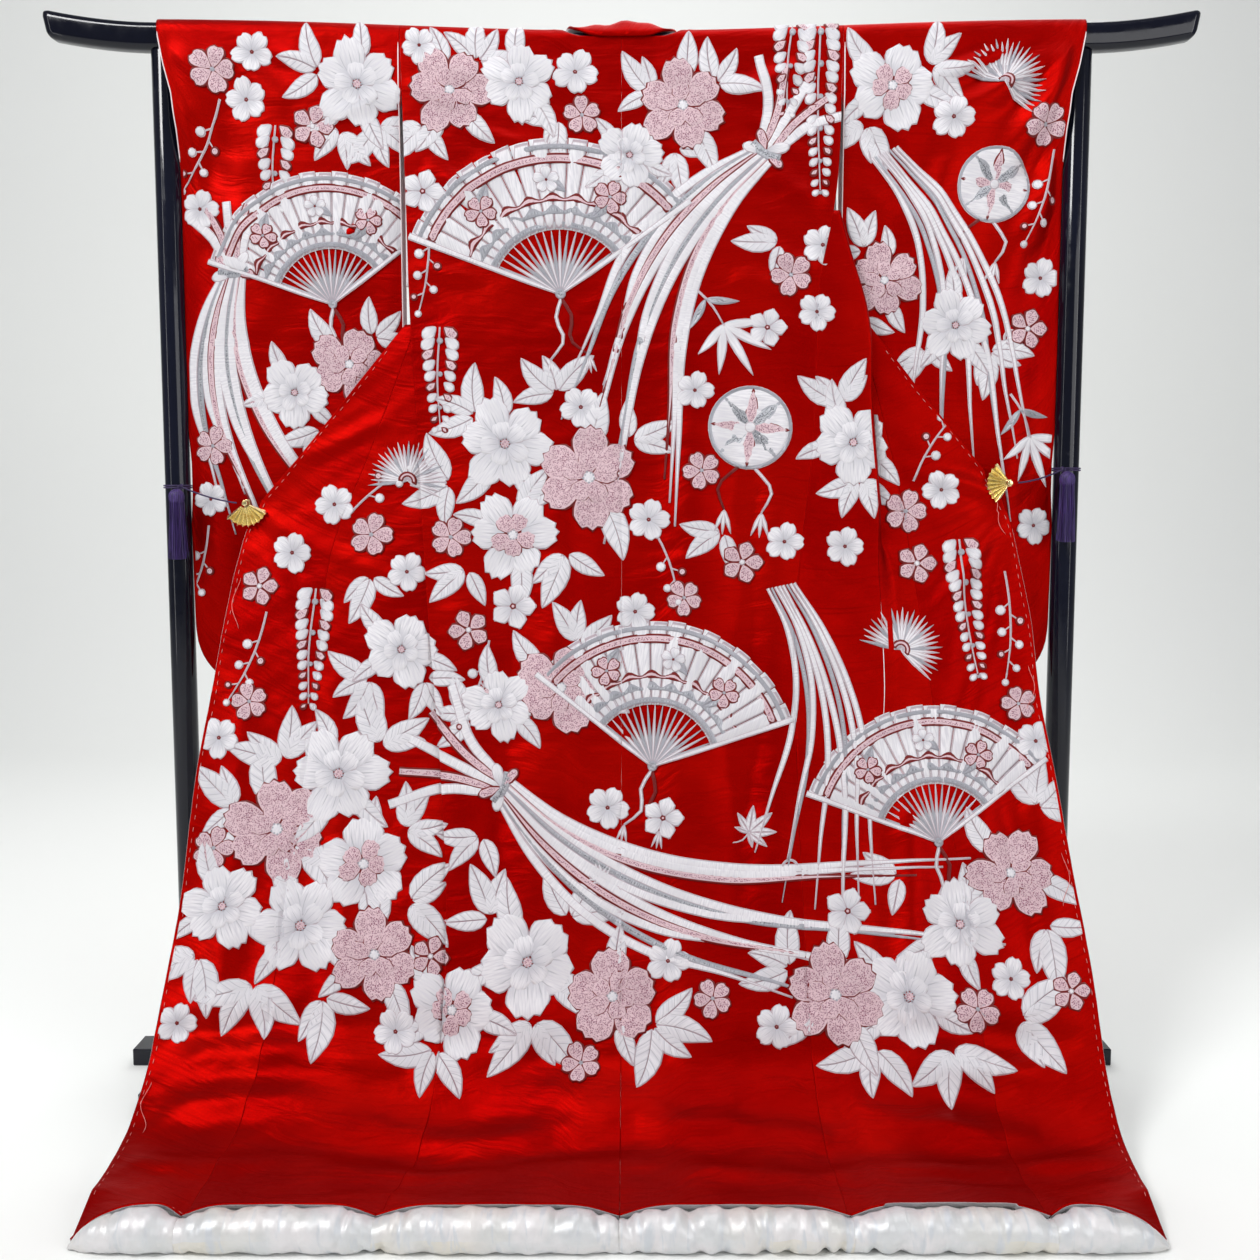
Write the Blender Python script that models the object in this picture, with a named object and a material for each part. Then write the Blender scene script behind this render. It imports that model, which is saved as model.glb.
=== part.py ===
"""Uchikake wedding kimono, opened out and shown from its back on a lacquered kimono stand.

Metres, +Z up. The display faces -Y, so the garment's back is towards -Y, its own left sleeve is at -X,
and the front panels are drawn out sideways past the sleeves. The garment rests on the stand's top bar
and on its padded hem, which lies on the floor in front of the stand.
"""

import math

import bmesh
import bpy
import numpy as np
from mathutils import Vector

# Cloth: one wall is silk, padding and lining together.
WALL = 0.0026
SEAM_GAP = 0.0004
COLLAR_WALL = 0.0040
COLLAR_WIDTH = 0.070
ARMHOLE_X = 0.325
NECK_X = 0.092

# Padded hem roll.
ROLL_RADIUS = 0.0265
ROLL_FORWARD = 0.556
ROLL_SIDES = 14
ROLL_SINK = 0.92
ROLL_STATIONS = (0.0, 0.12, 0.37, 0.63, 0.88, 1.0)
ROLL_SIZES = {
    "between seams": (0.66, 0.94, 1.0, 1.0, 0.94, 0.66),
    "outer tip": (0.66, 0.94, 1.0, 0.86, 0.50, 0.16),
}
ROLL_CLEARANCE = 0.0018

# Sleeves.
SLEEVE_INNER_X = 0.3262
SLEEVE_BOTTOM = 0.596
SLEEVE_CORNER = 0.085
SLEEVE_CLOSED_HALF = 0.0038
CUFF_BOTTOM = 1.36
CUFF_TOP = 1.46
CUFF_HALF = 0.0260
CUFF_START = 0.66

# Stand.
BAR_LENGTH = 1.708
BAR_HEIGHT = 0.040
BAR_DEPTH = 0.034
BAR_TOP = 1.585
BAR_CORNER = 0.012
BAR_STRAIGHT_X = 0.690
BAR_RISE = 0.019
BAR_END_SLANT = 0.008
BAR_END_SHARES = (0.0, 0.30, 0.58, 0.82, 1.0)
BAR_STEPS = 14

# The bar bends a little under the cloth's weight between its posts. What hangs on it goes down with it:
# all of the sag above the first height, none of it below the second.
BAR_SAG = 0.0155
SAG_HALF_X = 0.655
SAG_HEIGHTS = (1.45, 0.95)
POST_X = 0.677
POST_RADIUS = 0.019
POST_SIDES = 28
BASE_HEIGHT = 0.027
RAIL_HALF_X = 0.768
RAIL_HALF_Y = 0.0275
FOOT_HALF_X = 0.025
FOOT_FRONT = 0.190
FOOT_REAR = 0.230
JOINT_GAP = 0.0003
STAND_BEVEL = 0.0015

# Tie-backs.
CORD_RADIUS = 0.0014
FAN_RADIUS = 0.036
FAN_INNER = 0.007
FAN_WALL = 0.0012
FAN_FOLDS = 9
FAN_SPREAD = math.radians(112)
FAN_RIDGE = 0.0009
FAN_FULL_RIDGE = 0.024
FAN_SCALLOP = 0.0012
FAN_REACHES = (FAN_INNER, 0.013, FAN_FULL_RIDGE, FAN_RADIUS - 0.003, FAN_RADIUS)
CLIP_GAP = 0.0012
CLIP_MARGIN = 0.004
CLIP_BLOCKS = {
    "knob": {"along": 0.0, "front": 0.0024, "rear": -0.0116, "half_length": 0.0110, "half_width": 0.0055},
    "jaw": {"along": 0.010, "front": -0.0098, "rear": -0.0112, "half_length": 0.0120, "half_width": 0.0050},
}
LOOP_SIDES = 16
LOOP_STRETCH = 2.0
CORD_SIDES = 6
CORD_STEPS = 12
CORD_SAG = 0.0035
TASSEL_LENGTH = 0.084
TASSEL_HEAD = 0.020

# The posts stand behind the middle of the footprint, so that the origin is its centre.
POST_Y = (ROLL_FORWARD + ROLL_RADIUS - FOOT_REAR) / 2

# The cloth's way from the top bar to the hem: distance down the cloth, how far it is in front of the
# posts' plane at the middle and at the outer edge of the drawn-out front, and its height.
DROP_COLUMNS = ("down", "forward", "edge", "height")
DROP_ROWS = (
    (0.000, 0.0215, 0.0215, 1.566),
    (0.116, 0.0290, 0.0260, 1.450),
    (0.246, 0.0370, 0.0300, 1.320),
    (0.419, 0.0480, 0.0340, 1.148),
    (0.567, 0.0580, 0.0350, 1.000),
    (0.683, 0.0700, 0.0380, 0.885),
    (0.819, 0.0870, 0.0620, 0.750),
    (0.971, 0.1130, 0.1000, 0.600),
    (1.126, 0.1500, 0.1450, 0.450),
    (1.273, 0.1950, 0.1950, 0.310),
    (1.403, 0.2450, 0.2450, 0.190),
    (1.510, 0.3000, 0.3000, 0.098),
    (1.591, 0.3650, 0.3650, 0.050),
    (1.650, 0.4220, 0.4220, 0.036),
    (1.710, 0.4820, 0.4820, 0.034),
)
DROP = dict(zip(DROP_COLUMNS, zip(*DROP_ROWS)))
HEM_DOWN = 1.763
HEM_ANGLES = {"over the roll": math.radians(24), "hem edge": math.radians(50)}

# Half widths of each seam and edge, by distance down the cloth. The two sides hang a little differently.
SIDE_SEAM = {
    "left": ((0.0, 0.325), (0.246, 0.317), (0.419, 0.312), (0.567, 0.303), (0.830, 0.287), (1.100, 0.262),
             (1.270, 0.250), (1.470, 0.252), (1.590, 0.264), (1.763, 0.292)),
    "right": ((0.0, 0.325), (0.246, 0.313), (0.350, 0.293), (0.490, 0.287), (0.620, 0.281), (0.730, 0.268),
              (0.820, 0.258), (1.100, 0.256), (1.290, 0.260), (1.550, 0.266), (1.763, 0.277)),
}
OVERLAP_SEAM = {
    "left": ((0.419, 0.303), (0.480, 0.326), (0.660, 0.395), (0.720, 0.420), (0.990, 0.4525), (1.107, 0.466),
             (1.200, 0.477), (1.470, 0.495), (1.763, 0.5245)),
    "right": ((0.240, 0.3125), (0.300, 0.322), (0.419, 0.352), (0.540, 0.384), (0.660, 0.413), (0.800, 0.436),
              (0.990, 0.458), (1.107, 0.470), (1.255, 0.490), (1.400, 0.503), (1.763, 0.516)),
}
FRONT_EDGE = {
    "left": ((0.419, 0.321), (0.617, 0.482), (0.684, 0.541), (0.784, 0.577), (0.850, 0.589), (0.967, 0.605),
             (1.085, 0.621), (1.270, 0.633), (1.470, 0.650), (1.763, 0.655)),
    "right": ((0.419, 0.366), (0.507, 0.435), (0.637, 0.543), (0.684, 0.571), (0.784, 0.596), (0.863, 0.609),
              (0.965, 0.616), (1.095, 0.634), (1.240, 0.650), (1.350, 0.662), (1.470, 0.665), (1.763, 0.652)),
}
# The right front is folded back on itself beside the side seam, and the fold dies out down the cloth.
PLEAT_EDGE = ((0.240, 0.318), (0.300, 0.334), (0.419, 0.366), (0.535, 0.370), (0.650, 0.379), (0.800, 0.393),
              (1.000, 0.400))
PLEAT_STRENGTH = ((0.240, 1.0), (0.650, 1.0), (0.780, 0.55), (0.930, 0.0))
PLEAT_END = 0.930
PLEAT_OPEN = 0.45
PLEAT_OPEN_HALF = 0.016
PLEAT_ROWS = (0.690, 0.750, 0.810, 0.870)
PLEAT_TUCK = 0.026
PLEAT_DEPTH = 0.0150
# The left front starts behind the edge of the back panel.
LEFT_STEP = ((0.240, 0.0095), (1.250, 0.0095), (1.500, 0.0060), (1.620, 0.0), (1.763, 0.0))
LEFT_TUCK = 0.014
LEFT_TUCK_STEPS = (0.0045, 0.0075)

# Long soft waves of the cloth near the floor: strength by distance down, then each wave's turn per metre.
FLOOR_WAVE = ((0.0, 0.0), (1.300, 0.0), (1.430, 0.0045), (1.560, 0.0095), (1.650, 0.0075), (1.710, 0.0030),
              (1.763, 0.0))
WAVES = ((9.1, 0.4, 1.0), (15.7, 2.2, 0.55), (24.3, 4.1, 0.25))

# Where each tie-back is: the clip's pivot, the direction that its fan opens in, and the loop on the post.
TIES = {
    "left": {"pivot": (-0.563, 0.880), "points": math.radians(-82), "loop": 0.905},
    "right": {"pivot": (0.581, 0.910), "points": math.radians(182), "loop": 0.931},
}

# Colour, roughness and metallic value of each material.
FINISHES = {
    "red_silk": ((0.46, 0.004, 0.003), 0.42, 0.0),
    "white_satin": ((0.82, 0.80, 0.82), 0.34, 0.0),
    "black_lacquer": ((0.006, 0.007, 0.014), 0.16, 0.0),
    "polished_gold": ((0.83, 0.62, 0.22), 0.20, 1.0),
    "purple_silk": ((0.055, 0.020, 0.170), 0.55, 0.0),
}


def clear_scene():
    for old in list(bpy.data.objects):
        bpy.data.objects.remove(old, do_unlink=True)


def material(name):
    made = bpy.data.materials.get(name)
    if made is None:
        colour, roughness, metallic = FINISHES[name]
        made = bpy.data.materials.new(name)
        made.use_nodes = True
        shader = made.node_tree.nodes["Principled BSDF"]
        shader.inputs["Base Color"].default_value = (*colour, 1.0)
        shader.inputs["Roughness"].default_value = roughness
        shader.inputs["Metallic"].default_value = metallic
    return made


def smooth_curve(keys, values, at):
    """A smooth curve through a short table, as cubic pieces with the neighbours' slopes."""
    keys = np.asarray(keys, float)
    values = np.asarray(values, float)
    at = min(max(at, keys[0]), keys[-1])
    slopes = np.gradient(values, keys)
    i = min(max(int(np.searchsorted(keys, at)) - 1, 0), len(keys) - 2)
    span = keys[i + 1] - keys[i]
    t = (at - keys[i]) / span
    start = (2 * t**3 - 3 * t**2 + 1) * values[i] + (t**3 - 2 * t**2 + t) * span * slopes[i]
    end = (3 * t**2 - 2 * t**3) * values[i + 1] + (t**3 - t**2) * span * slopes[i + 1]
    return float(start + end)


def straight(table, at):
    keys, values = zip(*table)
    return float(np.interp(at, keys, values))


def curved(table, at):
    keys, values = zip(*table)
    return smooth_curve(keys, values, at)


def ease(value):
    value = min(max(value, 0.0), 1.0)
    return value * value * (3 - 2 * value)


def sag_at(x, height):
    """How far the bent bar lowers a point of it, or of the cloth on it."""
    full, none = SAG_HEIGHTS
    across = math.cos(math.pi / 2 * min(abs(x) / SAG_HALF_X, 1.0)) ** 2
    return BAR_SAG * across * ease((height - none) / (full - none))


def world(x, forward, height):
    """A point given by its distance in front of the posts' plane, on the bent bar."""
    return Vector((x, POST_Y - forward, height - sag_at(x, height)))


# ---------------------------------------------------------------- building blocks


def finish_object(name, mesh, finish, smooth_angle=40):
    made = bpy.data.objects.new(name, mesh)
    bpy.context.scene.collection.objects.link(made)
    mesh.materials.append(material(finish))
    mesh.shade_smooth()
    mesh.set_sharp_from_angle(angle=math.radians(smooth_angle))
    return made


def mesh_from(bm, name, recalculate=True):
    if recalculate:
        bmesh.ops.recalc_face_normals(bm, faces=bm.faces)
    mesh = bpy.data.meshes.new(name)
    bm.to_mesh(mesh)
    bm.free()
    return mesh


def cloth_sheet(name, rows, towards, finish="red_silk", wall=WALL, offset=-1.0, ring=False):
    """A sheet through rows of points, given its wall by Solidify. towards is the way its outer side faces."""
    bm = bmesh.new()
    grid = [[bm.verts.new(point) for point in row] for row in rows]
    if ring:
        grid.append(grid[0])
    for lower, upper in zip(grid, grid[1:]):
        for i in range(len(lower) - 1):
            bm.faces.new((lower[i], lower[i + 1], upper[i + 1], upper[i]))
    bm.normal_update()
    middle = bm.faces[:][0] if ring else max(bm.faces, key=lambda face: face.calc_area())
    if middle.normal.dot(Vector(towards)) < 0:
        bmesh.ops.reverse_faces(bm, faces=bm.faces)
    made = finish_object(name, mesh_from(bm, name, recalculate=False), finish)
    thick = made.modifiers.new("Wall", "SOLIDIFY")
    thick.thickness = wall
    thick.offset = offset
    thick.use_even_offset = True
    thick.use_quality_normals = True
    return made


def loft(name, rings, finish, smooth_angle=40):
    """One closed body through rings of points, capped at both ends."""
    bm = bmesh.new()
    loops = [[bm.verts.new(point) for point in ring] for ring in rings]
    for first, second in zip(loops, loops[1:]):
        count = len(first)
        for i in range(count):
            j = (i + 1) % count
            bm.faces.new((first[i], first[j], second[j], second[i]))
    bm.faces.new(loops[0])
    bm.faces.new(loops[-1])
    return finish_object(name, mesh_from(bm, name), finish, smooth_angle)


def prism(name, outline, along, finish, bevel):
    """A flat outline pulled out along a direction, with softened edges."""
    bm = bmesh.new()
    face = bm.faces.new([bm.verts.new(point) for point in outline])
    pulled = bmesh.ops.extrude_face_region(bm, geom=[face])
    moved = [item for item in pulled["geom"] if isinstance(item, bmesh.types.BMVert)]
    bmesh.ops.translate(bm, vec=Vector(along), verts=moved)
    made = finish_object(name, mesh_from(bm, name), finish)
    if bevel:
        soft = made.modifiers.new("Softened edges", "BEVEL")
        soft.width = bevel
        soft.segments = 1
        soft.limit_method = "ANGLE"
    return made


# ---------------------------------------------------------------- the hem roll's size, which the cloth meets


def seams_at_hem(side):
    """Half widths at the hem of the centre, the side seam, the overlap's seam and the outer edge."""
    return (0.0, *(curved(table[side], HEM_DOWN) for table in (SIDE_SEAM, OVERLAP_SEAM, FRONT_EDGE)))


def roll_radius(side, x):
    """The roll is full between two seams, drawn in at each seam and small at the outer tip."""
    seams = seams_at_hem(side)
    i = min(int(np.searchsorted(seams, x, side="right")) - 1, len(seams) - 2)
    kind = "outer tip" if i == len(seams) - 2 else "between seams"
    share = (x - seams[i]) / (seams[i + 1] - seams[i])
    return ROLL_RADIUS * float(np.interp(share, ROLL_STATIONS, ROLL_SIZES[kind]))


def point_over_roll(side, x, angle, clearance):
    radius = roll_radius(side, x)
    reach = radius + clearance
    forward = ROLL_FORWARD - reach * math.cos(angle)
    return forward, radius * ROLL_SINK + reach * math.sin(angle)


# ---------------------------------------------------------------- the cloth's surface


def floor_wave(signed_x, down):
    strength = straight(FLOOR_WAVE, down)
    return strength * sum(size * math.sin(turn * signed_x + start) for turn, start, size in WAVES)


def hanging(side, x, down, share, behind):
    """A point of the outer surface. share runs from 0 at the side seam to 1 at the outer edge."""
    signed = -x if side == "left" else x
    if down > DROP["down"][-1]:
        angle = HEM_ANGLES["hem edge" if down >= HEM_DOWN else "over the roll"]
        forward, height = point_over_roll(side, x, angle, WALL + ROLL_CLEARANCE)
        return world(signed, forward, height)
    middle = smooth_curve(DROP["down"], DROP["forward"], down)
    edge = smooth_curve(DROP["down"], DROP["edge"], down)
    height = smooth_curve(DROP["down"], DROP["height"], down)
    share = min(max(share, 0.0), 1.0)
    forward = (middle - behind) * (1 - share) + min(edge, middle - behind) * share
    return world(signed, forward, height + floor_wave(signed, down))


def rows_down(side, first=0.0):
    """Distances down the cloth of its rows, closer together where it turns and where the fold fades."""
    upper = [0.06 * i for i in range(23)]
    lower = [1.375, 1.425, 1.470, 1.510, 1.550, 1.590, 1.630, 1.670, 1.710, 1.740, HEM_DOWN]
    extra = PLEAT_ROWS if side == "right" else ()
    return [down for down in sorted([*upper, *lower, *extra]) if down > first - 0.001]


BAR_WRAP = ((0.0208, 1.5790), (0.0142, 1.5875), (0.0012, 1.5900))


# Half widths of the back panel's columns along the top of the bar. The neckline is cut low at the front.
BACK_COLUMNS = (
    {"x": SEAM_GAP / 2, "over_bar": 0.0},
    {"x": 0.062, "over_bar": 0.0},
    {"x": 0.092, "over_bar": 0.5},
    {"x": 0.118, "over_bar": 1.0},
    {"x": 0.220, "over_bar": 1.0},
    {"x": ARMHOLE_X, "over_bar": 1.0},
)


def neck_wrap(step, over_bar_share):
    """The cloth's way over the bar, held back to the front of the bar where the neck is open."""
    steps = len(BAR_WRAP) - 1
    reach = step * over_bar_share
    low = min(int(reach), steps - 1)
    start, end = Vector(BAR_WRAP[low]), Vector(BAR_WRAP[low + 1])
    wrapped = start.lerp(end, reach - low)
    held = Vector((0.0211 - 0.0003 * step, 1.574 + 0.0022 * step))
    return held if over_bar_share == 0.0 else wrapped


def back_panel(side):
    sign = -1 if side == "left" else 1
    rows = []
    for step in (2, 1, 0):
        wraps = [neck_wrap(step, column["over_bar"]) for column in BACK_COLUMNS]
        rows.append([world(sign * column["x"], *wrap) for column, wrap in zip(BACK_COLUMNS, wraps)])
    for down in rows_down(side):
        edge = curved(SIDE_SEAM[side], down)
        settled = ease(down / 1.2)
        row = []
        for column, share in zip(BACK_COLUMNS, ROLL_STATIONS):
            at_top = column["x"] / ARMHOLE_X
            across = at_top * (1 - settled) + share * settled
            x = SEAM_GAP / 2 + (edge - SEAM_GAP / 2) * across
            row.append(hanging(side, x, down, 0.0, 0.0))
        rows.append(row)
    return cloth_sheet("back_panel_" + side, rows, (0, -1, 0))


def share_of(side, x, down):
    inner = curved(SIDE_SEAM[side], down)
    outer = curved(FRONT_EDGE[side], max(down, FRONT_EDGE[side][0][0]))
    return (x - inner) / max(outer - inner, 0.01)


def left_step(down):
    return straight(LEFT_STEP, down)


def left_front_panel():
    """It starts behind the back panel's edge, and comes out level with it at the hem."""
    rows = []
    for down in rows_down("left", 0.48):
        step = left_step(down)
        tuck = LEFT_TUCK * ease((step - LEFT_TUCK_STEPS[0]) / (LEFT_TUCK_STEPS[1] - LEFT_TUCK_STEPS[0]))
        inner = curved(SIDE_SEAM["left"], down) + SEAM_GAP - tuck
        outer = curved(OVERLAP_SEAM["left"], down)
        row = []
        for across in ROLL_STATIONS:
            x = inner + (outer - inner) * across
            row.append(hanging("left", x, down, share_of("left", x, down), step))
        rows.append(row)
    return cloth_sheet("front_panel_left", rows, (0, -1, 0))


# The fold's section: for each column, the step sideways as a share of the tuck, a fixed step sideways,
# and its depth as a share of the fold's depth.
PLEAT_SECTION = (
    (0.0, -0.0060, 0.00),
    (0.0, -0.0005, 0.06),
    (0.0, 0.0020, 0.28),
    (0.0, -0.0005, 0.50),
    (-0.5, -0.0020, 0.53),
    (-1.0, -0.0010, 0.53),
    (-1.0, -0.0050, 0.76),
    (-1.0, -0.0010, 1.00),
)


def pleat_fold(down):
    """How far the fold is turned under itself. It opens out first, and only then sinks away."""
    return ease((straight(PLEAT_STRENGTH, down) - PLEAT_OPEN) / (1 - PLEAT_OPEN))


def pleat_depth(down):
    return PLEAT_DEPTH * ease(straight(PLEAT_STRENGTH, down) / PLEAT_OPEN)


RIGHT_HEM_COLUMNS = (0.0, 0.12, 0.20, 0.28, 0.37, 0.45, 0.54, 0.63, 0.72, 0.80, 0.88, 1.0)


def right_front_panel():
    """It runs level with the back panel to the fold, turns back under itself, then runs outwards."""
    rows = []
    for down in rows_down("right", 0.30):
        inner = curved(SIDE_SEAM["right"], down) + SEAM_GAP
        fold = curved(PLEAT_EDGE, down)
        outer = curved(OVERLAP_SEAM["right"], down)
        folded = pleat_fold(down)
        tuck = min(PLEAT_TUCK, 0.55 * (fold - inner))
        section = [(inner, 0.0), ((inner + fold - 0.006) / 2, 0.0)]
        for i, (shift, step, depth) in enumerate(PLEAT_SECTION):
            share = i / (len(PLEAT_SECTION) - 1)
            slope_x = fold + PLEAT_OPEN_HALF * (2 * share - 1)
            x = (fold + shift * tuck + step) * folded + slope_x * (1 - folded)
            section.append((x, depth * folded + ease(share) * (1 - folded)))
        last = section[-1][0]
        section += [((last + outer) / 2, 1.0), (outer, 1.0)]
        settled = ease((down - PLEAT_END) / 0.5)
        row = []
        for (x, depth), across in zip(section, RIGHT_HEM_COLUMNS):
            x = x * (1 - settled) + (inner + (outer - inner) * across) * settled
            share = share_of("right", x, down) if down > 0.40 else 0.0
            layer = depth * folded + 1 - folded
            row.append(hanging("right", x, down, share * layer, depth * pleat_depth(down)))
        rows.append(row)
    return cloth_sheet("front_panel_right", rows, (0, -1, 0))


def overlap_behind(side, down):
    if side == "left":
        return left_step(down)
    return pleat_depth(down)


def overlap_panel(side):
    rows = []
    for down in rows_down(side, 0.42):
        inner = curved(OVERLAP_SEAM[side], down) + SEAM_GAP
        outer = straight(FRONT_EDGE[side], down) if down < 0.70 else curved(FRONT_EDGE[side], down)
        row = []
        for across in ROLL_STATIONS:
            x = inner + (outer - inner) * across
            row.append(hanging(side, x, down, share_of(side, x, down), overlap_behind(side, down)))
        rows.append(row)
    return cloth_sheet("overlap_panel_" + side, rows, (0, -1, 0))


# ---------------------------------------------------------------- what hangs behind the bar

NECK_POINT = (NECK_X, 1.566)
COLLAR_GAP_HEIGHT = 1.148
COLLAR_GAP_DOWN = 0.419
COLLAR_SEAM = 0.0028
SHOULDER_TIP = 0.014
LOWEST_SHOULDER = 1.205
REAR_FORWARD = ((1.148, 0.0285), (1.250, 0.012), (1.400, -0.012), (1.520, -0.0235), (1.600, -0.0235))


def collar_line(side, height):
    """Half width of the line where the collar is sewn on, behind the back panel."""
    low_x = straight(FRONT_EDGE[side], COLLAR_GAP_DOWN) - 0.010
    share = (NECK_POINT[1] - height) / (NECK_POINT[1] - COLLAR_GAP_HEIGHT)
    return NECK_POINT[0] + (low_x - NECK_POINT[0]) * min(max(share, 0.0), 1.0)


def line_height(side, x):
    """The height at which the collar's line reaches a half width."""
    low_x = collar_line(side, COLLAR_GAP_HEIGHT)
    return NECK_POINT[1] - (NECK_POINT[1] - COLLAR_GAP_HEIGHT) * (x - NECK_POINT[0]) / (low_x - NECK_POINT[0])


def front_shoulder(side):
    """The upper front, a triangle from the neck to the armhole, hanging behind the bar."""
    sign = -1 if side == "left" else 1
    rows = []
    columns = 5
    armhole = ARMHOLE_X - 0.004
    for step in (2, 1, 0):
        forward, height = BAR_WRAP[step]
        xs = [NECK_X + 0.001 + (ARMHOLE_X - NECK_X - 0.001) * i / (columns - 1) for i in range(columns)]
        rows.append([world(sign * x, -forward, height) for x in xs])
    tip_x = armhole - SHOULDER_TIP
    tip = max(line_height(side, tip_x), LOWEST_SHOULDER)
    for height in np.linspace(NECK_POINT[1], tip, 8):
        forward = straight(REAR_FORWARD, height) + (0.0019 if height > 1.55 else 0.0)
        inner = collar_line(side, height) + COLLAR_SEAM
        share = ease((1.566 - height) / 0.15)
        outer = ARMHOLE_X * (1 - share) + armhole * share
        xs = [inner + (outer - inner) * i / (columns - 1) for i in range(columns)]
        rows.append([world(sign * x, forward, height) for x in xs])
    return cloth_sheet("front_shoulder_" + side, rows, (0, 1, 0))


# The collar round the back of the neck: half width, forward and height of its sewn edge, then the way to
# its free edge, and how far it rises in a curve between them.
COLLAR_NECK = (
    {"edge": (0.000, 0.0195, 1.5825), "across": (0.000, -0.0465, -0.026), "rise": 0.033},
    {"edge": (0.040, 0.0180, 1.5835), "across": (-0.002, -0.0459, -0.028), "rise": 0.031},
    {"edge": (0.065, 0.0105, 1.5910), "across": (-0.010, -0.0406, -0.036), "rise": 0.020},
    {"edge": (0.081, -0.0100, 1.5945), "across": (-0.026, -0.0185, -0.046), "rise": 0.010},
    {"edge": (0.089, -0.0245, 1.5780), "across": (-0.045, -0.0060, -0.048), "rise": 0.0},
)
COLLAR_COLUMNS = 5


def collar_section(edge, across, rise):
    row = []
    for i in range(COLLAR_COLUMNS):
        share = i / (COLLAR_COLUMNS - 1)
        x, forward, height = (edge[k] + across[k] * share for k in range(3))
        row.append((x, forward, height + rise * math.sin(math.pi * share)))
    return row


def collar_half(side):
    """Rows of (half width, forward, height) from the middle of the neck to the end at the clip."""
    rows = [collar_section(part["edge"], part["across"], part["rise"]) for part in COLLAR_NECK]
    low_x = collar_line(side, COLLAR_GAP_HEIGHT)
    way = Vector((low_x - NECK_POINT[0], COLLAR_GAP_HEIGHT - NECK_POINT[1])).normalized()
    across = (way[1] * COLLAR_WIDTH, 0.0, -way[0] * COLLAR_WIDTH)
    for height in (1.530, 1.470, 1.400, 1.330, 1.270, 1.215):
        x = collar_line(side, height) - 0.0015
        rows.append(collar_section((x, straight(REAR_FORWARD, height), height), across, 0.0))
    inset = 0.004
    start_x, start_down = FRONT_EDGE[side][0][1], COLLAR_GAP_DOWN
    end_x, end_down = straight(FRONT_EDGE[side], 0.660), 0.660
    start_z = smooth_curve(DROP["down"], DROP["height"], start_down)
    end_z = smooth_curve(DROP["down"], DROP["height"], end_down)
    way = Vector((end_x - start_x, end_z - start_z)).normalized()
    inward = Vector((way[1], -way[0]))
    steps = 6
    for i in range(steps):
        share = (i + 0.35) / (steps - 0.65)
        down = start_down + (end_down - start_down) * share
        edge_x = straight(FRONT_EDGE[side], down)
        edge_z = smooth_curve(DROP["down"], DROP["height"], down)
        row = []
        for k in range(COLLAR_COLUMNS):
            reach = inset + COLLAR_WIDTH * k / (COLLAR_COLUMNS - 1)
            x = edge_x + inward[0] * reach
            z = edge_z + inward[1] * reach
            at = down_at(z)
            surface = hanging(side, x, at, share_of(side, x, at), overlap_behind(side, at))
            forward = POST_Y - surface[1] - WALL - 0.0012 - COLLAR_WALL / 2
            row.append((x, forward, z))
        rows.append(row)
    return rows


def collar():
    right = [[world(x, forward, height) for x, forward, height in row] for row in collar_half("right")]
    left = [[world(-x, forward, height) for x, forward, height in row] for row in collar_half("left")]
    rows = left[::-1] + right[1:]
    return cloth_sheet("collar", rows, (0, 1, 0), wall=COLLAR_WALL, offset=0.0)


# ---------------------------------------------------------------- sleeves

SLEEVE_EDGE = ((0.596, 0.648), (0.700, 0.651), (0.900, 0.653), (1.200, 0.655), (1.430, 0.655), (1.480, 0.662),
               (1.520, 0.672), (1.560, 0.679), (1.600, 0.682))
SLEEVE_HALF = ((0.596, 0.0110), (1.000, 0.0135), (1.300, 0.0165), (1.450, 0.0200), (1.566, 0.0215))
SLEEVE_ROWS = (0.0, 0.04, 0.11, 0.20, 0.30, 0.42, 0.54, 0.66, 0.76, 0.83, 0.885, 0.935, 1.0)
SLEEVE_COLUMNS = (0.0, 0.14, 0.32, 0.52, 0.70, 0.84, 0.94, 1.0)


def sleeve_low(share):
    """Height of the sleeve's bottom, which turns up in a rounded outer corner."""
    width = SLEEVE_EDGE[0][1] - SLEEVE_INNER_X
    into = share * width - (width - SLEEVE_CORNER)
    if into <= 0:
        return SLEEVE_BOTTOM
    return SLEEVE_BOTTOM + SLEEVE_CORNER - math.sqrt(max(SLEEVE_CORNER**2 - into**2, 0.0))


def cuff_share(share):
    """How far a column is from the sleeve's middle towards its outer edge."""
    return ease((share - CUFF_START) / (1 - CUFF_START))


def sleeve_half_depth(share, height):
    half = straight(SLEEVE_HALF, height)
    open_share = ease((height - CUFF_BOTTOM) / (CUFF_TOP - CUFF_BOTTOM))
    end = SLEEVE_CLOSED_HALF * (1 - open_share) + CUFF_HALF * open_share
    return half + (end - half) * cuff_share(share)


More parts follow.
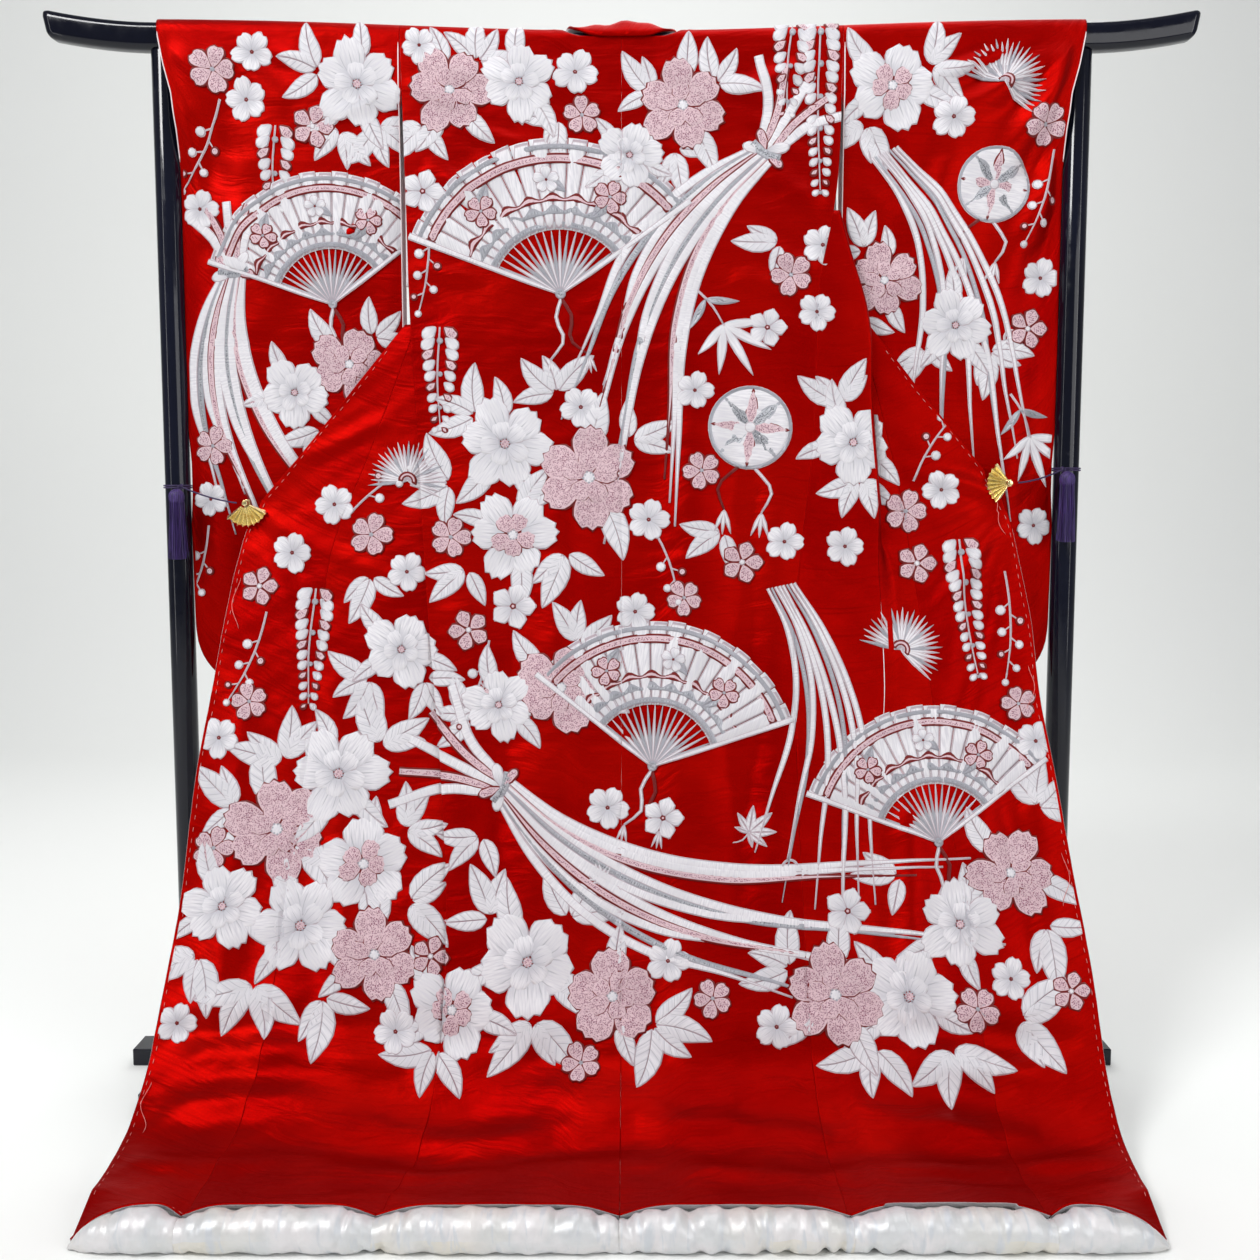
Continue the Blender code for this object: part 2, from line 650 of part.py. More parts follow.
def sleeve(side):
    """One length of cloth over the bar, sewn along its bottom and its outer edge below the cuff."""
    sign = -1 if side == "left" else 1

    def point(share, height, forward):
        x = SLEEVE_INNER_X + (straight(SLEEVE_EDGE, height) - SLEEVE_INNER_X) * share
        return world(sign * x, forward, height)

    heights = []
    for share in SLEEVE_COLUMNS:
        low = sleeve_low(share)
        heights.append([low + 0.007 + (1.566 - low - 0.007) * k for k in SLEEVE_ROWS])
    front = []
    for i in range(len(SLEEVE_ROWS)):
        narrow = 0.80 if i == 0 else 1.0
        row = []
        for share, column in zip(SLEEVE_COLUMNS, heights):
            row.append((share, column[i], sleeve_half_depth(share, column[i]) * narrow))
        front.append(row)
    wrap = []
    for forward, height in BAR_WRAP[:2]:
        opened = (CUFF_HALF - SLEEVE_HALF[-1][1]) * forward / BAR_WRAP[0][0]
        wrap.append([(share, height, forward + opened * cuff_share(share)) for share in SLEEVE_COLUMNS])
    top = [[(share, 1.589, 0.0) for share in SLEEVE_COLUMNS]]
    bottom = [[(share, sleeve_low(share), 0.0) for share in SLEEVE_COLUMNS]]
    rear = [[(share, height, -half) for share, height, half in row] for row in (front + wrap)[::-1]]
    ring = front + wrap + top + rear + bottom
    rows = [[point(share, height, forward) for share, height, forward in row] for row in ring]
    return cloth_sheet("sleeve_" + side, rows, (0, -1, 0), ring=True)


# ---------------------------------------------------------------- padded hem


def hem_roll(side, index, name):
    """A padded roll between two seams. Its underside is flat where it lies on the floor."""
    seams = seams_at_hem(side)
    start = seams[index] + SEAM_GAP / 2
    end = seams[index + 1] - SEAM_GAP / 2
    sign = -1 if side == "left" else 1
    rings = []
    for share in ROLL_STATIONS:
        x = start + (end - start) * share
        radius = roll_radius(side, x)
        ring = []
        for k in range(ROLL_SIDES):
            angle = math.tau * k / ROLL_SIDES
            height = max(0.0, radius * ROLL_SINK + radius * math.sin(angle))
            ring.append(world(sign * x, ROLL_FORWARD + radius * math.cos(angle), height))
        rings.append(ring)
    return loft("hem_roll_%s_%s" % (name, side), rings, "white_satin", 60)


# ---------------------------------------------------------------- stand


def top_bar():
    """A bar with softened corners whose ends turn up."""
    corner_points = []
    for quarter in range(4):
        for step in range(3):
            angle = math.radians(90 * quarter + 15 + 30 * step)
            out_y = (BAR_DEPTH / 2 - BAR_CORNER) * (1 if math.cos(angle) > 0 else -1)
            out_z = (BAR_HEIGHT / 2 - BAR_CORNER) * (1 if math.sin(angle) > 0 else -1)
            across = out_y + BAR_CORNER * math.cos(angle)
            corner_points.append((across, out_z + BAR_CORNER * math.sin(angle)))
    half = BAR_LENGTH / 2
    one_side = [BAR_STRAIGHT_X + (half - BAR_STRAIGHT_X) * share for share in BAR_END_SHARES]
    between = [BAR_STRAIGHT_X * step / BAR_STEPS for step in range(1 - BAR_STEPS, BAR_STEPS)]
    stations = [-x for x in one_side[::-1]] + between + one_side
    rings = []
    for x in stations:
        out = max(abs(x) - BAR_STRAIGHT_X, 0.0) / (half - BAR_STRAIGHT_X)
        rise = BAR_RISE * out**1.8
        ring = []
        for across, up in corner_points:
            slant = BAR_END_SLANT * out**4 * (up / BAR_HEIGHT - 0.5)
            slanted = x + (slant if x > 0 else -slant)
            ring.append(world(slanted, -across, BAR_TOP - BAR_HEIGHT / 2 + rise + up))
        rings.append(ring)
    return loft("top_bar", rings, "black_lacquer", 30)


def post(side):
    sign = -1 if side == "left" else 1
    low = BASE_HEIGHT + JOINT_GAP
    high = BAR_TOP - BAR_HEIGHT - JOINT_GAP
    bm = bmesh.new()
    bmesh.ops.create_cone(
        bm, cap_ends=True, segments=POST_SIDES, radius1=POST_RADIUS, radius2=POST_RADIUS, depth=high - low
    )
    bmesh.ops.translate(bm, vec=world(sign * POST_X, 0.0, (low + high) / 2), verts=bm.verts)
    return finish_object("post_" + side, mesh_from(bm, "post_" + side), "black_lacquer", 30)


def notched(length_low, length_high, centres, half_notch, height, from_top):
    """The side view of a bar with a half-depth notch at each crossing."""
    mid = height / 2
    edge = height if from_top else 0.0
    middle = mid - JOINT_GAP / 2 if from_top else mid + JOINT_GAP / 2
    line = [(length_low, edge)]
    for centre in centres:
        start, end = centre - half_notch, centre + half_notch
        line += [(start, edge), (start, middle), (end, middle), (end, edge)]
    line += [(length_high, edge), (length_high, height - edge), (length_low, height - edge)]
    return line


def base_rail():
    crossings = (-POST_X, POST_X)
    outline = notched(-RAIL_HALF_X, RAIL_HALF_X, crossings, FOOT_HALF_X + JOINT_GAP, BASE_HEIGHT, False)
    points = [world(x, RAIL_HALF_Y, z) for x, z in outline]
    return prism("base_rail", points, (0, 2 * RAIL_HALF_Y, 0), "black_lacquer", STAND_BEVEL)


def foot(side):
    sign = -1 if side == "left" else 1
    outline = notched(-FOOT_FRONT, FOOT_REAR, (0.0,), RAIL_HALF_Y + JOINT_GAP, BASE_HEIGHT, True)
    points = [world(sign * POST_X - FOOT_HALF_X, -y, z) for y, z in outline]
    return prism("foot_" + side, points, (2 * FOOT_HALF_X, 0, 0), "black_lacquer", STAND_BEVEL)


# ---------------------------------------------------------------- tie-backs


def down_at(height):
    """Distance down the cloth at a height, above the part that lies near the floor."""
    return float(np.interp(-height, [-h for h in DROP["height"]], DROP["down"]))


def surface_forward(side, x, height):
    down = down_at(height)
    point = hanging(side, x, down, share_of(side, x, down), overlap_behind(side, down))
    return POST_Y - point[1]


def clip_forward(side):
    """The fan lies just in front of the drawn-out edge."""
    x, height = TIES[side]["pivot"]
    deepest = 0.0
    for step in range(9):
        angle = TIES[side]["points"] + FAN_SPREAD * (step / 8 - 0.5)
        for reach in (0.4, 0.7, 1.0):
            at_x = x + FAN_RADIUS * reach * math.cos(angle)
            at_z = height + FAN_RADIUS * reach * math.sin(angle)
            edge = straight(FRONT_EDGE[side], down_at(at_z))
            if abs(at_x) <= edge + CLIP_MARGIN:
                deepest = max(deepest, surface_forward(side, abs(at_x), at_z))
    return deepest + CLIP_GAP + FAN_RIDGE


def fan_clip(side):
    """A folded metal fan with a jaw behind the cloth, joined at the fan's pivot."""
    x, height = TIES[side]["pivot"]
    front = clip_forward(side)
    steps = 2 * FAN_FOLDS
    rows = []
    for reach in FAN_REACHES:
        row = []
        for i in range(steps + 1):
            angle = TIES[side]["points"] + FAN_SPREAD * (i / steps - 0.5)
            ridge = FAN_RIDGE * (1 if i % 2 else -1) * min(reach / FAN_FULL_RIDGE, 1.0)
            out = reach + (FAN_SCALLOP if reach == FAN_RADIUS and i % 2 else 0.0)
            spot = (x + out * math.cos(angle), front + ridge + FAN_WALL / 2, height + out * math.sin(angle))
            row.append(world(*spot))
        rows.append(row)
    name = "fan_clip_" + side
    made = cloth_sheet(name, rows, (0, -1, 0), finish="polished_gold", wall=FAN_WALL, offset=0.0)
    toward = Vector((math.cos(TIES[side]["points"]), 0.0, math.sin(TIES[side]["points"])))
    across = Vector((-toward[2], 0.0, toward[0]))
    blocks = []
    for block, size in CLIP_BLOCKS.items():
        centre = world(x, front, height) + toward * size["along"]
        ends = [centre - Vector((0, reach, 0)) for reach in (size["front"], size["rear"])]
        half_sides = (toward * size["half_length"], across * size["half_width"])
        blocks.append(box_between("clip_" + block + "_" + side, *ends, half_sides))
    for other in blocks:
        joined = made.modifiers.new("Join", "BOOLEAN")
        joined.operation = "UNION"
        joined.object = other
        other.hide_render = True
        other.display_type = "WIRE"
    return made


def box_between(name, front, rear, half_sides):
    """A small block from one point back to another, with two half sides given as vectors."""
    first, second = half_sides
    corners = []
    for centre in (front, rear):
        for a, b in ((1, 1), (-1, 1), (-1, -1), (1, -1)):
            corners.append(centre + first * a + second * b)
    return loft(name, [corners[:4], corners[4:]], "polished_gold", 30)


def tie_loop(side):
    """Two turns of cord round the post, drawn as one ring."""
    sign = -1 if side == "left" else 1
    outside_post = 1 / math.cos(math.pi / LOOP_SIDES)
    ring_radius = (POST_RADIUS + CORD_RADIUS + SEAM_GAP) * outside_post
    cord_radius = CORD_RADIUS * outside_post
    bm = bmesh.new()
    loops = []
    for i in range(LOOP_SIDES):
        angle = math.tau * i / LOOP_SIDES
        loop = []
        for k in range(CORD_SIDES):
            turn = math.tau * k / CORD_SIDES
            out = ring_radius + cord_radius * math.cos(turn)
            up = LOOP_STRETCH * cord_radius * math.sin(turn)
            loop.append(bm.verts.new((out * math.cos(angle), out * math.sin(angle), up)))
        loops.append(loop)
    for first, second in zip(loops, loops[1:] + loops[:1]):
        for k in range(CORD_SIDES):
            j = (k + 1) % CORD_SIDES
            bm.faces.new((first[k], first[j], second[j], second[k]))
    bmesh.ops.translate(bm, vec=world(sign * POST_X, 0.0, TIES[side]["loop"]), verts=bm.verts)
    return finish_object("tie_loop_" + side, mesh_from(bm, "tie_loop_" + side), "purple_silk", 60)


def tie_cord(side):
    """The cord from the loop on the post to the clip, with a little slack."""
    sign = -1 if side == "left" else 1
    loop_height = TIES[side]["loop"]
    pivot_x, pivot_z = TIES[side]["pivot"]
    start = world(sign * (POST_X - 0.012), POST_RADIUS + 2 * CORD_RADIUS + 0.0030, loop_height)
    end = world(pivot_x + sign * 0.0125, clip_forward(side), pivot_z + 0.0005)
    points = []
    for i in range(CORD_STEPS + 1):
        share = i / CORD_STEPS
        sag = CORD_SAG * 4 * share * (1 - share)
        spot = start.lerp(end, share)
        points.append(spot - Vector((0, 0, sag)))
    line = bpy.data.curves.new("tie_cord_" + side, "CURVE")
    line.dimensions = "3D"
    line.bevel_depth = CORD_RADIUS
    line.bevel_resolution = 2
    line.use_fill_caps = True
    spline = line.splines.new("POLY")
    spline.points.add(len(points) - 1)
    for spot, target in zip(points, spline.points):
        target.co = (*spot, 1.0)
    line.materials.append(material("purple_silk"))
    made = bpy.data.objects.new("tie_cord_" + side, line)
    bpy.context.scene.collection.objects.link(made)
    return made


TASSEL_RINGS = (0.0016, 0.0040, 0.0064, 0.0088)
TASSEL_SIDES = 14
TASSEL_PROFILE = ((0.0094, 0.0020), (0.0090, 0.0080), (0.0066, 0.0120), (0.0074, 0.0160), (0.0050, 0.0196),
                  (0.0016, 0.0206))


def tassel(side):
    """A bound head whose underside carries the strands, each pulled out of one small face."""
    sign = -1 if side == "left" else 1
    bm = bmesh.new()
    rings = [(radius, 0.0) for radius in TASSEL_RINGS] + list(TASSEL_PROFILE)
    loops = []
    for radius, height in rings:
        loop = []
        for k in range(TASSEL_SIDES):
            angle = math.tau * k / TASSEL_SIDES
            loop.append(bm.verts.new((radius * math.cos(angle), radius * math.sin(angle), height)))
        loops.append(loop)
    roots = []
    for index, (first, second) in enumerate(zip(loops, loops[1:])):
        for k in range(TASSEL_SIDES):
            j = (k + 1) % TASSEL_SIDES
            face = bm.faces.new((first[k], first[j], second[j], second[k]))
            if index < len(TASSEL_RINGS) - 1:
                roots.append(face)
    bm.faces.new(loops[0])
    bm.faces.new(loops[-1])
    bmesh.ops.recalc_face_normals(bm, faces=bm.faces)
    bmesh.ops.inset_individual(bm, faces=roots, thickness=0.00022, depth=0.0)
    pulled = bmesh.ops.extrude_discrete_faces(bm, faces=roots)["faces"]
    for number, face in enumerate(pulled):
        centre = face.calc_center_median()
        length = TASSEL_LENGTH * (1.0 - 0.035 * (0.5 + 0.5 * math.sin(number * 2.4)))
        for vert in face.verts:
            off = vert.co - centre
            vert.co = Vector((centre.x * 1.22, centre.y * 1.22, -length)) + off * 0.8
    loop_height = TIES[side]["loop"]
    spot = world(sign * (POST_X - 0.009), POST_RADIUS + 0.0180, loop_height - TASSEL_HEAD - 0.004)
    bmesh.ops.translate(bm, vec=spot, verts=bm.verts)
    return finish_object("tassel_" + side, mesh_from(bm, "tassel_" + side), "purple_silk", 50)


# ---------------------------------------------------------------- everything


def build():
    clear_scene()
    top_bar()
    base_rail()
    collar()
    left_front_panel()
    right_front_panel()
    for side in ("left", "right"):
        back_panel(side)
        front_shoulder(side)
        overlap_panel(side)
        sleeve(side)
        for index, name in enumerate(("back", "front", "overlap")):
            hem_roll(side, index, name)
        post(side)
        foot(side)
        fan_clip(side)
        tie_loop(side)
        tie_cord(side)
        tassel(side)


build()
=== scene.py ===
import math

import bmesh
import bpy
import numpy as np
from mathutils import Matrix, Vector


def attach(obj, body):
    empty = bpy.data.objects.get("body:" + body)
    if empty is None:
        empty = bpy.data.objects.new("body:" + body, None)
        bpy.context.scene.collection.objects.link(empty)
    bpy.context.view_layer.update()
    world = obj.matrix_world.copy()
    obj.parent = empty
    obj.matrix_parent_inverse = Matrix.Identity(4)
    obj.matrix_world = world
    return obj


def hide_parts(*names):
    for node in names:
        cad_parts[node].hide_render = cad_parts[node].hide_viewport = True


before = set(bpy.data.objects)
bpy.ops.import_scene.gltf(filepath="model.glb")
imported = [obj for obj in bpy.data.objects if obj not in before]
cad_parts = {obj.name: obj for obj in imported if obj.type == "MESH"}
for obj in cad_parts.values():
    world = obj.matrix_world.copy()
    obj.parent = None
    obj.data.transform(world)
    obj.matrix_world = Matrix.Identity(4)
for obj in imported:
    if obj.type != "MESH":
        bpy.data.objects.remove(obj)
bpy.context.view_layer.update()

# ------------------------------------------------------------------ sizes of the garment and its stand

WALL = 0.0026
SEAM_GAP = 0.0001
ARMHOLE_X = 0.325
NECK_X = 0.092
ROLL_RADIUS = 0.0265
ROLL_FORWARD = 0.556
ROLL_SINK = 0.92
ROLL_CLEARANCE = 0.0018
ROLL_STATIONS = (0.0, 0.12, 0.37, 0.63, 0.88, 1.0)
ROLL_SIZES = {
    "between seams": (0.74, 0.93, 1.0, 1.0, 0.93, 0.74),
    "outer tip": (0.74, 0.94, 1.0, 0.86, 0.5, 0.16),
}
SLEEVE_INNER_X = 0.3262
SLEEVE_BOTTOM = 0.596
SLEEVE_CORNER = 0.085
SLEEVE_CLOSED_HALF = 0.0038
SEWN_FROM = 1.455
SEWN_OVER = 0.035
OVER_BAR = 0.034
BAR_CROWN = 0.0235
CUFF_BOTTOM = 1.36
CUFF_TOP = 1.46
CUFF_HALF = 0.026
CUFF_START = 0.66
BAR_LENGTH = 1.708
BAR_HEIGHT = 0.04
BAR_DEPTH = 0.034
BAR_TOP = 1.585
BAR_STRAIGHT_X = 0.69
BAR_RISE = 0.019
BAR_SAG = 0.0155
SAG_HALF_X = 0.655
SAG_HEIGHTS = (1.45, 0.95)
BASE_HEIGHT = 0.027
POST_X = 0.677
POST_RADIUS = 0.019
CORD_RADIUS = 0.0012
POST_Y = 0.17625
TOP_Z = 1.566

# The cloth's way down: distance down the cloth, distance in front of the posts' plane at the middle and
# at the outer edge, and height. The first rows pass over the bar.
DROP_ROWS = (
    (0.0, 0.0215, 0.0215, 1.566),
    (0.116, 0.029, 0.026, 1.45),
    (0.246, 0.037, 0.03, 1.32),
    (0.419, 0.048, 0.034, 1.148),
    (0.567, 0.058, 0.035, 1.0),
    (0.683, 0.07, 0.038, 0.885),
    (0.819, 0.087, 0.062, 0.75),
    (0.971, 0.113, 0.1, 0.6),
    (1.126, 0.15, 0.145, 0.45),
    (1.273, 0.195, 0.195, 0.31),
    (1.403, 0.245, 0.245, 0.19),
    (1.51, 0.3, 0.3, 0.098),
    (1.591, 0.365, 0.365, 0.05),
    (1.65, 0.422, 0.422, 0.036),
    (1.71, 0.482, 0.482, 0.034),
)
DROP = dict(zip(("down", "forward", "edge", "height"), np.array(DROP_ROWS).T))
BAR_WRAP = np.array(((-0.037, 0.0012, 1.59), (-0.0238, 0.0142, 1.5875), (-0.013, 0.0208, 1.579),
                     (0.0, 0.0215, 1.566)))
HEM_DOWN = 1.763
SIDE_SEAM = {
    "left": ((0.0, 0.325), (0.246, 0.317), (0.419, 0.312), (0.567, 0.303), (0.83, 0.287), (1.1, 0.262),
             (1.27, 0.25), (1.47, 0.252), (1.59, 0.264), (1.763, 0.292)),
    "right": ((0.0, 0.325), (0.246, 0.313), (0.35, 0.293), (0.49, 0.287), (0.62, 0.281), (0.73, 0.268),
              (0.82, 0.258), (1.1, 0.256), (1.29, 0.26), (1.55, 0.266), (1.763, 0.277)),
}
OVERLAP_SEAM = {
    "left": ((0.419, 0.303), (0.48, 0.326), (0.66, 0.395), (0.72, 0.42), (0.99, 0.4525), (1.107, 0.466),
             (1.2, 0.477), (1.47, 0.495), (1.763, 0.5245)),
    "right": ((0.24, 0.3125), (0.3, 0.322), (0.419, 0.352), (0.54, 0.384), (0.66, 0.413), (0.8, 0.436),
              (0.99, 0.458), (1.107, 0.47), (1.255, 0.49), (1.4, 0.503), (1.763, 0.516)),
}
FRONT_EDGE = {
    "left": ((0.419, 0.321), (0.617, 0.482), (0.684, 0.541), (0.784, 0.577), (0.85, 0.589), (0.967, 0.605),
             (1.085, 0.621), (1.27, 0.633), (1.47, 0.65), (1.763, 0.655)),
    "right": ((0.419, 0.366), (0.507, 0.435), (0.637, 0.543), (0.684, 0.571), (0.784, 0.596), (0.863, 0.609),
              (0.965, 0.616), (1.095, 0.634), (1.24, 0.65), (1.35, 0.662), (1.47, 0.665), (1.763, 0.652)),
}
PLEAT_EDGE = ((0.24, 0.318), (0.3, 0.334), (0.419, 0.366), (0.535, 0.37), (0.65, 0.379), (0.8, 0.393),
              (1.0, 0.4))
PLEAT_STRENGTH = ((0.24, 1.0), (0.65, 1.0), (0.78, 0.55), (0.93, 0.0))
PLEAT_END = 0.93
PLEAT_OPEN = 0.45
PLEAT_OPEN_HALF = 0.016
PLEAT_TUCK = 0.026
PLEAT_DEPTH = 0.015
PLEAT_SECTION = (
    (0.0, -0.006, 0.0), (0.0, -0.0005, 0.06), (0.0, 0.002, 0.28), (0.0, -0.0005, 0.5),
    (-0.5, -0.002, 0.53), (-1.0, -0.001, 0.53), (-1.0, -0.005, 0.76), (-1.0, -0.001, 1.0),
)
RIGHT_HEM_COLUMNS = (0.0, 0.12, 0.2, 0.28, 0.37, 0.45, 0.54, 0.63, 0.72, 0.8, 0.88, 1.0)
LEFT_STEP = ((0.24, 0.0095), (1.25, 0.0095), (1.5, 0.006), (1.62, 0.0), (1.763, 0.0))
LEFT_TUCK = 0.014
FLOOR_WAVE = ((0.0, 0.0), (1.3, 0.0), (1.43, 0.0045), (1.56, 0.0095), (1.65, 0.0075), (1.71, 0.003),
              (1.763, 0.0))
WAVES = ((9.1, 0.4, 1.0), (15.7, 2.2, 0.55), (24.3, 4.1, 0.25))
NECK_POINT = (NECK_X, TOP_Z)
COLLAR_GAP_HEIGHT = 1.148
REAR_FORWARD = ((1.148, 0.0285), (1.25, 0.012), (1.4, -0.012), (1.52, -0.0235), (1.6, -0.0235))
SLEEVE_EDGE = ((0.596, 0.652), (0.7, 0.6555), (0.85, 0.657), (0.895, 0.6542), (0.941, 0.6542),
               (0.985, 0.6572), (1.43, 0.6572), (1.48, 0.662),
               (1.52, 0.672), (1.56, 0.679), (1.6, 0.682))
SLEEVE_HALF = ((0.596, 0.011), (1.0, 0.0135), (1.3, 0.0165), (1.45, 0.02), (1.566, 0.0215))

# Soft troughs (negative) and ridges (positive): signed x and distance down of both ends,
# half width, height, and how far the middle bows sideways.
CREASES = (
    # storage folds across the back and the fronts
    (-0.315, 0.165, 0.3, 0.158, 0.005, -0.0009, 0.002), (-0.315, 0.262, -0.02, 0.268, 0.005, -0.0009, 0.0),
    (0.03, 0.255, 0.315, 0.262, 0.005, -0.0009, -0.002), (-0.315, 0.452, 0.3, 0.44, 0.0055, -0.0011, 0.003),
    (-0.3, 0.452, 0.29, 0.44, 0.04, 0.0014, 0.003), (-0.3, 0.6, 0.3, 0.604, 0.005, -0.0008, 0.002),
    (-0.29, 0.76, 0.27, 0.752, 0.005, -0.0009, 0.002), (-0.3, 1.035, 0.3, 1.045, 0.0055, -0.001, 0.002),
    # ripples and soft rolls below the shoulders
    (-0.305, 0.016, -0.15, 0.06, 0.014, 0.0035, 0.006), (-0.12, 0.02, -0.03, 0.1, 0.016, 0.0029, 0.006),
    (0.05, 0.015, 0.14, 0.095, 0.016, 0.0032, -0.006), (0.305, 0.016, 0.17, 0.07, 0.014, 0.0038, -0.006),
    (-0.235, 0.118, -0.12, 0.146, 0.007, 0.0029, 0.006), (-0.245, 0.136, -0.15, 0.17, 0.006, -0.0026, 0.004),
    (-0.29, 0.18, -0.21, 0.215, 0.012, 0.0032, 0.004), (0.15, 0.06, 0.29, 0.088, 0.01, 0.0029, 0.006),
    (0.17, 0.12, 0.3, 0.15, 0.008, -0.0022, 0.004), (-0.315, 0.06, -0.2, 0.095, 0.009, 0.0029, 0.006),
    (-0.31, 0.33, -0.2, 0.352, 0.01, 0.0026, 0.004), (0.2, 0.3, 0.29, 0.332, 0.012, 0.0032, 0.004),
    (0.21, 0.18, 0.3, 0.24, 0.014, 0.0032, 0.006), (0.16, 0.345, 0.28, 0.38, 0.012, 0.0029, -0.004),
    # long soft folds of the back
    (-0.06, 0.5, -0.1, 1.25, 0.03, 0.0035, 0.01), (0.1, 0.42, 0.07, 1.2, 0.034, 0.0042, -0.012),
    (-0.19, 0.7, -0.165, 1.4, 0.026, -0.0035, 0.008), (0.185, 0.56, 0.165, 1.32, 0.024, -0.0042, -0.006),
    # pulled folds of the left front towards its clip
    (-0.56, 0.69, -0.33, 0.8, 0.012, 0.0021, 0.01), (-0.56, 0.7, -0.35, 0.9, 0.014, -0.0019, 0.014),
    (-0.545, 0.7, -0.38, 1.08, 0.018, 0.0021, 0.012), (-0.52, 0.64, -0.33, 0.56, 0.01, 0.0013, -0.004),
    # pulled folds of the right front towards its clip
    (0.575, 0.68, 0.42, 0.64, 0.01, 0.0035, 0.006), (0.575, 0.69, 0.4, 0.76, 0.012, -0.0042, -0.008),
    (0.57, 0.7, 0.43, 0.88, 0.014, 0.0042, -0.012), (0.56, 0.71, 0.47, 1.06, 0.016, -0.0035, -0.01),
    # long folds of the fronts
    (-0.42, 0.9, -0.38, 1.48, 0.022, 0.0048, 0.008), (-0.56, 0.95, -0.575, 1.5, 0.02, 0.0042, -0.006),
    (0.42, 0.98, 0.4, 1.48, 0.024, 0.0048, -0.008), (0.56, 0.9, 0.59, 1.46, 0.02, -0.0042, 0.006),
    # where the cloth turns onto the floor
    (-0.64, 1.452, -0.43, 1.436, 0.018, -0.0064, 0.006), (-0.43, 1.436, -0.17, 1.456, 0.021, -0.0051, -0.006),
    (-0.52, 1.478, -0.3, 1.492, 0.019, 0.0043, 0.004), (-0.2, 1.47, 0.02, 1.486, 0.024, -0.0034, 0.006),
    (0.35, 1.446, 0.64, 1.462, 0.019, -0.0064, -0.006), (0.38, 1.49, 0.6, 1.482, 0.021, 0.0044, 0.004),
    (0.09, 1.5, 0.33, 1.478, 0.024, -0.0039, -0.006), (-0.12, 1.54, 0.16, 1.552, 0.027, 0.0037, 0.006),
    # wrinkles of the cloth that lies on the floor
    (-0.62, 1.56, -0.38, 1.548, 0.018, 0.0051, -0.006), (-0.36, 1.568, -0.09, 1.59, 0.019, 0.0046, 0.008),
    (-0.5, 1.612, -0.24, 1.604, 0.017, -0.0043, 0.006), (-0.18, 1.63, 0.06, 1.616, 0.018, -0.0043, -0.006),
    (0.02, 1.586, 0.28, 1.596, 0.018, 0.0051, -0.006), (0.25, 1.628, 0.5, 1.606, 0.018, -0.0048, 0.006),
    (0.3, 1.56, 0.56, 1.574, 0.019, 0.0048, 0.006), (0.48, 1.64, 0.66, 1.63, 0.015, 0.0039, -0.004),
    (-0.64, 1.646, -0.45, 1.66, 0.017, 0.0043, 0.004), (-0.4, 1.668, -0.15, 1.654, 0.015, 0.0039, -0.004),
    (0.06, 1.664, 0.3, 1.672, 0.015, 0.0039, 0.005), (0.34, 1.676, 0.52, 1.668, 0.013, -0.0034, 0.004),
)
SLEEVE_CREASES = {
    "left": (
        (0.662, 0.012, 0.59, 0.15, 0.017, 0.0051, 0.01), (0.64, 0.01, 0.49, 0.105, 0.015, 0.0044, 0.01),
        (0.668, 0.07, 0.625, 0.3, 0.018, 0.0051, 0.008), (0.655, 0.04, 0.56, 0.19, 0.01, -0.0026, 0.01),
        (0.56, 0.008, 0.4, 0.06, 0.012, 0.0034, 0.006), (0.335, 0.07, 0.44, 0.118, 0.008, 0.0024, 0.006),
        (0.335, 0.25, 0.43, 0.3, 0.01, 0.0027, -0.004), (0.6, 0.21, 0.52, 0.42, 0.022, 0.0041, 0.012),
        (0.33, 0.158, 0.645, 0.166, 0.005, -0.0008, 0.002), (0.33, 0.446, 0.645, 0.44, 0.005, -0.0009, 0.003),
        (0.35, 0.752, 0.62, 0.764, 0.005, -0.0008, 0.002), (0.42, 0.32, 0.4, 0.82, 0.028, 0.0034, 0.006),
        (0.54, 0.42, 0.56, 0.88, 0.026, -0.002, 0.008), (0.62, 0.36, 0.61, 0.84, 0.022, 0.0034, 0.004),
    ),
    "right": (
        (0.664, 0.01, 0.56, 0.185, 0.018, 0.0092, -0.012), (0.645, 0.012, 0.47, 0.12, 0.015, 0.0073, -0.01),
        (0.672, 0.06, 0.605, 0.31, 0.018, 0.0097, -0.01), (0.658, 0.045, 0.59, 0.21, 0.009, -0.0034, -0.01),
        (0.6, 0.006, 0.42, 0.07, 0.011, 0.0051, -0.006), (0.65, 0.18, 0.56, 0.43, 0.024, 0.0058, 0.012),
        (0.334, 0.112, 0.425, 0.14, 0.007, 0.0024, 0.004), (0.334, 0.138, 0.4, 0.156, 0.006, -0.002, 0.003),
        (0.334, 0.205, 0.4, 0.232, 0.008, 0.0024, 0.004), (0.5, 0.12, 0.42, 0.33, 0.02, 0.0034, -0.01),
        (0.33, 0.162, 0.645, 0.17, 0.005, -0.0008, 0.002), (0.33, 0.458, 0.645, 0.448, 0.005, -0.0009, 0.003),
        (0.35, 0.768, 0.62, 0.758, 0.005, -0.0008, 0.002), (0.39, 0.38, 0.4, 0.8, 0.026, 0.0034, -0.008),
        (0.5, 0.36, 0.52, 0.86, 0.028, -0.0024, 0.008), (0.6, 0.42, 0.59, 0.86, 0.022, 0.0041, 0.004),
    ),
}

# ------------------------------------------------------------------ curves through short tables


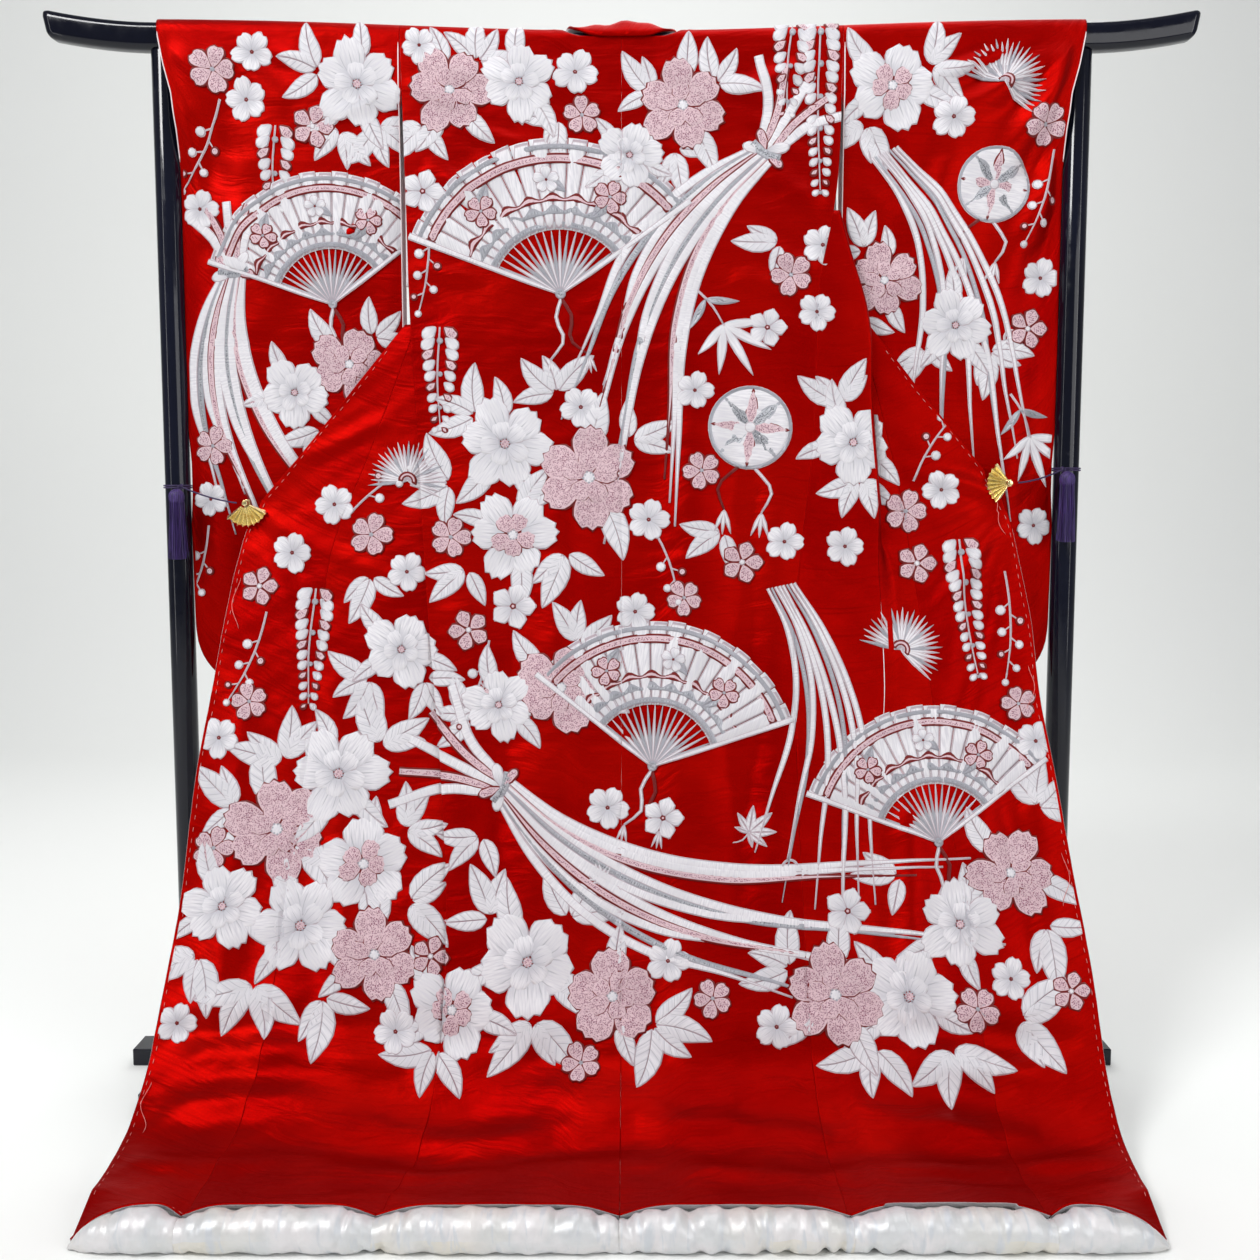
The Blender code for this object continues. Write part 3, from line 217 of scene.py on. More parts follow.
def smooth(keys, values, at):
    keys = np.asarray(keys, float)
    values = np.asarray(values, float)
    at = np.clip(at, keys[0], keys[-1])
    slopes = np.gradient(values, keys)
    i = np.clip(np.searchsorted(keys, at) - 1, 0, len(keys) - 2)
    span = keys[i + 1] - keys[i]
    t = (at - keys[i]) / span
    start = (2 * t**3 - 3 * t**2 + 1) * values[i] + (t**3 - 2 * t**2 + t) * span * slopes[i]
    return start + (3 * t**2 - 2 * t**3) * values[i + 1] + (t**3 - t**2) * span * slopes[i + 1]


def curved(table, at):
    keys, values = np.array(table).T
    return smooth(keys, values, at)


def straight(table, at):
    keys, values = np.array(table).T
    return np.interp(at, keys, values)


def ease(value):
    value = np.clip(value, 0.0, 1.0)
    return value * value * (3 - 2 * value)


def noise(x, y, seed=0.0):
    """Soft uneven waves of about one unit, between -1 and 1."""
    total = np.sin(1.7 * x + 2.3 * y + seed) + np.sin(-2.9 * x + 1.1 * y + 2.1 * seed + 1.3)
    total = (total + np.sin(3.7 * x - 4.1 * y + 3.3 * seed + 4.2) * 0.7
             + np.sin(5.9 * y + 5.3 * x + seed) * 0.5)
    return total / 3.2


def crease_lift(creases, x, down):
    lift = np.zeros(np.broadcast(x, down).shape)
    for x0, d0, x1, d1, half, height, bow in creases:
        length = math.hypot(x1 - x0, d1 - d0)
        ax, ad = (x1 - x0) / length, (d1 - d0) / length
        along = ((x - x0) * ax + (down - d0) * ad) / length
        across = (x - x0) * -ad + (down - d0) * ax
        inside = np.clip(along, 0.0, 1.0)
        across = across - bow * 4 * inside * (1 - inside)
        taper = np.sin(np.pi * inside) ** 0.7 * (0.8 + 0.2 * np.sin(7 * along + 9 * x0))
        over = (across / half) ** 2
        lift += 2.0 * height * taper * (np.exp(-over) - 0.3 * np.exp(-((np.abs(across) / half - 2.1) ** 2)))
    return lift


def sag_at(x, height):
    """How far the bent bar lowers a point of it, or of the cloth on it."""
    full, none = SAG_HEIGHTS
    across = np.cos(math.pi / 2 * np.minimum(np.abs(x) / SAG_HALF_X, 1.0)) ** 2
    return BAR_SAG * across * ease((height - none) / (full - none))


def placed(x, forward, height):
    """Points given by their distance in front of the posts' plane, on the bent bar."""
    x, forward, height = np.broadcast_arrays(x, forward, height)
    return np.stack([x, POST_Y - forward, height - sag_at(x, height)], axis=-1)


# ------------------------------------------------------------------ the spread cloth, as a surface


def seams_at_hem(side):
    return (0.0, *(float(curved(table[side], HEM_DOWN)) for table in (SIDE_SEAM, OVERLAP_SEAM, FRONT_EDGE)))


def roll_radius(side, x):
    seams = seams_at_hem(side)
    size = np.zeros(np.shape(x))
    for i in range(3):
        kind = "outer tip" if i == 2 else "between seams"
        share = (x - seams[i]) / (seams[i + 1] - seams[i])
        here = smooth(ROLL_STATIONS, ROLL_SIZES[kind], share)
        size = np.where((x >= seams[i]) if i else np.full(np.shape(x), True), here, size)
    return ROLL_RADIUS * size


def hanging(side, x, down, share, behind):
    """Forward and height of the outer surface, before its creases; share is 0 at the seam, 1 at the edge."""
    signed = -x if side == "left" else x
    middle = smooth(DROP["down"], DROP["forward"], down)
    edge = smooth(DROP["down"], DROP["edge"], down)
    height = smooth(DROP["down"], DROP["height"], down)
    share = np.clip(share, 0.0, 1.0)
    forward = (middle - behind) * (1 - share) + np.minimum(edge, middle - behind) * share
    wave = sum(size * np.sin(turn * signed + start) for turn, start, size in WAVES)
    height = height + straight(FLOOR_WAVE, down) * wave
    over_bar = down < 0
    forward = np.where(over_bar, np.interp(down, BAR_WRAP[:, 0], BAR_WRAP[:, 1]), forward)
    height = np.where(over_bar, np.interp(down, BAR_WRAP[:, 0], BAR_WRAP[:, 2]), height)
    radius = roll_radius(side, x)
    reach = radius + WALL + ROLL_CLEARANCE
    angle = np.radians(np.interp(down, (1.74, HEM_DOWN), (24.0, 50.0)))
    over_forward = ROLL_FORWARD - reach * np.cos(angle)
    over_height = radius * ROLL_SINK + reach * np.sin(angle)
    onto = ease((down - 1.71) / 0.03)
    forward = forward * (1 - onto) + over_forward * onto
    height = height * (1 - onto) + over_height * onto
    return forward, height


def share_of(side, x, down):
    inner = curved(SIDE_SEAM[side], down)
    outer = curved(FRONT_EDGE[side], np.maximum(down, FRONT_EDGE[side][0][0]))
    return (x - inner) / np.maximum(outer - inner, 0.01)


def pleat_fold(down):
    return ease((straight(PLEAT_STRENGTH, down) - PLEAT_OPEN) / (1 - PLEAT_OPEN))


def pleat_depth(down):
    return PLEAT_DEPTH * ease(straight(PLEAT_STRENGTH, down) / PLEAT_OPEN)


def behind_of(side, down):
    return straight(LEFT_STEP, down) if side == "left" else pleat_depth(down)


def front_edge(side, down):
    return np.where(down < 0.7, straight(FRONT_EDGE[side], down), curved(FRONT_EDGE[side], down))


def spread(side, x, down, share, behind, lift=0.0):
    """Points of the spread cloth with creases, lifted along the cloth's own direction."""
    x, down, share, behind, lift = np.broadcast_arrays(x, down, share, behind, lift)
    forward, height = hanging(side, x, down, share, behind)
    step = 0.004
    ahead_f, ahead_h = hanging(side, x, down + step, share, behind)
    back_f, back_h = hanging(side, x, down - step, share, behind)
    run_f, run_h = ahead_f - back_f, ahead_h - back_h
    size = np.maximum(np.hypot(run_f, run_h), 1e-6)
    out_f, out_h = -run_h / size, run_f / size
    signed = -x if side == "left" else x
    fade = ease((down + 0.01) / 0.05) * ease((1.752 - down) / 0.035)
    soft = 0.0011 * noise(signed * 22, down * 30, 1.0) + 0.0026 * noise(signed * 7, down * 5,
        3.0) * ease(down / 0.3)
    creased = crease_lift(CREASES, signed, down) + soft
    settled = np.maximum(creased, -0.0035 - 0.0075 * ease((down - 1.0) / 0.3)) * fade + lift
    return placed(signed, forward + out_f * settled, height + out_h * settled)


def drop_rows(first, count):
    """Distances down for the rows of a panel, closer where the cloth turns onto the floor."""
    return np.concatenate([np.linspace(first, 1.38, count), np.linspace(1.38, HEM_DOWN, 72)[1:]])


def back_at(side, x, down, lift=0.0):
    return spread(side, x, down, 0.0, 0.0, lift)


def left_front_at(x, down, lift=0.0):
    return spread("left", x, down, share_of("left", x, down), behind_of("left", down), lift)


def right_front_at(x, down, lift=0.0):
    """The visible layer: level with the back up to the fold, and behind it past the fold."""
    fold = curved(PLEAT_EDGE, down)
    folded = pleat_fold(down)
    past = ease((x - fold + PLEAT_OPEN_HALF * (1 - folded)) / (0.004 + 2 * PLEAT_OPEN_HALF * (1 - folded)))
    past = np.where(down > PLEAT_END, 1.0, past)
    share = np.where(down > 0.4, share_of("right", x, down), 0.0) * (past * folded + 1 - folded)
    return spread("right", x, down, share, pleat_depth(down) * past, lift)


def overlap_at(side, x, down, lift=0.0):
    return spread(side, x, down, share_of(side, x, down), behind_of(side, down), lift)


# ------------------------------------------------------------------ the sleeves, as a surface


def sleeve_low(share):
    width = SLEEVE_EDGE[0][1] - SLEEVE_INNER_X
    into = share * width - (width - SLEEVE_CORNER)
    rise = SLEEVE_CORNER - np.sqrt(np.maximum(SLEEVE_CORNER**2 - np.maximum(into, 0.0) ** 2, 0.0))
    return SLEEVE_BOTTOM + rise


def sleeve_half_depth(share, height):
    half = straight(SLEEVE_HALF, height)
    opened = ease((height - CUFF_BOTTOM) / (CUFF_TOP - CUFF_BOTTOM))
    end = SLEEVE_CLOSED_HALF * (1 - opened) + CUFF_HALF * opened
    return half + (end - half) * ease((share - CUFF_START) / (1 - CUFF_START))


def sleeve_inner(side, height):
    """The sleeve's inner edge. It is sewn to the back near the shoulder and free below."""
    seam = curved(SIDE_SEAM[side], np.maximum(TOP_Z - height, 0.0)) + SEAM_GAP
    sewn = ease((height - SEWN_FROM) / SEWN_OVER)
    return SLEEVE_INNER_X + (seam - SLEEVE_INNER_X) * sewn


def sleeve_at(side, x, down, lift=0.0, rear=False):
    """A face of a sleeve, by half width and distance down. Above the shoulder it turns over the bar."""
    x, down, lift = np.broadcast_arrays(x, down, lift)
    over = np.clip(-down / OVER_BAR, 0.0, 1.0) * math.pi / 2
    height = TOP_Z - np.maximum(down, 0.0) + BAR_CROWN * np.sin(over) ** 0.8
    inner = sleeve_inner(side, height)
    share = (x - inner) / (straight(SLEEVE_EDGE, height) - inner)
    closing = np.clip((height - sleeve_low(share)) / 0.012, 0.0, 1.0)
    half = sleeve_half_depth(share, height) * np.sqrt(1 - (1 - closing) ** 2)
    calm = (ease((share - 0.02) / 0.1) * ease((0.98 - share) / 0.06) * ease(down / 0.04)
            * ease((closing - 0.9) / 0.1))
    soft = 0.0012 * noise(x * 20, down * 26, 4.0) + 0.0026 * noise(x * 8, down * 6, 5.0)
    deepest = -0.003 - 0.004 * ease((height - 1.0) / 0.4)
    creased = np.maximum(crease_lift(SLEEVE_CREASES[side], x, down) + soft, deepest) * calm
    if not rear:
        beside = smooth(DROP["down"], DROP["forward"], np.maximum(down, 0.0)) - half
        sewn = ease((height - SEWN_FROM) / SEWN_OVER) * ease((0.3 - share) / 0.3)
        half = half + np.maximum(beside, 0.0) * sewn
    forward = (half + lift) * np.cos(over) ** 0.8 + creased
    signed = -x if side == "left" else x
    return placed(signed, -forward if rear else forward, height + lift * np.sin(over))


def shoulder_at(side, x, down, lift=0.0):
    """The upper front behind the bar. It faces the rear."""
    x, down, lift = np.broadcast_arrays(x, down, lift)
    height = TOP_Z - down
    forward = straight(REAR_FORWARD, height) + 0.0019 * ease((height - 1.53) / 0.03)
    creased = 0.001 * noise(x * 18, down * 20, 7.0) * ease(down / 0.05)
    signed = -x if side == "left" else x
    return placed(signed, forward - creased - lift, height)


def collar_line(side, height):
    low_x = straight(FRONT_EDGE[side], 0.419) - 0.01
    share = (NECK_POINT[1] - height) / (NECK_POINT[1] - COLLAR_GAP_HEIGHT)
    return NECK_POINT[0] + (low_x - NECK_POINT[0]) * np.clip(share, 0.0, 1.0)


# ------------------------------------------------------------------ materials

# Three silk tones set wide apart. The slow clouds between the middle and light tones are random tone and also
# painted satin sheen; the deep tone marks the weft streaks.
SILK_RED = (0.285, 0.0005, 0.0004)
SILK_RED_LIGHT = (0.37, 0.0018, 0.0006)
SILK_RED_DEEP = (0.18, 0.0003, 0.0003)


def new_group(name, inputs, outputs):
    group = bpy.data.node_groups.new(name, "ShaderNodeTree")
    for label, kind, value in inputs:
        socket = group.interface.new_socket(name=label, in_out="INPUT", socket_type=kind)
        if value is not None:
            socket.default_value = value
    for label, kind in outputs:
        group.interface.new_socket(name=label, in_out="OUTPUT", socket_type=kind)
    return group, group.nodes.new("NodeGroupInput"), group.nodes.new("NodeGroupOutput")


def put(tree, kind, inputs=None, **settings):
    """A node with its settings, and its inputs given as values or as other nodes' outputs."""
    made = tree.nodes.new(kind)
    for key, value in settings.items():
        setattr(made, key, value)
    for key, value in (inputs or {}).items():
        if isinstance(value, bpy.types.NodeSocket):
            tree.links.new(value, made.inputs[key])
        else:
            made.inputs[key].default_value = value
    return made


def ramp_between(tree, factor, low, high):
    return put(tree, "ShaderNodeMapRange", {"Value": factor, "From Min": low, "From Max": high},
               interpolation_type="SMOOTHSTEP").outputs["Result"]


def mixed(tree, factor, first, second, blend="MIX"):
    node = put(tree, "ShaderNodeMix", data_type="RGBA", blend_type=blend)
    for key, value in ((0, factor), (6, first), (7, second)):
        if isinstance(value, bpy.types.NodeSocket):
            tree.links.new(value, node.inputs[key])
        else:
            node.inputs[key].default_value = (*value, 1.0) if key and len(value) == 3 else value
    return node.outputs[2]


def weave_group():
    """Woven cloth: a height of crossing threads and slow streaks along the weft."""
    group, given, out = new_group(
        "Woven cloth",
        (("Vector", "NodeSocketVector", None), ("Threads per metre", "NodeSocketFloat", 900.0)),
        (("Height", "NodeSocketFloat"), ("Streaks", "NodeSocketFloat"), ("Clouds", "NodeSocketFloat")),
    )
    place = given.outputs["Vector"]
    scaled = put(group, "ShaderNodeVectorMath", {0: place, "Scale": given.outputs["Threads per metre"]},
                 operation="SCALE")
    weft = put(group, "ShaderNodeTexWave",
               {"Vector": scaled.outputs[0], "Scale": 0.35, "Distortion": 1.2, "Detail": 1.0},
               bands_direction="Z")
    warp = put(group, "ShaderNodeTexWave",
               {"Vector": scaled.outputs[0], "Scale": 0.22, "Distortion": 1.0, "Detail": 1.0},
               bands_direction="X")
    crossed = put(group, "ShaderNodeMath", {0: weft.outputs["Fac"], 1: warp.outputs["Fac"]}, operation="ADD")
    group.links.new(crossed.outputs[0], out.inputs["Height"])
    long_way = put(group, "ShaderNodeMapping", {"Vector": place, "Scale": (5.0, 5.0, 260.0)})
    streaks = put(group, "ShaderNodeTexNoise", {"Vector": long_way.outputs[0], "Scale": 1.0, "Detail": 3.0})
    group.links.new(streaks.outputs["Fac"], out.inputs["Streaks"])
    clouds = put(group, "ShaderNodeTexNoise",
                 {"Vector": place, "Scale": 3.2, "Detail": 3.0, "Roughness": 0.55})
    group.links.new(clouds.outputs["Fac"], out.inputs["Clouds"])
    return group


def stitch_group():
    """Satin stitch: fine threads along the stitch, and soft bundles of them."""
    group, given, out = new_group(
        "Satin stitch threads",
        (("Vector", "NodeSocketVector", None), ("Thread", "NodeSocketFloat", 0.0007)),
        (("Height", "NodeSocketFloat"), ("Bundles", "NodeSocketFloat")),
    )
    split = put(group, "ShaderNodeSeparateXYZ", {0: given.outputs["Vector"]})
    turns = put(group, "ShaderNodeMath", {0: split.outputs["X"], 1: given.outputs["Thread"]},
                operation="DIVIDE")
    wavy = put(group, "ShaderNodeMath", {0: turns.outputs[0], 1: math.tau}, operation="MULTIPLY")
    ridges = put(group, "ShaderNodeMath", {0: wavy.outputs[0]}, operation="SINE")
    group.links.new(ridges.outputs[0], out.inputs["Height"])
    long_way = put(group, "ShaderNodeMapping",
                   {"Vector": given.outputs["Vector"], "Scale": (420.0, 40.0, 1.0)})
    bundles = put(group, "ShaderNodeTexNoise", {"Vector": long_way.outputs[0], "Scale": 1.0, "Detail": 2.0})
    group.links.new(bundles.outputs["Fac"], out.inputs["Bundles"])
    return group


WEAVE = weave_group()
STITCHES = stitch_group()


def principled(name, **values):
    made = bpy.data.materials.new(name)
    made.use_nodes = True
    shader = made.node_tree.nodes["Principled BSDF"]
    for key, value in values.items():
        shader.inputs[key.replace("_", " ")].default_value = value
    return made, made.node_tree, shader


def bump_into(tree, shader, height, strength, distance):
    bump = put(tree, "ShaderNodeBump", {"Height": height, "Strength": strength, "Distance": distance})
    tree.links.new(bump.outputs["Normal"], shader.inputs["Normal"])


def woven(name, light, middle, deep, threads, roughness, sheen, tint, shine=0.4, satin=0.0):
    """Cloth in three close tones with its weave. All of it follows the piece's own UV map, in metres."""
    made, tree, shader = principled(name, Sheen_Weight=sheen, Sheen_Roughness=0.35, Sheen_Tint=(*tint, 1.0),
                                    Specular_IOR_Level=shine, Specular_Tint=(*tint, 1.0), Metallic=satin)
    uv = put(tree, "ShaderNodeTexCoord").outputs["UV"]
    swapped = put(tree, "ShaderNodeMapping", {"Vector": uv, "Rotation": (math.pi / 2, 0, 0)})
    weave = put(tree, "ShaderNodeGroup", node_tree=WEAVE)
    tree.links.new(swapped.outputs[0], weave.inputs["Vector"])
    weave.inputs["Threads per metre"].default_value = threads
    # The slow clouds lift the middle tone toward the light tone: random tone, and on the red silk also
    # painted satin sheen.
    slow = ramp_between(tree, weave.outputs["Clouds"], 0.38, 0.64)
    body = mixed(tree, slow, middle, light)
    streaked = mixed(tree, ramp_between(tree, weave.outputs["Streaks"], 0.5, 0.95), body, deep)
    tree.links.new(streaked, shader.inputs["Base Color"])
    rough = put(tree, "ShaderNodeMapRange",
                {"Value": weave.outputs["Streaks"], "From Min": 0.3, "From Max": 0.7,
                                             "To Min": roughness - 0.05, "To Max": roughness + 0.08})
    tree.links.new(rough.outputs["Result"], shader.inputs["Roughness"])
    across = put(tree, "ShaderNodeMapping", {"Vector": uv, "Scale": (9.0, 30.0, 1.0)})
    crumples = put(tree, "ShaderNodeTexNoise",
                   {"Vector": across.outputs[0], "Scale": 1.0, "Detail": 3.0, "Roughness": 0.55,
                                                "Distortion": 0.8})
    crumpled = put(tree, "ShaderNodeBump",
                   {"Height": crumples.outputs["Fac"], "Strength": 0.55, "Distance": 0.005})
    fine = put(tree, "ShaderNodeBump", {"Height": weave.outputs["Height"], "Strength": 0.3,
                                        "Distance": 0.0002,
                                        "Normal": crumpled.outputs["Normal"]})
    tree.links.new(fine.outputs["Normal"], shader.inputs["Normal"])
    return made


def embroidered(name, light, shaded, edge, stipple=None, metallic=0.0, veins=None):
    """Raised satin stitch. The attribute rim runs from 0 in the middle of a shape to 1 at its outline."""
    made, tree, shader = principled(name, Sheen_Weight=0.1, Sheen_Roughness=0.4, Metallic=metallic,
                                    Specular_IOR_Level=0.4)
    uv = put(tree, "ShaderNodeUVMap", uv_map="Stitch").outputs["UV"]
    stitches = put(tree, "ShaderNodeGroup", node_tree=STITCHES)
    tree.links.new(uv, stitches.inputs["Vector"])
    rim = put(tree, "ShaderNodeAttribute", attribute_name="rim").outputs["Fac"]
    place = put(tree, "ShaderNodeTexCoord").outputs["Object"]
    patches = put(tree, "ShaderNodeTexNoise", {"Vector": place, "Scale": 16.0, "Detail": 1.0}).outputs["Fac"]
    uneven_light = mixed(tree, ramp_between(tree, patches, 0.4, 0.66), light,
                         tuple(0.86 * part for part in light))
    # Painted sheen: the bundles' mix toward the shaded tone makes stitch bundles lighter and darker as if
    # they caught the light differently.
    tone = mixed(tree, ramp_between(tree, stitches.outputs["Bundles"], 0.34, 0.72), uneven_light, shaded)
    if veins:
        shape = put(tree, "ShaderNodeUVMap", uv_map="Shape").outputs["UV"]
        split = put(tree, "ShaderNodeSeparateXYZ", {0: shape})
        root = ramp_between(tree, split.outputs["X"], 0.62, 0.02)
        tone = mixed(tree, root, tone, veins)
        turns = put(tree, "ShaderNodeMath", {0: split.outputs["Y"], 1: 5.2}, operation="MULTIPLY")
        ridged = put(tree, "ShaderNodeMath",
                     {0: put(tree, "ShaderNodeMath", {0: turns.outputs[0]}, operation="SINE").outputs[0]},
                     operation="ABSOLUTE")
        lines = put(tree, "ShaderNodeMath", {0: ramp_between(tree, ridged.outputs[0], 0.22, 0.06),
                                             1: ramp_between(tree, split.outputs["X"], 0.72, 0.4)},
                                             operation="MULTIPLY")
        tone = mixed(tree, lines.outputs[0], tone, tuple(0.84 * part for part in veins))
    if stipple:
        cells = put(tree, "ShaderNodeTexVoronoi", {"Vector": uv, "Scale": 560.0, "Randomness": 0.8})
        dots = ramp_between(tree, cells.outputs["Distance"], 0.5, 0.34)
        inside = ramp_between(tree, rim, 0.34, 0.26)
        both = put(tree, "ShaderNodeMath", {0: dots, 1: inside}, operation="MULTIPLY")
        tone = mixed(tree, both.outputs[0], tone, stipple)
    if stipple:
        # Stippled shapes take the edge colour on their outer rim. For the pink stitch this is the red ground
        # between petals, painted in the deep silk tone as painted shade.
        tone = mixed(tree, ramp_between(tree, rim, 0.52, 0.58), tone, edge)
    else:
        fine_line = put(tree, "ShaderNodeMath",
                        {0: ramp_between(tree, rim, 0.68, 0.8), 1: ramp_between(tree, rim, 0.98, 0.9)},
                        operation="MULTIPLY")
        tone = mixed(tree, fine_line.outputs[0], tone, edge)
    tree.links.new(tone, shader.inputs["Base Color"])
    rough = put(tree, "ShaderNodeMapRange",
                {"Value": stitches.outputs["Bundles"], "From Min": 0.3, "From Max": 0.7,
                                             "To Min": 0.34, "To Max": 0.56})
    tree.links.new(rough.outputs["Result"], shader.inputs["Roughness"])
    bump_into(tree, shader, stitches.outputs["Height"], 0.6, 0.00032)
    return made


def make_materials():
    made = {}
    made["red_silk"] = woven("Red silk satin", SILK_RED_LIGHT, SILK_RED, SILK_RED_DEEP, 900.0, 0.38, 0.0,
                             (1.0, 0.02, 0.01), 0.22, 0.58)
    made["lining"] = woven("White lining silk", (0.82, 0.79, 0.8), (0.76, 0.72, 0.74), (0.66, 0.62, 0.65),
                           800.0, 0.45, 0.15,
                           (1.0, 0.95, 0.97))
    made["piping"] = woven("Piping silk", (0.86, 0.76, 0.76), (0.8, 0.68, 0.69), (0.7, 0.55, 0.57), 700.0,
                           0.5, 0.15,
                           (1.0, 0.9, 0.9))
    made["hem_satin"] = hem_satin()
    made["white_stitch"] = embroidered("White satin stitch", (0.91, 0.89, 0.92), (0.72, 0.7, 0.75),
                                       (0.52, 0.42, 0.47),
                                       veins=(0.6, 0.59, 0.64))
    # The pink stitch's edge colour is the deep silk red: the ground between petals with painted shade.
    made["pink_stitch"] = embroidered("Pink stippled stitch", (0.8, 0.6, 0.64), (0.72, 0.51, 0.56),
                                      SILK_RED_DEEP,
                                      stipple=(0.25, 0.06, 0.12))
    made["silver_stitch"] = embroidered("Silver thread", (0.62, 0.63, 0.67), (0.28, 0.29, 0.33),
                                        (0.45, 0.45, 0.5),
                                        stipple=(0.1, 0.1, 0.12), metallic=0.6)
    made["dark_stitch"] = embroidered("Grey outline thread", (0.28, 0.26, 0.31), (0.18, 0.17, 0.21),
                                      (0.2, 0.2, 0.24))
    made["basting"] = basting_thread()
    made["lacquer"] = lacquer()
    made["gold"] = gold()
    made["purple"] = cord_silk("Purple silk cord", (0.01, 0.003, 0.034), (0.03, 0.009, 0.085), 1.0)
    made["tassel"] = cord_silk("Purple silk floss", (0.014, 0.005, 0.05), (0.06, 0.024, 0.18), 0.04)
    return made


def basting_thread():
    made, tree, shader = principled("Pink basting thread", Roughness=0.6, Specular_IOR_Level=0.3)
    place = put(tree, "ShaderNodeTexCoord").outputs["Object"]
    tones = put(tree, "ShaderNodeTexNoise", {"Vector": place, "Scale": 220.0, "Detail": 2.0})
    body = mixed(tree, ramp_between(tree, tones.outputs["Fac"], 0.35, 0.65), (0.8, 0.3, 0.28),
                 (0.62, 0.16, 0.15))
    tree.links.new(body, shader.inputs["Base Color"])
    bump_into(tree, shader, tones.outputs["Fac"], 0.3, 0.0002)
    return made


def hem_satin():
    """Pearly satin in ivory patches, with fine wrinkles drawn round the padded roll and painted cool grey
    shade in their troughs.
    """
    made, tree, shader = principled("Padded hem satin", Sheen_Weight=0.2, Sheen_Roughness=0.3, Metallic=0.2,
                                    Sheen_Tint=(0.95, 0.93, 1.0, 1.0), Coat_Weight=0.1, Coat_Roughness=0.3,
                                    Specular_IOR_Level=0.5)
    coordinates = put(tree, "ShaderNodeTexCoord")
    swapped = put(tree, "ShaderNodeMapping",
                  {"Vector": coordinates.outputs["UV"], "Rotation": (math.pi / 2, 0, 0)})
    weave = put(tree, "ShaderNodeGroup", node_tree=WEAVE)
    tree.links.new(swapped.outputs[0], weave.inputs["Vector"])
    round_way = put(tree, "ShaderNodeMapping",
                    {"Vector": coordinates.outputs["Object"], "Scale": (84.0, 18.0, 22.0)})
    wrinkles = put(tree, "ShaderNodeTexNoise",
                   {"Vector": round_way.outputs[0], "Detail": 2.5, "Distortion": 0.5,
                                                "Scale": 1.0}).outputs["Fac"]
    tones = put(tree, "ShaderNodeTexNoise",
                {"Vector": coordinates.outputs["Object"], "Scale": 26.0, "Detail": 3.0})
    pearly = mixed(tree, ramp_between(tree, tones.outputs["Fac"], 0.35, 0.65), (0.63, 0.64, 0.65),
                   (0.72, 0.7, 0.71))
    warm = mixed(tree, ramp_between(tree, weave.outputs["Clouds"], 0.44, 0.66), pearly, (0.68, 0.63, 0.52))
    # Painted shade: cool grey where the wrinkles' bump height is low, in their troughs.
    trough_shade = mixed(tree, ramp_between(tree, wrinkles, 0.48, 0.3), warm, (0.58, 0.6, 0.63))
    tree.links.new(trough_shade, shader.inputs["Base Color"])
    rough = put(tree, "ShaderNodeMapRange",
                {"Value": tones.outputs["Fac"], "From Min": 0.3, "From Max": 0.7, "To Min": 0.33,
                                             "To Max": 0.46})
    tree.links.new(rough.outputs["Result"], shader.inputs["Roughness"])
    threads = put(tree, "ShaderNodeMath", {0: weave.outputs["Height"], 1: 0.03, 2: wrinkles},
                  operation="MULTIPLY_ADD")
    bump_into(tree, shader, threads.outputs[0], 0.5, 0.003)
    return made


def lacquer():
    made, tree, shader = principled("Blue-black lacquer", Coat_Weight=0.12, Coat_Roughness=0.03,
                                    Specular_IOR_Level=0.3)
    place = put(tree, "ShaderNodeTexCoord").outputs["Object"]
    dust = put(tree, "ShaderNodeTexNoise", {"Vector": place, "Scale": 60.0, "Detail": 5.0})
    slow = put(tree, "ShaderNodeTexNoise", {"Vector": place, "Scale": 4.0, "Detail": 2.0})
    body = mixed(tree, ramp_between(tree, slow.outputs["Fac"], 0.35, 0.65), (0.0016, 0.0022, 0.0075),
                 (0.0035, 0.0045, 0.013))
    dusty = mixed(tree, ramp_between(tree, dust.outputs["Fac"], 0.64, 0.9), body, (0.016, 0.017, 0.024))
    tree.links.new(dusty, shader.inputs["Base Color"])
    rough = put(tree, "ShaderNodeMapRange",
                {"Value": dust.outputs["Fac"], "From Min": 0.35, "From Max": 0.75, "To Min": 0.07,
                                             "To Max": 0.2})
    tree.links.new(rough.outputs["Result"], shader.inputs["Roughness"])
    peel = put(tree, "ShaderNodeTexNoise", {"Vector": place, "Scale": 180.0, "Detail": 1.0})
    bump_into(tree, shader, peel.outputs["Fac"], 0.12, 0.0002)
    return made


def gold():
    made, tree, shader = principled("Polished gold metal", Metallic=1.0, Specular_IOR_Level=0.5)
    place = put(tree, "ShaderNodeTexCoord").outputs["Object"]
    tarnish = put(tree, "ShaderNodeTexNoise", {"Vector": place, "Scale": 120.0, "Detail": 4.0})
    body = mixed(tree, ramp_between(tree, tarnish.outputs["Fac"], 0.4, 0.75), (0.93, 0.79, 0.42),
                 (0.76, 0.58, 0.24))
    tree.links.new(body, shader.inputs["Base Color"])
    rough = put(tree, "ShaderNodeMapRange",
                {"Value": tarnish.outputs["Fac"], "From Min": 0.3, "From Max": 0.7, "To Min": 0.14,
                                             "To Max": 0.34})
    tree.links.new(rough.outputs["Result"], shader.inputs["Roughness"])
    return made


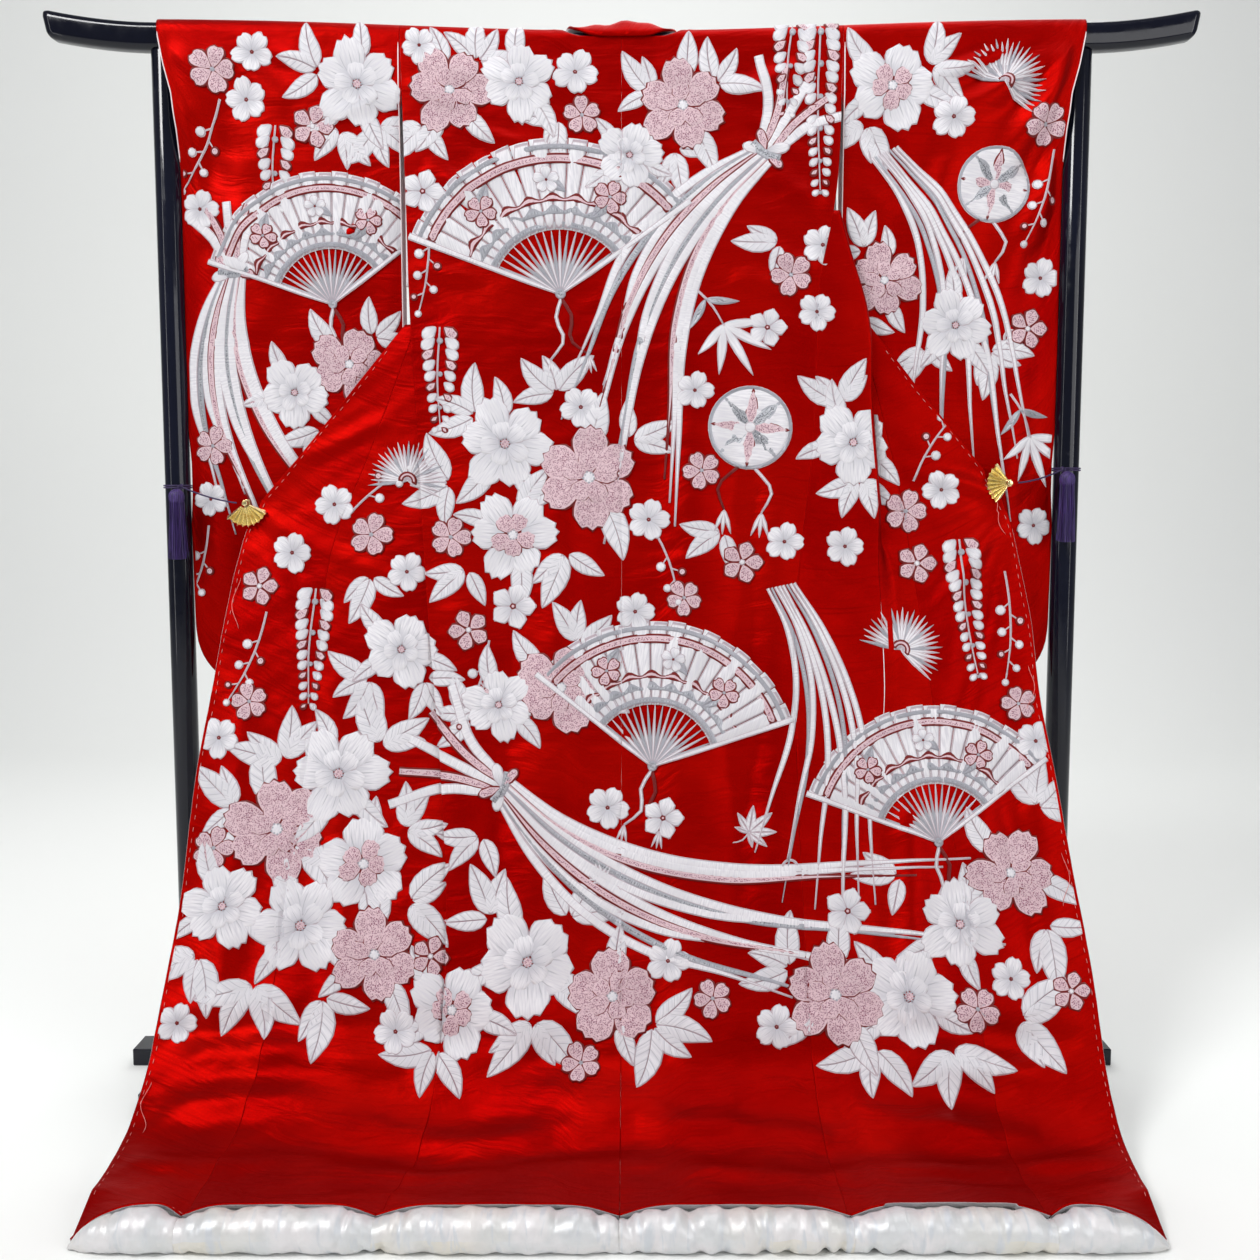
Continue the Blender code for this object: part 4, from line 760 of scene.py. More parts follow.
def cord_silk(name, dark, light, stretch):
    """Twisted silk, with streaks that run along a hanging strand where stretch is small."""
    made, tree, shader = principled(name, Sheen_Weight=0.22, Sheen_Roughness=0.4,
                                    Sheen_Tint=(0.6, 0.45, 1.0, 1.0))
    place = put(tree, "ShaderNodeTexCoord").outputs["Object"]
    along = put(tree, "ShaderNodeMapping", {"Vector": place, "Scale": (1.0, 1.0, stretch)})
    strands = put(tree, "ShaderNodeTexNoise", {"Vector": along.outputs[0], "Scale": 900.0, "Detail": 2.0})
    body = mixed(tree, ramp_between(tree, strands.outputs["Fac"], 0.35, 0.7), dark, light)
    tree.links.new(body, shader.inputs["Base Color"])
    shader.inputs["Roughness"].default_value = 0.55
    bump_into(tree, shader, strands.outputs["Fac"], 0.4, 0.0004)
    return made


LOOKS = make_materials()

# ------------------------------------------------------------------ embroidery, drawn on the flat cloth

STITCH_LOOKS = ("white_stitch", "pink_stitch", "silver_stitch", "dark_stitch")
WHITE, PINK, SILVER, DARK = range(4)
RIM_WIDTH = 0.006
PATCH_LIFT = 0.0007
PATCH_SKIRT = -0.0009
LEVEL_LIFT = 0.0005
SEAM_FADE = 0.0025
LONG_ROWS = np.array((0.0, 0.05, 0.16, 0.32, 0.5, 0.68, 0.84, 0.95, 1.0))
SHORT_ROWS = np.array((0.0, 0.12, 0.45, 0.85, 1.0))
WIDE_COLUMNS = np.array((-1.0, -0.84, -0.45, 0.0, 0.45, 0.84, 1.0))
LOBED_COLUMNS = np.array((-1.0, -0.86, -0.66, -0.33, 0.0, 0.33, 0.66, 0.86, 1.0))
THIN_COLUMNS = np.array((-1.0, 0.0, 1.0))


class Drawing:
    """Raised shapes on the flat cloth, gathered for one layer of the garment.

    Each corner is a row: x, distance down, lift, rim, stitch direction (2) and place in the shape (2).
    """

    def __init__(self):
        self.corners, self.faces, self.looks = [], [], []
        self.count = 0

    def add(self, look, corners):
        rows, columns = corners.shape[:2]
        index = np.arange(rows * columns).reshape(rows, columns) + self.count
        quads = np.stack([index[:-1, :-1], index[:-1, 1:], index[1:, 1:], index[1:, :-1]],
                         axis=-1).reshape(-1, 4)
        flat = corners.reshape(-1, 8)
        first, second = (flat[quads[:, k] - self.count, :2] - flat[quads[:, k - 2] - self.count,
            :2] for k in (2, 3))
        if np.sum(first[:, 0] * second[:, 1] - first[:, 1] * second[:, 0]) > 0:
            quads = quads[:, ::-1]
        self.corners.append(flat)
        self.faces.append(quads)
        self.looks.append(np.full(len(quads), look))
        self.count += rows * columns


class Pen:
    """A place and direction on the flat cloth. Its first axis points along its turn, the second across it."""

    def __init__(self, drawing, x, down, turn=0.0, level=0.0, flip=1.0):
        self.drawing = drawing
        self.x = x
        self.down = down
        self.turn = turn
        self.level = level
        self.flip = flip

    def at(self, along, across, turn=0.0, level=0.0):
        x, down = self.flat(along, across)
        return Pen(self.drawing, x, down, self.turn + turn * self.flip, self.level + level, self.flip)

    def flat(self, along, across):
        across = across * self.flip
        return (self.x + along * math.cos(self.turn) - across * math.sin(self.turn),
                self.down + along * math.sin(self.turn) + across * math.cos(self.turn))

    def patch(self, look, along, across, inside, thread, shape, height, edges=((1, 1), (1, 1))):
        """One raised shape from a grid of places, their distance inside its outline, and the stitch way."""
        along, across, inside = np.broadcast_arrays(along, across, inside)
        rim = 1 - np.clip(inside / RIM_WIDTH, 0.0, 1.0)
        lift = PATCH_LIFT + self.level * LEVEL_LIFT + height * np.sqrt(np.maximum(1 - rim**2, 0.0))
        x, down = self.flat(along, across)
        values = [x, down, lift, rim, *(np.broadcast_to(part, inside.shape) for part in (*thread, *shape))]
        padded = [np.pad(part, edges, mode="edge") for part in values]
        padded[2] = np.pad(lift, edges, constant_values=PATCH_SKIRT)
        self.drawing.add(look, np.stack(padded, axis=-1))


def petal(pen, look, reach, width, root=0.0, base=0.14, notch=0.0, blunt=0.62, rounding=0.2, frill=0.0,
          height=0.0012,
          rows=LONG_ROWS):
    """A petal whose root lies at a distance from the flower's middle."""
    s, t = rows[:, None], (LOBED_COLUMNS if frill else WIDE_COLUMNS)[None]
    length = reach - root
    half = width / 2 * (base + (1 - base) * np.sin(math.pi / 2 * np.minimum(s / 0.62, 1)) ** 0.9)
    half = half * (1 - (1 - blunt) * ease((s - 0.62) / 0.38) ** 1.5)
    along = length * s * (1 - rounding * t**2 * s**2 + frill * np.cos(3 * math.pi * t) * s**4)
    along = root + along - notch * length * np.exp(-((t / 0.28) ** 2)) * s**6
    inside = np.minimum(half * (1 - np.abs(t)), length * np.minimum(1 - s, s + 0.1) + 0 * t)
    pen.patch(look, along, half * t, inside, (half * t, along), (s, t), height)


def blade(pen, look, length, width, bend=0.0, height=0.001, rows=SHORT_ROWS, columns=THIN_COLUMNS):
    """A narrow pointed leaf or needle."""
    s, t = rows[:, None], columns[None]
    bend = bend or 1e-4
    half = width / 2 * np.sin(math.pi * np.minimum(s, 0.999) ** 0.78) ** 0.85 + 1e-4
    line_a, line_b = length * np.sin(bend * s) / bend, length * (1 - np.cos(bend * s)) / bend
    along, across = line_a - np.sin(bend * s) * half * t, line_b + np.cos(bend * s) * half * t
    pen.patch(look, along, across, half * (1 - np.abs(t)), (half * t, length * s), (0.9 + 0 * s, t), height)


def leaf(pen, look, length, bend=0.4, share=0.46):
    """A broad leaf in two halves with a gap for its rib. The stitches slant away from the rib."""
    s = LONG_ROWS[:, None]
    bend = bend or 1e-4
    for side in (-1, 1):
        t = np.array((0.0, 0.12, 0.45, 0.8, 1.0))[None]
        half = length * share / 2 * np.sin(math.pi * np.minimum(s,
            0.999) ** 0.74) ** 0.8 * (1 + 0.05 * np.cos(s * 34)) + 1e-4
        off = side * (0.0002 * np.sin(math.pi * s) + half * t)
        along = length * np.sin(bend * s) / bend - np.sin(bend * s) * off
        across = length * (1 - np.cos(bend * s)) / bend + np.cos(bend * s) * off
        inside = half * np.minimum(t + 0.06, 1 - t)
        slanted = length * s * 0.72 - half * t * 0.7
        pen.patch(look, along, across, inside, (slanted, half * t),
                  (0.45 + 0 * s, (s - 0.42 * t * share) * 3.9), 0.0011)


def disc(pen, look, radius, height=0.0012, around=12):
    s = np.array((0.02, 0.45, 0.82, 1.0))[:, None]
    turn = np.linspace(0, math.tau, around + 1)[None]
    along, across = radius * s * np.cos(turn), radius * s * np.sin(turn)
    pen.patch(look, along, across, radius * (1 - s) + 0 * turn, (along, across), (0.8 + 0 * s, 0 * turn),
              height, ((0, 1), (0, 0)))


def wedge(pen, look, low, high, start, end, height=0.001, columns=5, wave=0.0):
    s, t = SHORT_ROWS[:, None], np.linspace(-1, 1, columns)[None]
    turn = (start + end) / 2 + (end - start) / 2 * t
    reach = low + (high - low) * s + wave * s * np.sin(turn * 26)
    inside = np.minimum(reach * (end - start) / 2 * (1 - np.abs(t)),
                        (high - low) * np.minimum(s, 1 - s) + 0 * t)
    pen.patch(look, reach * np.cos(turn), reach * np.sin(turn), inside, (reach * turn, reach),
              (0.8 + 0 * s, t), height)


def ribbon(pen, look, path, width, start=0.6, end=0.15, height=0.0011, step=0.011, columns=WIDE_COLUMNS,
           across_threads=True):
    """A strip of satin stitch along a smooth path."""
    path = np.array(path, float)
    knots = arc_lengths(path, 0)
    at = np.linspace(0, knots[-1], max(int(knots[-1] / step), 5))
    line = np.stack([smooth(knots, path[:, k], at) for k in (0, 1)], axis=-1)
    way = np.gradient(line, axis=0)
    way /= np.maximum(np.linalg.norm(way, axis=1), 1e-9)[:, None]
    s, t = (at / knots[-1])[:, None], columns[None]
    half = width / 2 * (start + (1 - start) * ease(s / 0.25)) * (1 - (1 - end) * ease((s - 0.55) / 0.45))
    along = line[:, :1] - way[:, 1:] * half * t
    across = line[:, 1:] + way[:, :1] * half * t
    length = at[:, None]
    thread = (length, half * t) if across_threads else (half * t, length)
    pen.patch(look, along, across, half * (1 - np.abs(t)), thread, (0.9 + 0 * s, t), height)


def thread_line(pen, look, path, width=0.0018, height=0.0006):
    ribbon(pen, look, path, width, 1.0, 0.6, height, 0.012, THIN_COLUMNS)


def stamens(pen, look, count, reach, dot):
    for k in range(count):
        turn = math.tau * (k + 0.5) / count
        far = reach * (0.86 + 0.14 * math.sin(2.7 * k))
        thread_line(pen.at(0, 0, turn, 0.8), look, ((reach * 0.2, 0), (far, 0)), 0.0015, 0.0004)
        disc(pen.at(far * math.cos(turn), far * math.sin(turn), 0, 1.0), look, dot, 0.0008, 7)


def uneven(pen, number):
    """A repeatable small difference between -1 and 1."""
    return math.sin(91.7 * pen.x + 57.3 * pen.down + 2.9 * number)


def cherry(pen, size, look=WHITE):
    """A blossom of five notched petals with gaps between them."""
    for k in range(5):
        petal(pen.at(0, 0, math.tau * k / 5, 0.12 * k), look, size * (0.5 + 0.02 * uneven(pen, k)),
              size * 0.41, size * 0.04, 0.22,
              notch=0.12, blunt=0.78)
    disc(pen.at(0, 0, 0, 1.8), SILVER if look == PINK else PINK, size * 0.05, 0.001, 9)
    stamens(pen.at(0, 0, 0, 0.6), SILVER if look == PINK else DARK, 10, size * 0.22, size * 0.014)


def camellia(pen, size, outer=WHITE, inner=WHITE):
    """Broad frilled petals in two rounds about a ring of stamens, with narrow gaps, over a few leaves."""
    for k, turn in enumerate((0.6, 2.3, 4.2)):
        reach = size * (0.5 + 0.08 * uneven(pen, k))
        turn += 0.35 * uneven(pen, k + 5)
        leaf(pen.at(size * 0.3 * math.cos(turn), size * 0.3 * math.sin(turn), turn, -0.5), WHITE, reach,
             0.5 * uneven(pen, k + 2))
    petals = 6 if uneven(pen, 9) > -0.2 else 5
    for k in range(petals):
        turn = math.tau * (k + 0.07 * uneven(pen, k)) / petals
        petal(pen.at(0, 0, turn, 0.25 * k), outer, size * (0.5 + 0.035 * uneven(pen, k + 3)),
              size * 2.25 / petals,
              size * 0.1, 0.42, blunt=0.8, rounding=0.18, frill=0.05)
    for k in range(5):
        petal(pen.at(0, 0, math.tau * (k + 0.35 + 0.08 * uneven(pen, k)) / 5, 1.2 + 0.12 * k), inner,
              size * (0.275 + 0.025 * uneven(pen, k + 7)), size * 0.24, size * 0.05, 0.42, blunt=0.76,
              rounding=0.22, frill=0.05,
              rows=SHORT_ROWS)
    disc(pen.at(0, 0, 0, 2.4), WHITE if inner == PINK else PINK, size * 0.062, 0.0012, 12)
    stamens(pen.at(0, 0, 0, 2.8), SILVER, 9, size * 0.055, size * 0.012)


def bellflower(pen, size, look=WHITE):
    for k in range(5):
        spot = pen.at(0, 0, math.tau * k / 5)
        petal(spot.at(0, 0, 0, 0.12 * k), look, size * 0.5, size * 0.4, size * 0.05, blunt=0.14, rounding=0.0)
        thread_line(spot.at(0, 0, 0, 1.4), DARK, ((size * 0.08, 0), (size * 0.4, 0)), 0.0011, 0.0003)
    disc(pen.at(0, 0, 0, 1.5), PINK if look == WHITE else WHITE, size * 0.07, 0.0012, 10)


def leaf_spray(pen, size, look=WHITE):
    """Three or four leaves from under a flower."""
    turns = (-0.95, 0.0, 0.85) if uneven(pen, 1) > 0 else (-1.15, -0.4, 0.35, 1.05)
    for k, turn in enumerate(turns):
        turn += 0.22 * uneven(pen, k)
        share = 0.92 + 0.16 * uneven(pen, k + 4)
        leaf(pen.at(0.006 * math.cos(turn) - 0.02, 0.006 * math.sin(turn), turn), look, size * share * 1.1,
             0.5 * uneven(pen, k + 8))


def along_arc(length, bend, share):
    return length * math.sin(bend * share) / bend, length * (1 - math.cos(bend * share)) / bend


def twig(pen, length, bend=0.38):
    """A thin bending stem with round buds on both sides."""
    thread_line(pen, WHITE, [along_arc(length, bend, k / 5) for k in range(6)], 0.003, 0.0007)
    buds = int(length / 0.021)
    for k in range(buds):
        share = 0.2 + 0.8 * (k + 1) / buds
        side = (-1) ** k if k < buds - 1 else 0
        reach = 0.015 - 0.004 * share
        spot = pen.at(*along_arc(length, bend, share), bend * share + side * 0.95)
        thread_line(spot, WHITE, ((0, 0), (reach, 0)), 0.002)
        disc(spot.at(reach + 0.004, 0, 0, 0.3), PINK if k % 3 == 1 else WHITE, 0.0084 - 0.003 * share,
             0.0015, 10)


def wisteria(pen, length):
    """A hanging cluster of small paired petals that narrows to its tip."""
    thread_line(pen, WHITE, ((0, 0), (length * 0.5, 0.004), (length, 0)), 0.0024)
    rows = int(length / 0.014)
    for k in range(rows):
        share = k / (rows - 1)
        size = 0.026 * (1 - 0.5 * share)
        wide = 0.018 * (1 - 0.8 * share) * (0.55 + 0.45 * min(1.0, share * 6))
        for side in (-1, 1):
            spot = pen.at(length * share, side * wide * 0.6, side * 0.85, 0.4 * (k % 2))
            petal(spot, PINK if (k + (side > 0)) % 3 == 0 else WHITE, size, size * 0.8, blunt=0.75,
                  rows=SHORT_ROWS)
        if k % 3 == 1:
            disc(pen.at(length * share + 0.004, 0, 0, 1.2), SILVER, size * 0.2, 0.001, 8)


def pine(pen, size, spread=3.7):
    needles = 27
    for k in range(needles):
        turn = -spread / 2 + spread * k / (needles - 1)
        blade(pen.at(0, 0, turn, 0.25 * (k % 3)), WHITE if k % 4 else SILVER, size * (0.5 - 0.04 * (k % 2)),
              size * 0.05)
    wedge(pen.at(0, 0, 0, 1.2), PINK, size * 0.05, size * 0.12, -spread / 2, spread / 2, 0.0012, 17)


def bamboo(pen, size):
    thread_line(pen, WHITE, ((-size * 0.9, 0.01), (-size * 0.4, 0.0), (0, 0)), 0.0034, 0.0008)
    for turn, reach in ((-1.05, 0.75), (-0.5, 0.95), (0.0, 1.05), (0.55, 0.9), (1.1, 0.7)):
        blade(pen.at(0, 0, turn, 0.2), WHITE, size * reach, size * 0.17, turn * 0.2, 0.0012, LONG_ROWS,
              WIDE_COLUMNS)
    for turn, reach in ((-0.9, 0.6), (0.9, 0.6)):
        blade(pen.at(-size * 0.55, 0.004, turn, 0.5), SILVER, size * reach, size * 0.14, turn * 0.2, 0.001,
              LONG_ROWS)


def maple(pen, size, look=WHITE):
    for turn, reach in ((-2.1, 0.55), (-1.4, 0.8), (-0.7, 0.96), (0.0, 1.06), (0.7, 0.96), (1.4, 0.8),
                        (2.1, 0.55)):
        leaf(pen.at(0, 0, turn), look, size * 0.5 * reach, 0.0, 0.34)
    thread_line(pen, look, ((0, 0), (-size * 0.2, 0.002), (-size * 0.34, -0.004)), 0.0022)


def folding_fan(pen, size):
    """An open fan: pleated leaf with bands and blossoms, ribs, a pivot and two cord ends."""
    spread, folds = 2.15, 17
    for k in range(folds):
        start = -spread / 2 + spread * k / folds
        wedge(pen, WHITE, size * 0.42, size * (1.0 - 0.01 * (k % 2)), start + 0.003,
              start + spread / folds - 0.003,
              0.0012 - 0.0005 * (k % 2))
        blade(pen.at(0, 0, start + spread / folds / 2, 0.2), WHITE if k % 2 else SILVER, size * 0.44,
              size * 0.024, 0.0, 0.0009)
    for low, high, look, wave in ((0.93, 0.96, SILVER, 0.0), (0.84, 0.905, PINK, 0.0),
                                  (0.6, 0.64, PINK, 0.01), (0.52, 0.56, SILVER, 0.01),
                                  (0.435, 0.47, SILVER, 0.0)):
        wedge(pen.at(0, 0, 0, 1.9), look, size * low, size * high, -spread / 2 * 0.985, spread / 2 * 0.985,
              0.0006, 61,
              wave * size * 2)
    for sign in (-1, 1):
        ribbon(pen.at(0, 0, sign * spread / 2, 1.6), WHITE,
               ((size * 0.02, 0), (size * 0.5, 0), (size * 1.01, 0)), size * 0.034, 0.6,
               1.3, 0.0013)
        path = [(-size * 0.03, 0), (-size * 0.16, sign * size * 0.05), (-size * 0.3, sign * size * 0.02),
                (-size * 0.42, sign * size * 0.12)]
        thread_line(pen, PINK if sign > 0 else WHITE, path, 0.0052, 0.001)
        for turn in (-0.3, 0.0, 0.3):
            blade(pen.at(-size * 0.42, sign * size * 0.12, math.pi + turn, 0.2), WHITE, size * 0.12,
                  size * 0.022)
    disc(pen.at(0, 0, 0, 2.0), SILVER, size * 0.034, 0.0014, 12)
    for reach, turn, wide, look in ((0.72, -0.62, 0.22, PINK), (0.74, 0.02, 0.18, WHITE),
                                    (0.7, 0.6, 0.23, PINK)):
        spot = pen.at(size * reach * math.cos(turn), size * reach * math.sin(turn), turn * 3, 3.2)
        leaf(spot.at(0, 0, 2.0), SILVER, size * wide * 0.8)
        cherry(spot, size * wide, look)


def streamers(pen, length, strands, width, gap, spread, sway, looks):
    for k in range(strands):
        share = k / (strands - 1) - 0.5
        reach = length * (1 - 0.4 * abs(share + 0.14) - 0.08 * (k % 3))
        path = [(0, share * gap)]
        for step in (0.16, 0.36, 0.58, 0.8, 1.0):
            wave = sway * length * math.sin(math.pi * step * 1.25 + 0.4) * (0.4 + 0.6 * step)
            path.append((reach * step, share * (gap + spread * length * step**1.15) + wave))
        look = looks[k % len(looks)]
        ribbon(pen.at(0, 0, 0, 0.3 * (k % 2)), look, path, width * (0.75 if look == SILVER else 1.0), 0.5,
               0.22)


def noshi(pen, length):
    """A bundle of long ribbons tied once: long streaming ends on one side, a short spray on the other."""
    streamers(pen, length, 11, 0.0135, 0.034, 0.34, 0.1, (WHITE, WHITE, PINK, WHITE, SILVER))
    head = length * 0.2
    for k in range(5):
        share = k / 4 - 0.5
        path = [(0, share * 0.022), (-head * 0.45, share * head * 0.5),
                (-head * (1 - 0.25 * abs(share)), share * head * 1.3)]
        ribbon(pen.at(0, 0, 0, 0.3 * (k % 2)), PINK if k in (1, 3) else WHITE, path, 0.015, 0.5, 0.9)
    ribbon(pen.at(0, 0, 0, 1.6), SILVER, ((0.0, -0.024), (0.004, 0), (0.0, 0.024)), 0.014, 1.0, 1.0, 0.0015,
           0.008)
    for k, turn in enumerate((-2.3, -1.3, 1.3, 2.3)):
        petal(pen.at(0, 0, turn, 1.9), PINK if k % 2 else WHITE, 0.036, 0.018, blunt=0.8, rows=SHORT_ROWS)


def stream(pen, length):
    """Flowing water: long waving lines that run together and part."""
    streamers(pen, length, 8, 0.009, 0.04, 0.2, -0.09, (WHITE, WHITE, SILVER, WHITE))
    for k, (share, side) in enumerate(((0.3, 1), (0.55, -1), (0.72, 1))):
        for turn in (0.0, 1.7, 3.4):
            wedge(pen.at(length * share, side * (0.035 + 0.06 * share), turn), WHITE, 0.009, 0.0125, 0.0,
                  1.35, 0.001, 9)


def ball(pen, size):
    """A thread ball with lens-shaped fields and two tasselled cords."""
    disc(pen, WHITE, size / 2, 0.0022, 36)
    for k in range(8):
        blade(pen.at(0, 0, math.tau * k / 8, 2.8), (PINK, SILVER)[k % 2], size * 0.47, size * 0.17, 0.0,
              0.001, LONG_ROWS, WIDE_COLUMNS)
    wedge(pen.at(0, 0, 0, 2.0), SILVER, size * 0.455, size * 0.495, 0, math.tau, 0.0008, 49)
    disc(pen.at(0, 0, 0, 4.4), WHITE, size * 0.07, 0.0012, 12)
    for sign in (-1, 1):
        path = [(size * 0.48, sign * size * 0.1), (size * 0.75, sign * size * 0.32),
                (size * 1.0, sign * size * 0.22)]
        thread_line(pen, PINK if sign > 0 else WHITE, path, 0.0046, 0.001)
        for turn in (-0.35, 0.0, 0.35):
            blade(pen.at(size * 1.0, sign * size * 0.22, turn, 0.2), WHITE, size * 0.3, size * 0.055, 0.0,
                  0.0012)


MOTIFS = {
    "fan": folding_fan, "noshi": noshi, "stream": stream, "ball": ball, "twig": twig, "wisteria": wisteria,
    "pine": pine,
    "bamboo": bamboo, "maple": maple, "leaves": leaf_spray, "cherry": cherry, "bellflower": bellflower,
    "camellia": camellia,
    "pink cherry": lambda pen, size: cherry(pen, size, PINK),
    "pink bellflower": lambda pen, size: bellflower(pen, size, PINK),
    "pink camellia": lambda pen, size: camellia(pen, size, PINK, PINK),
    "mixed camellia": lambda pen, size: camellia(pen, size, WHITE, PINK),
}

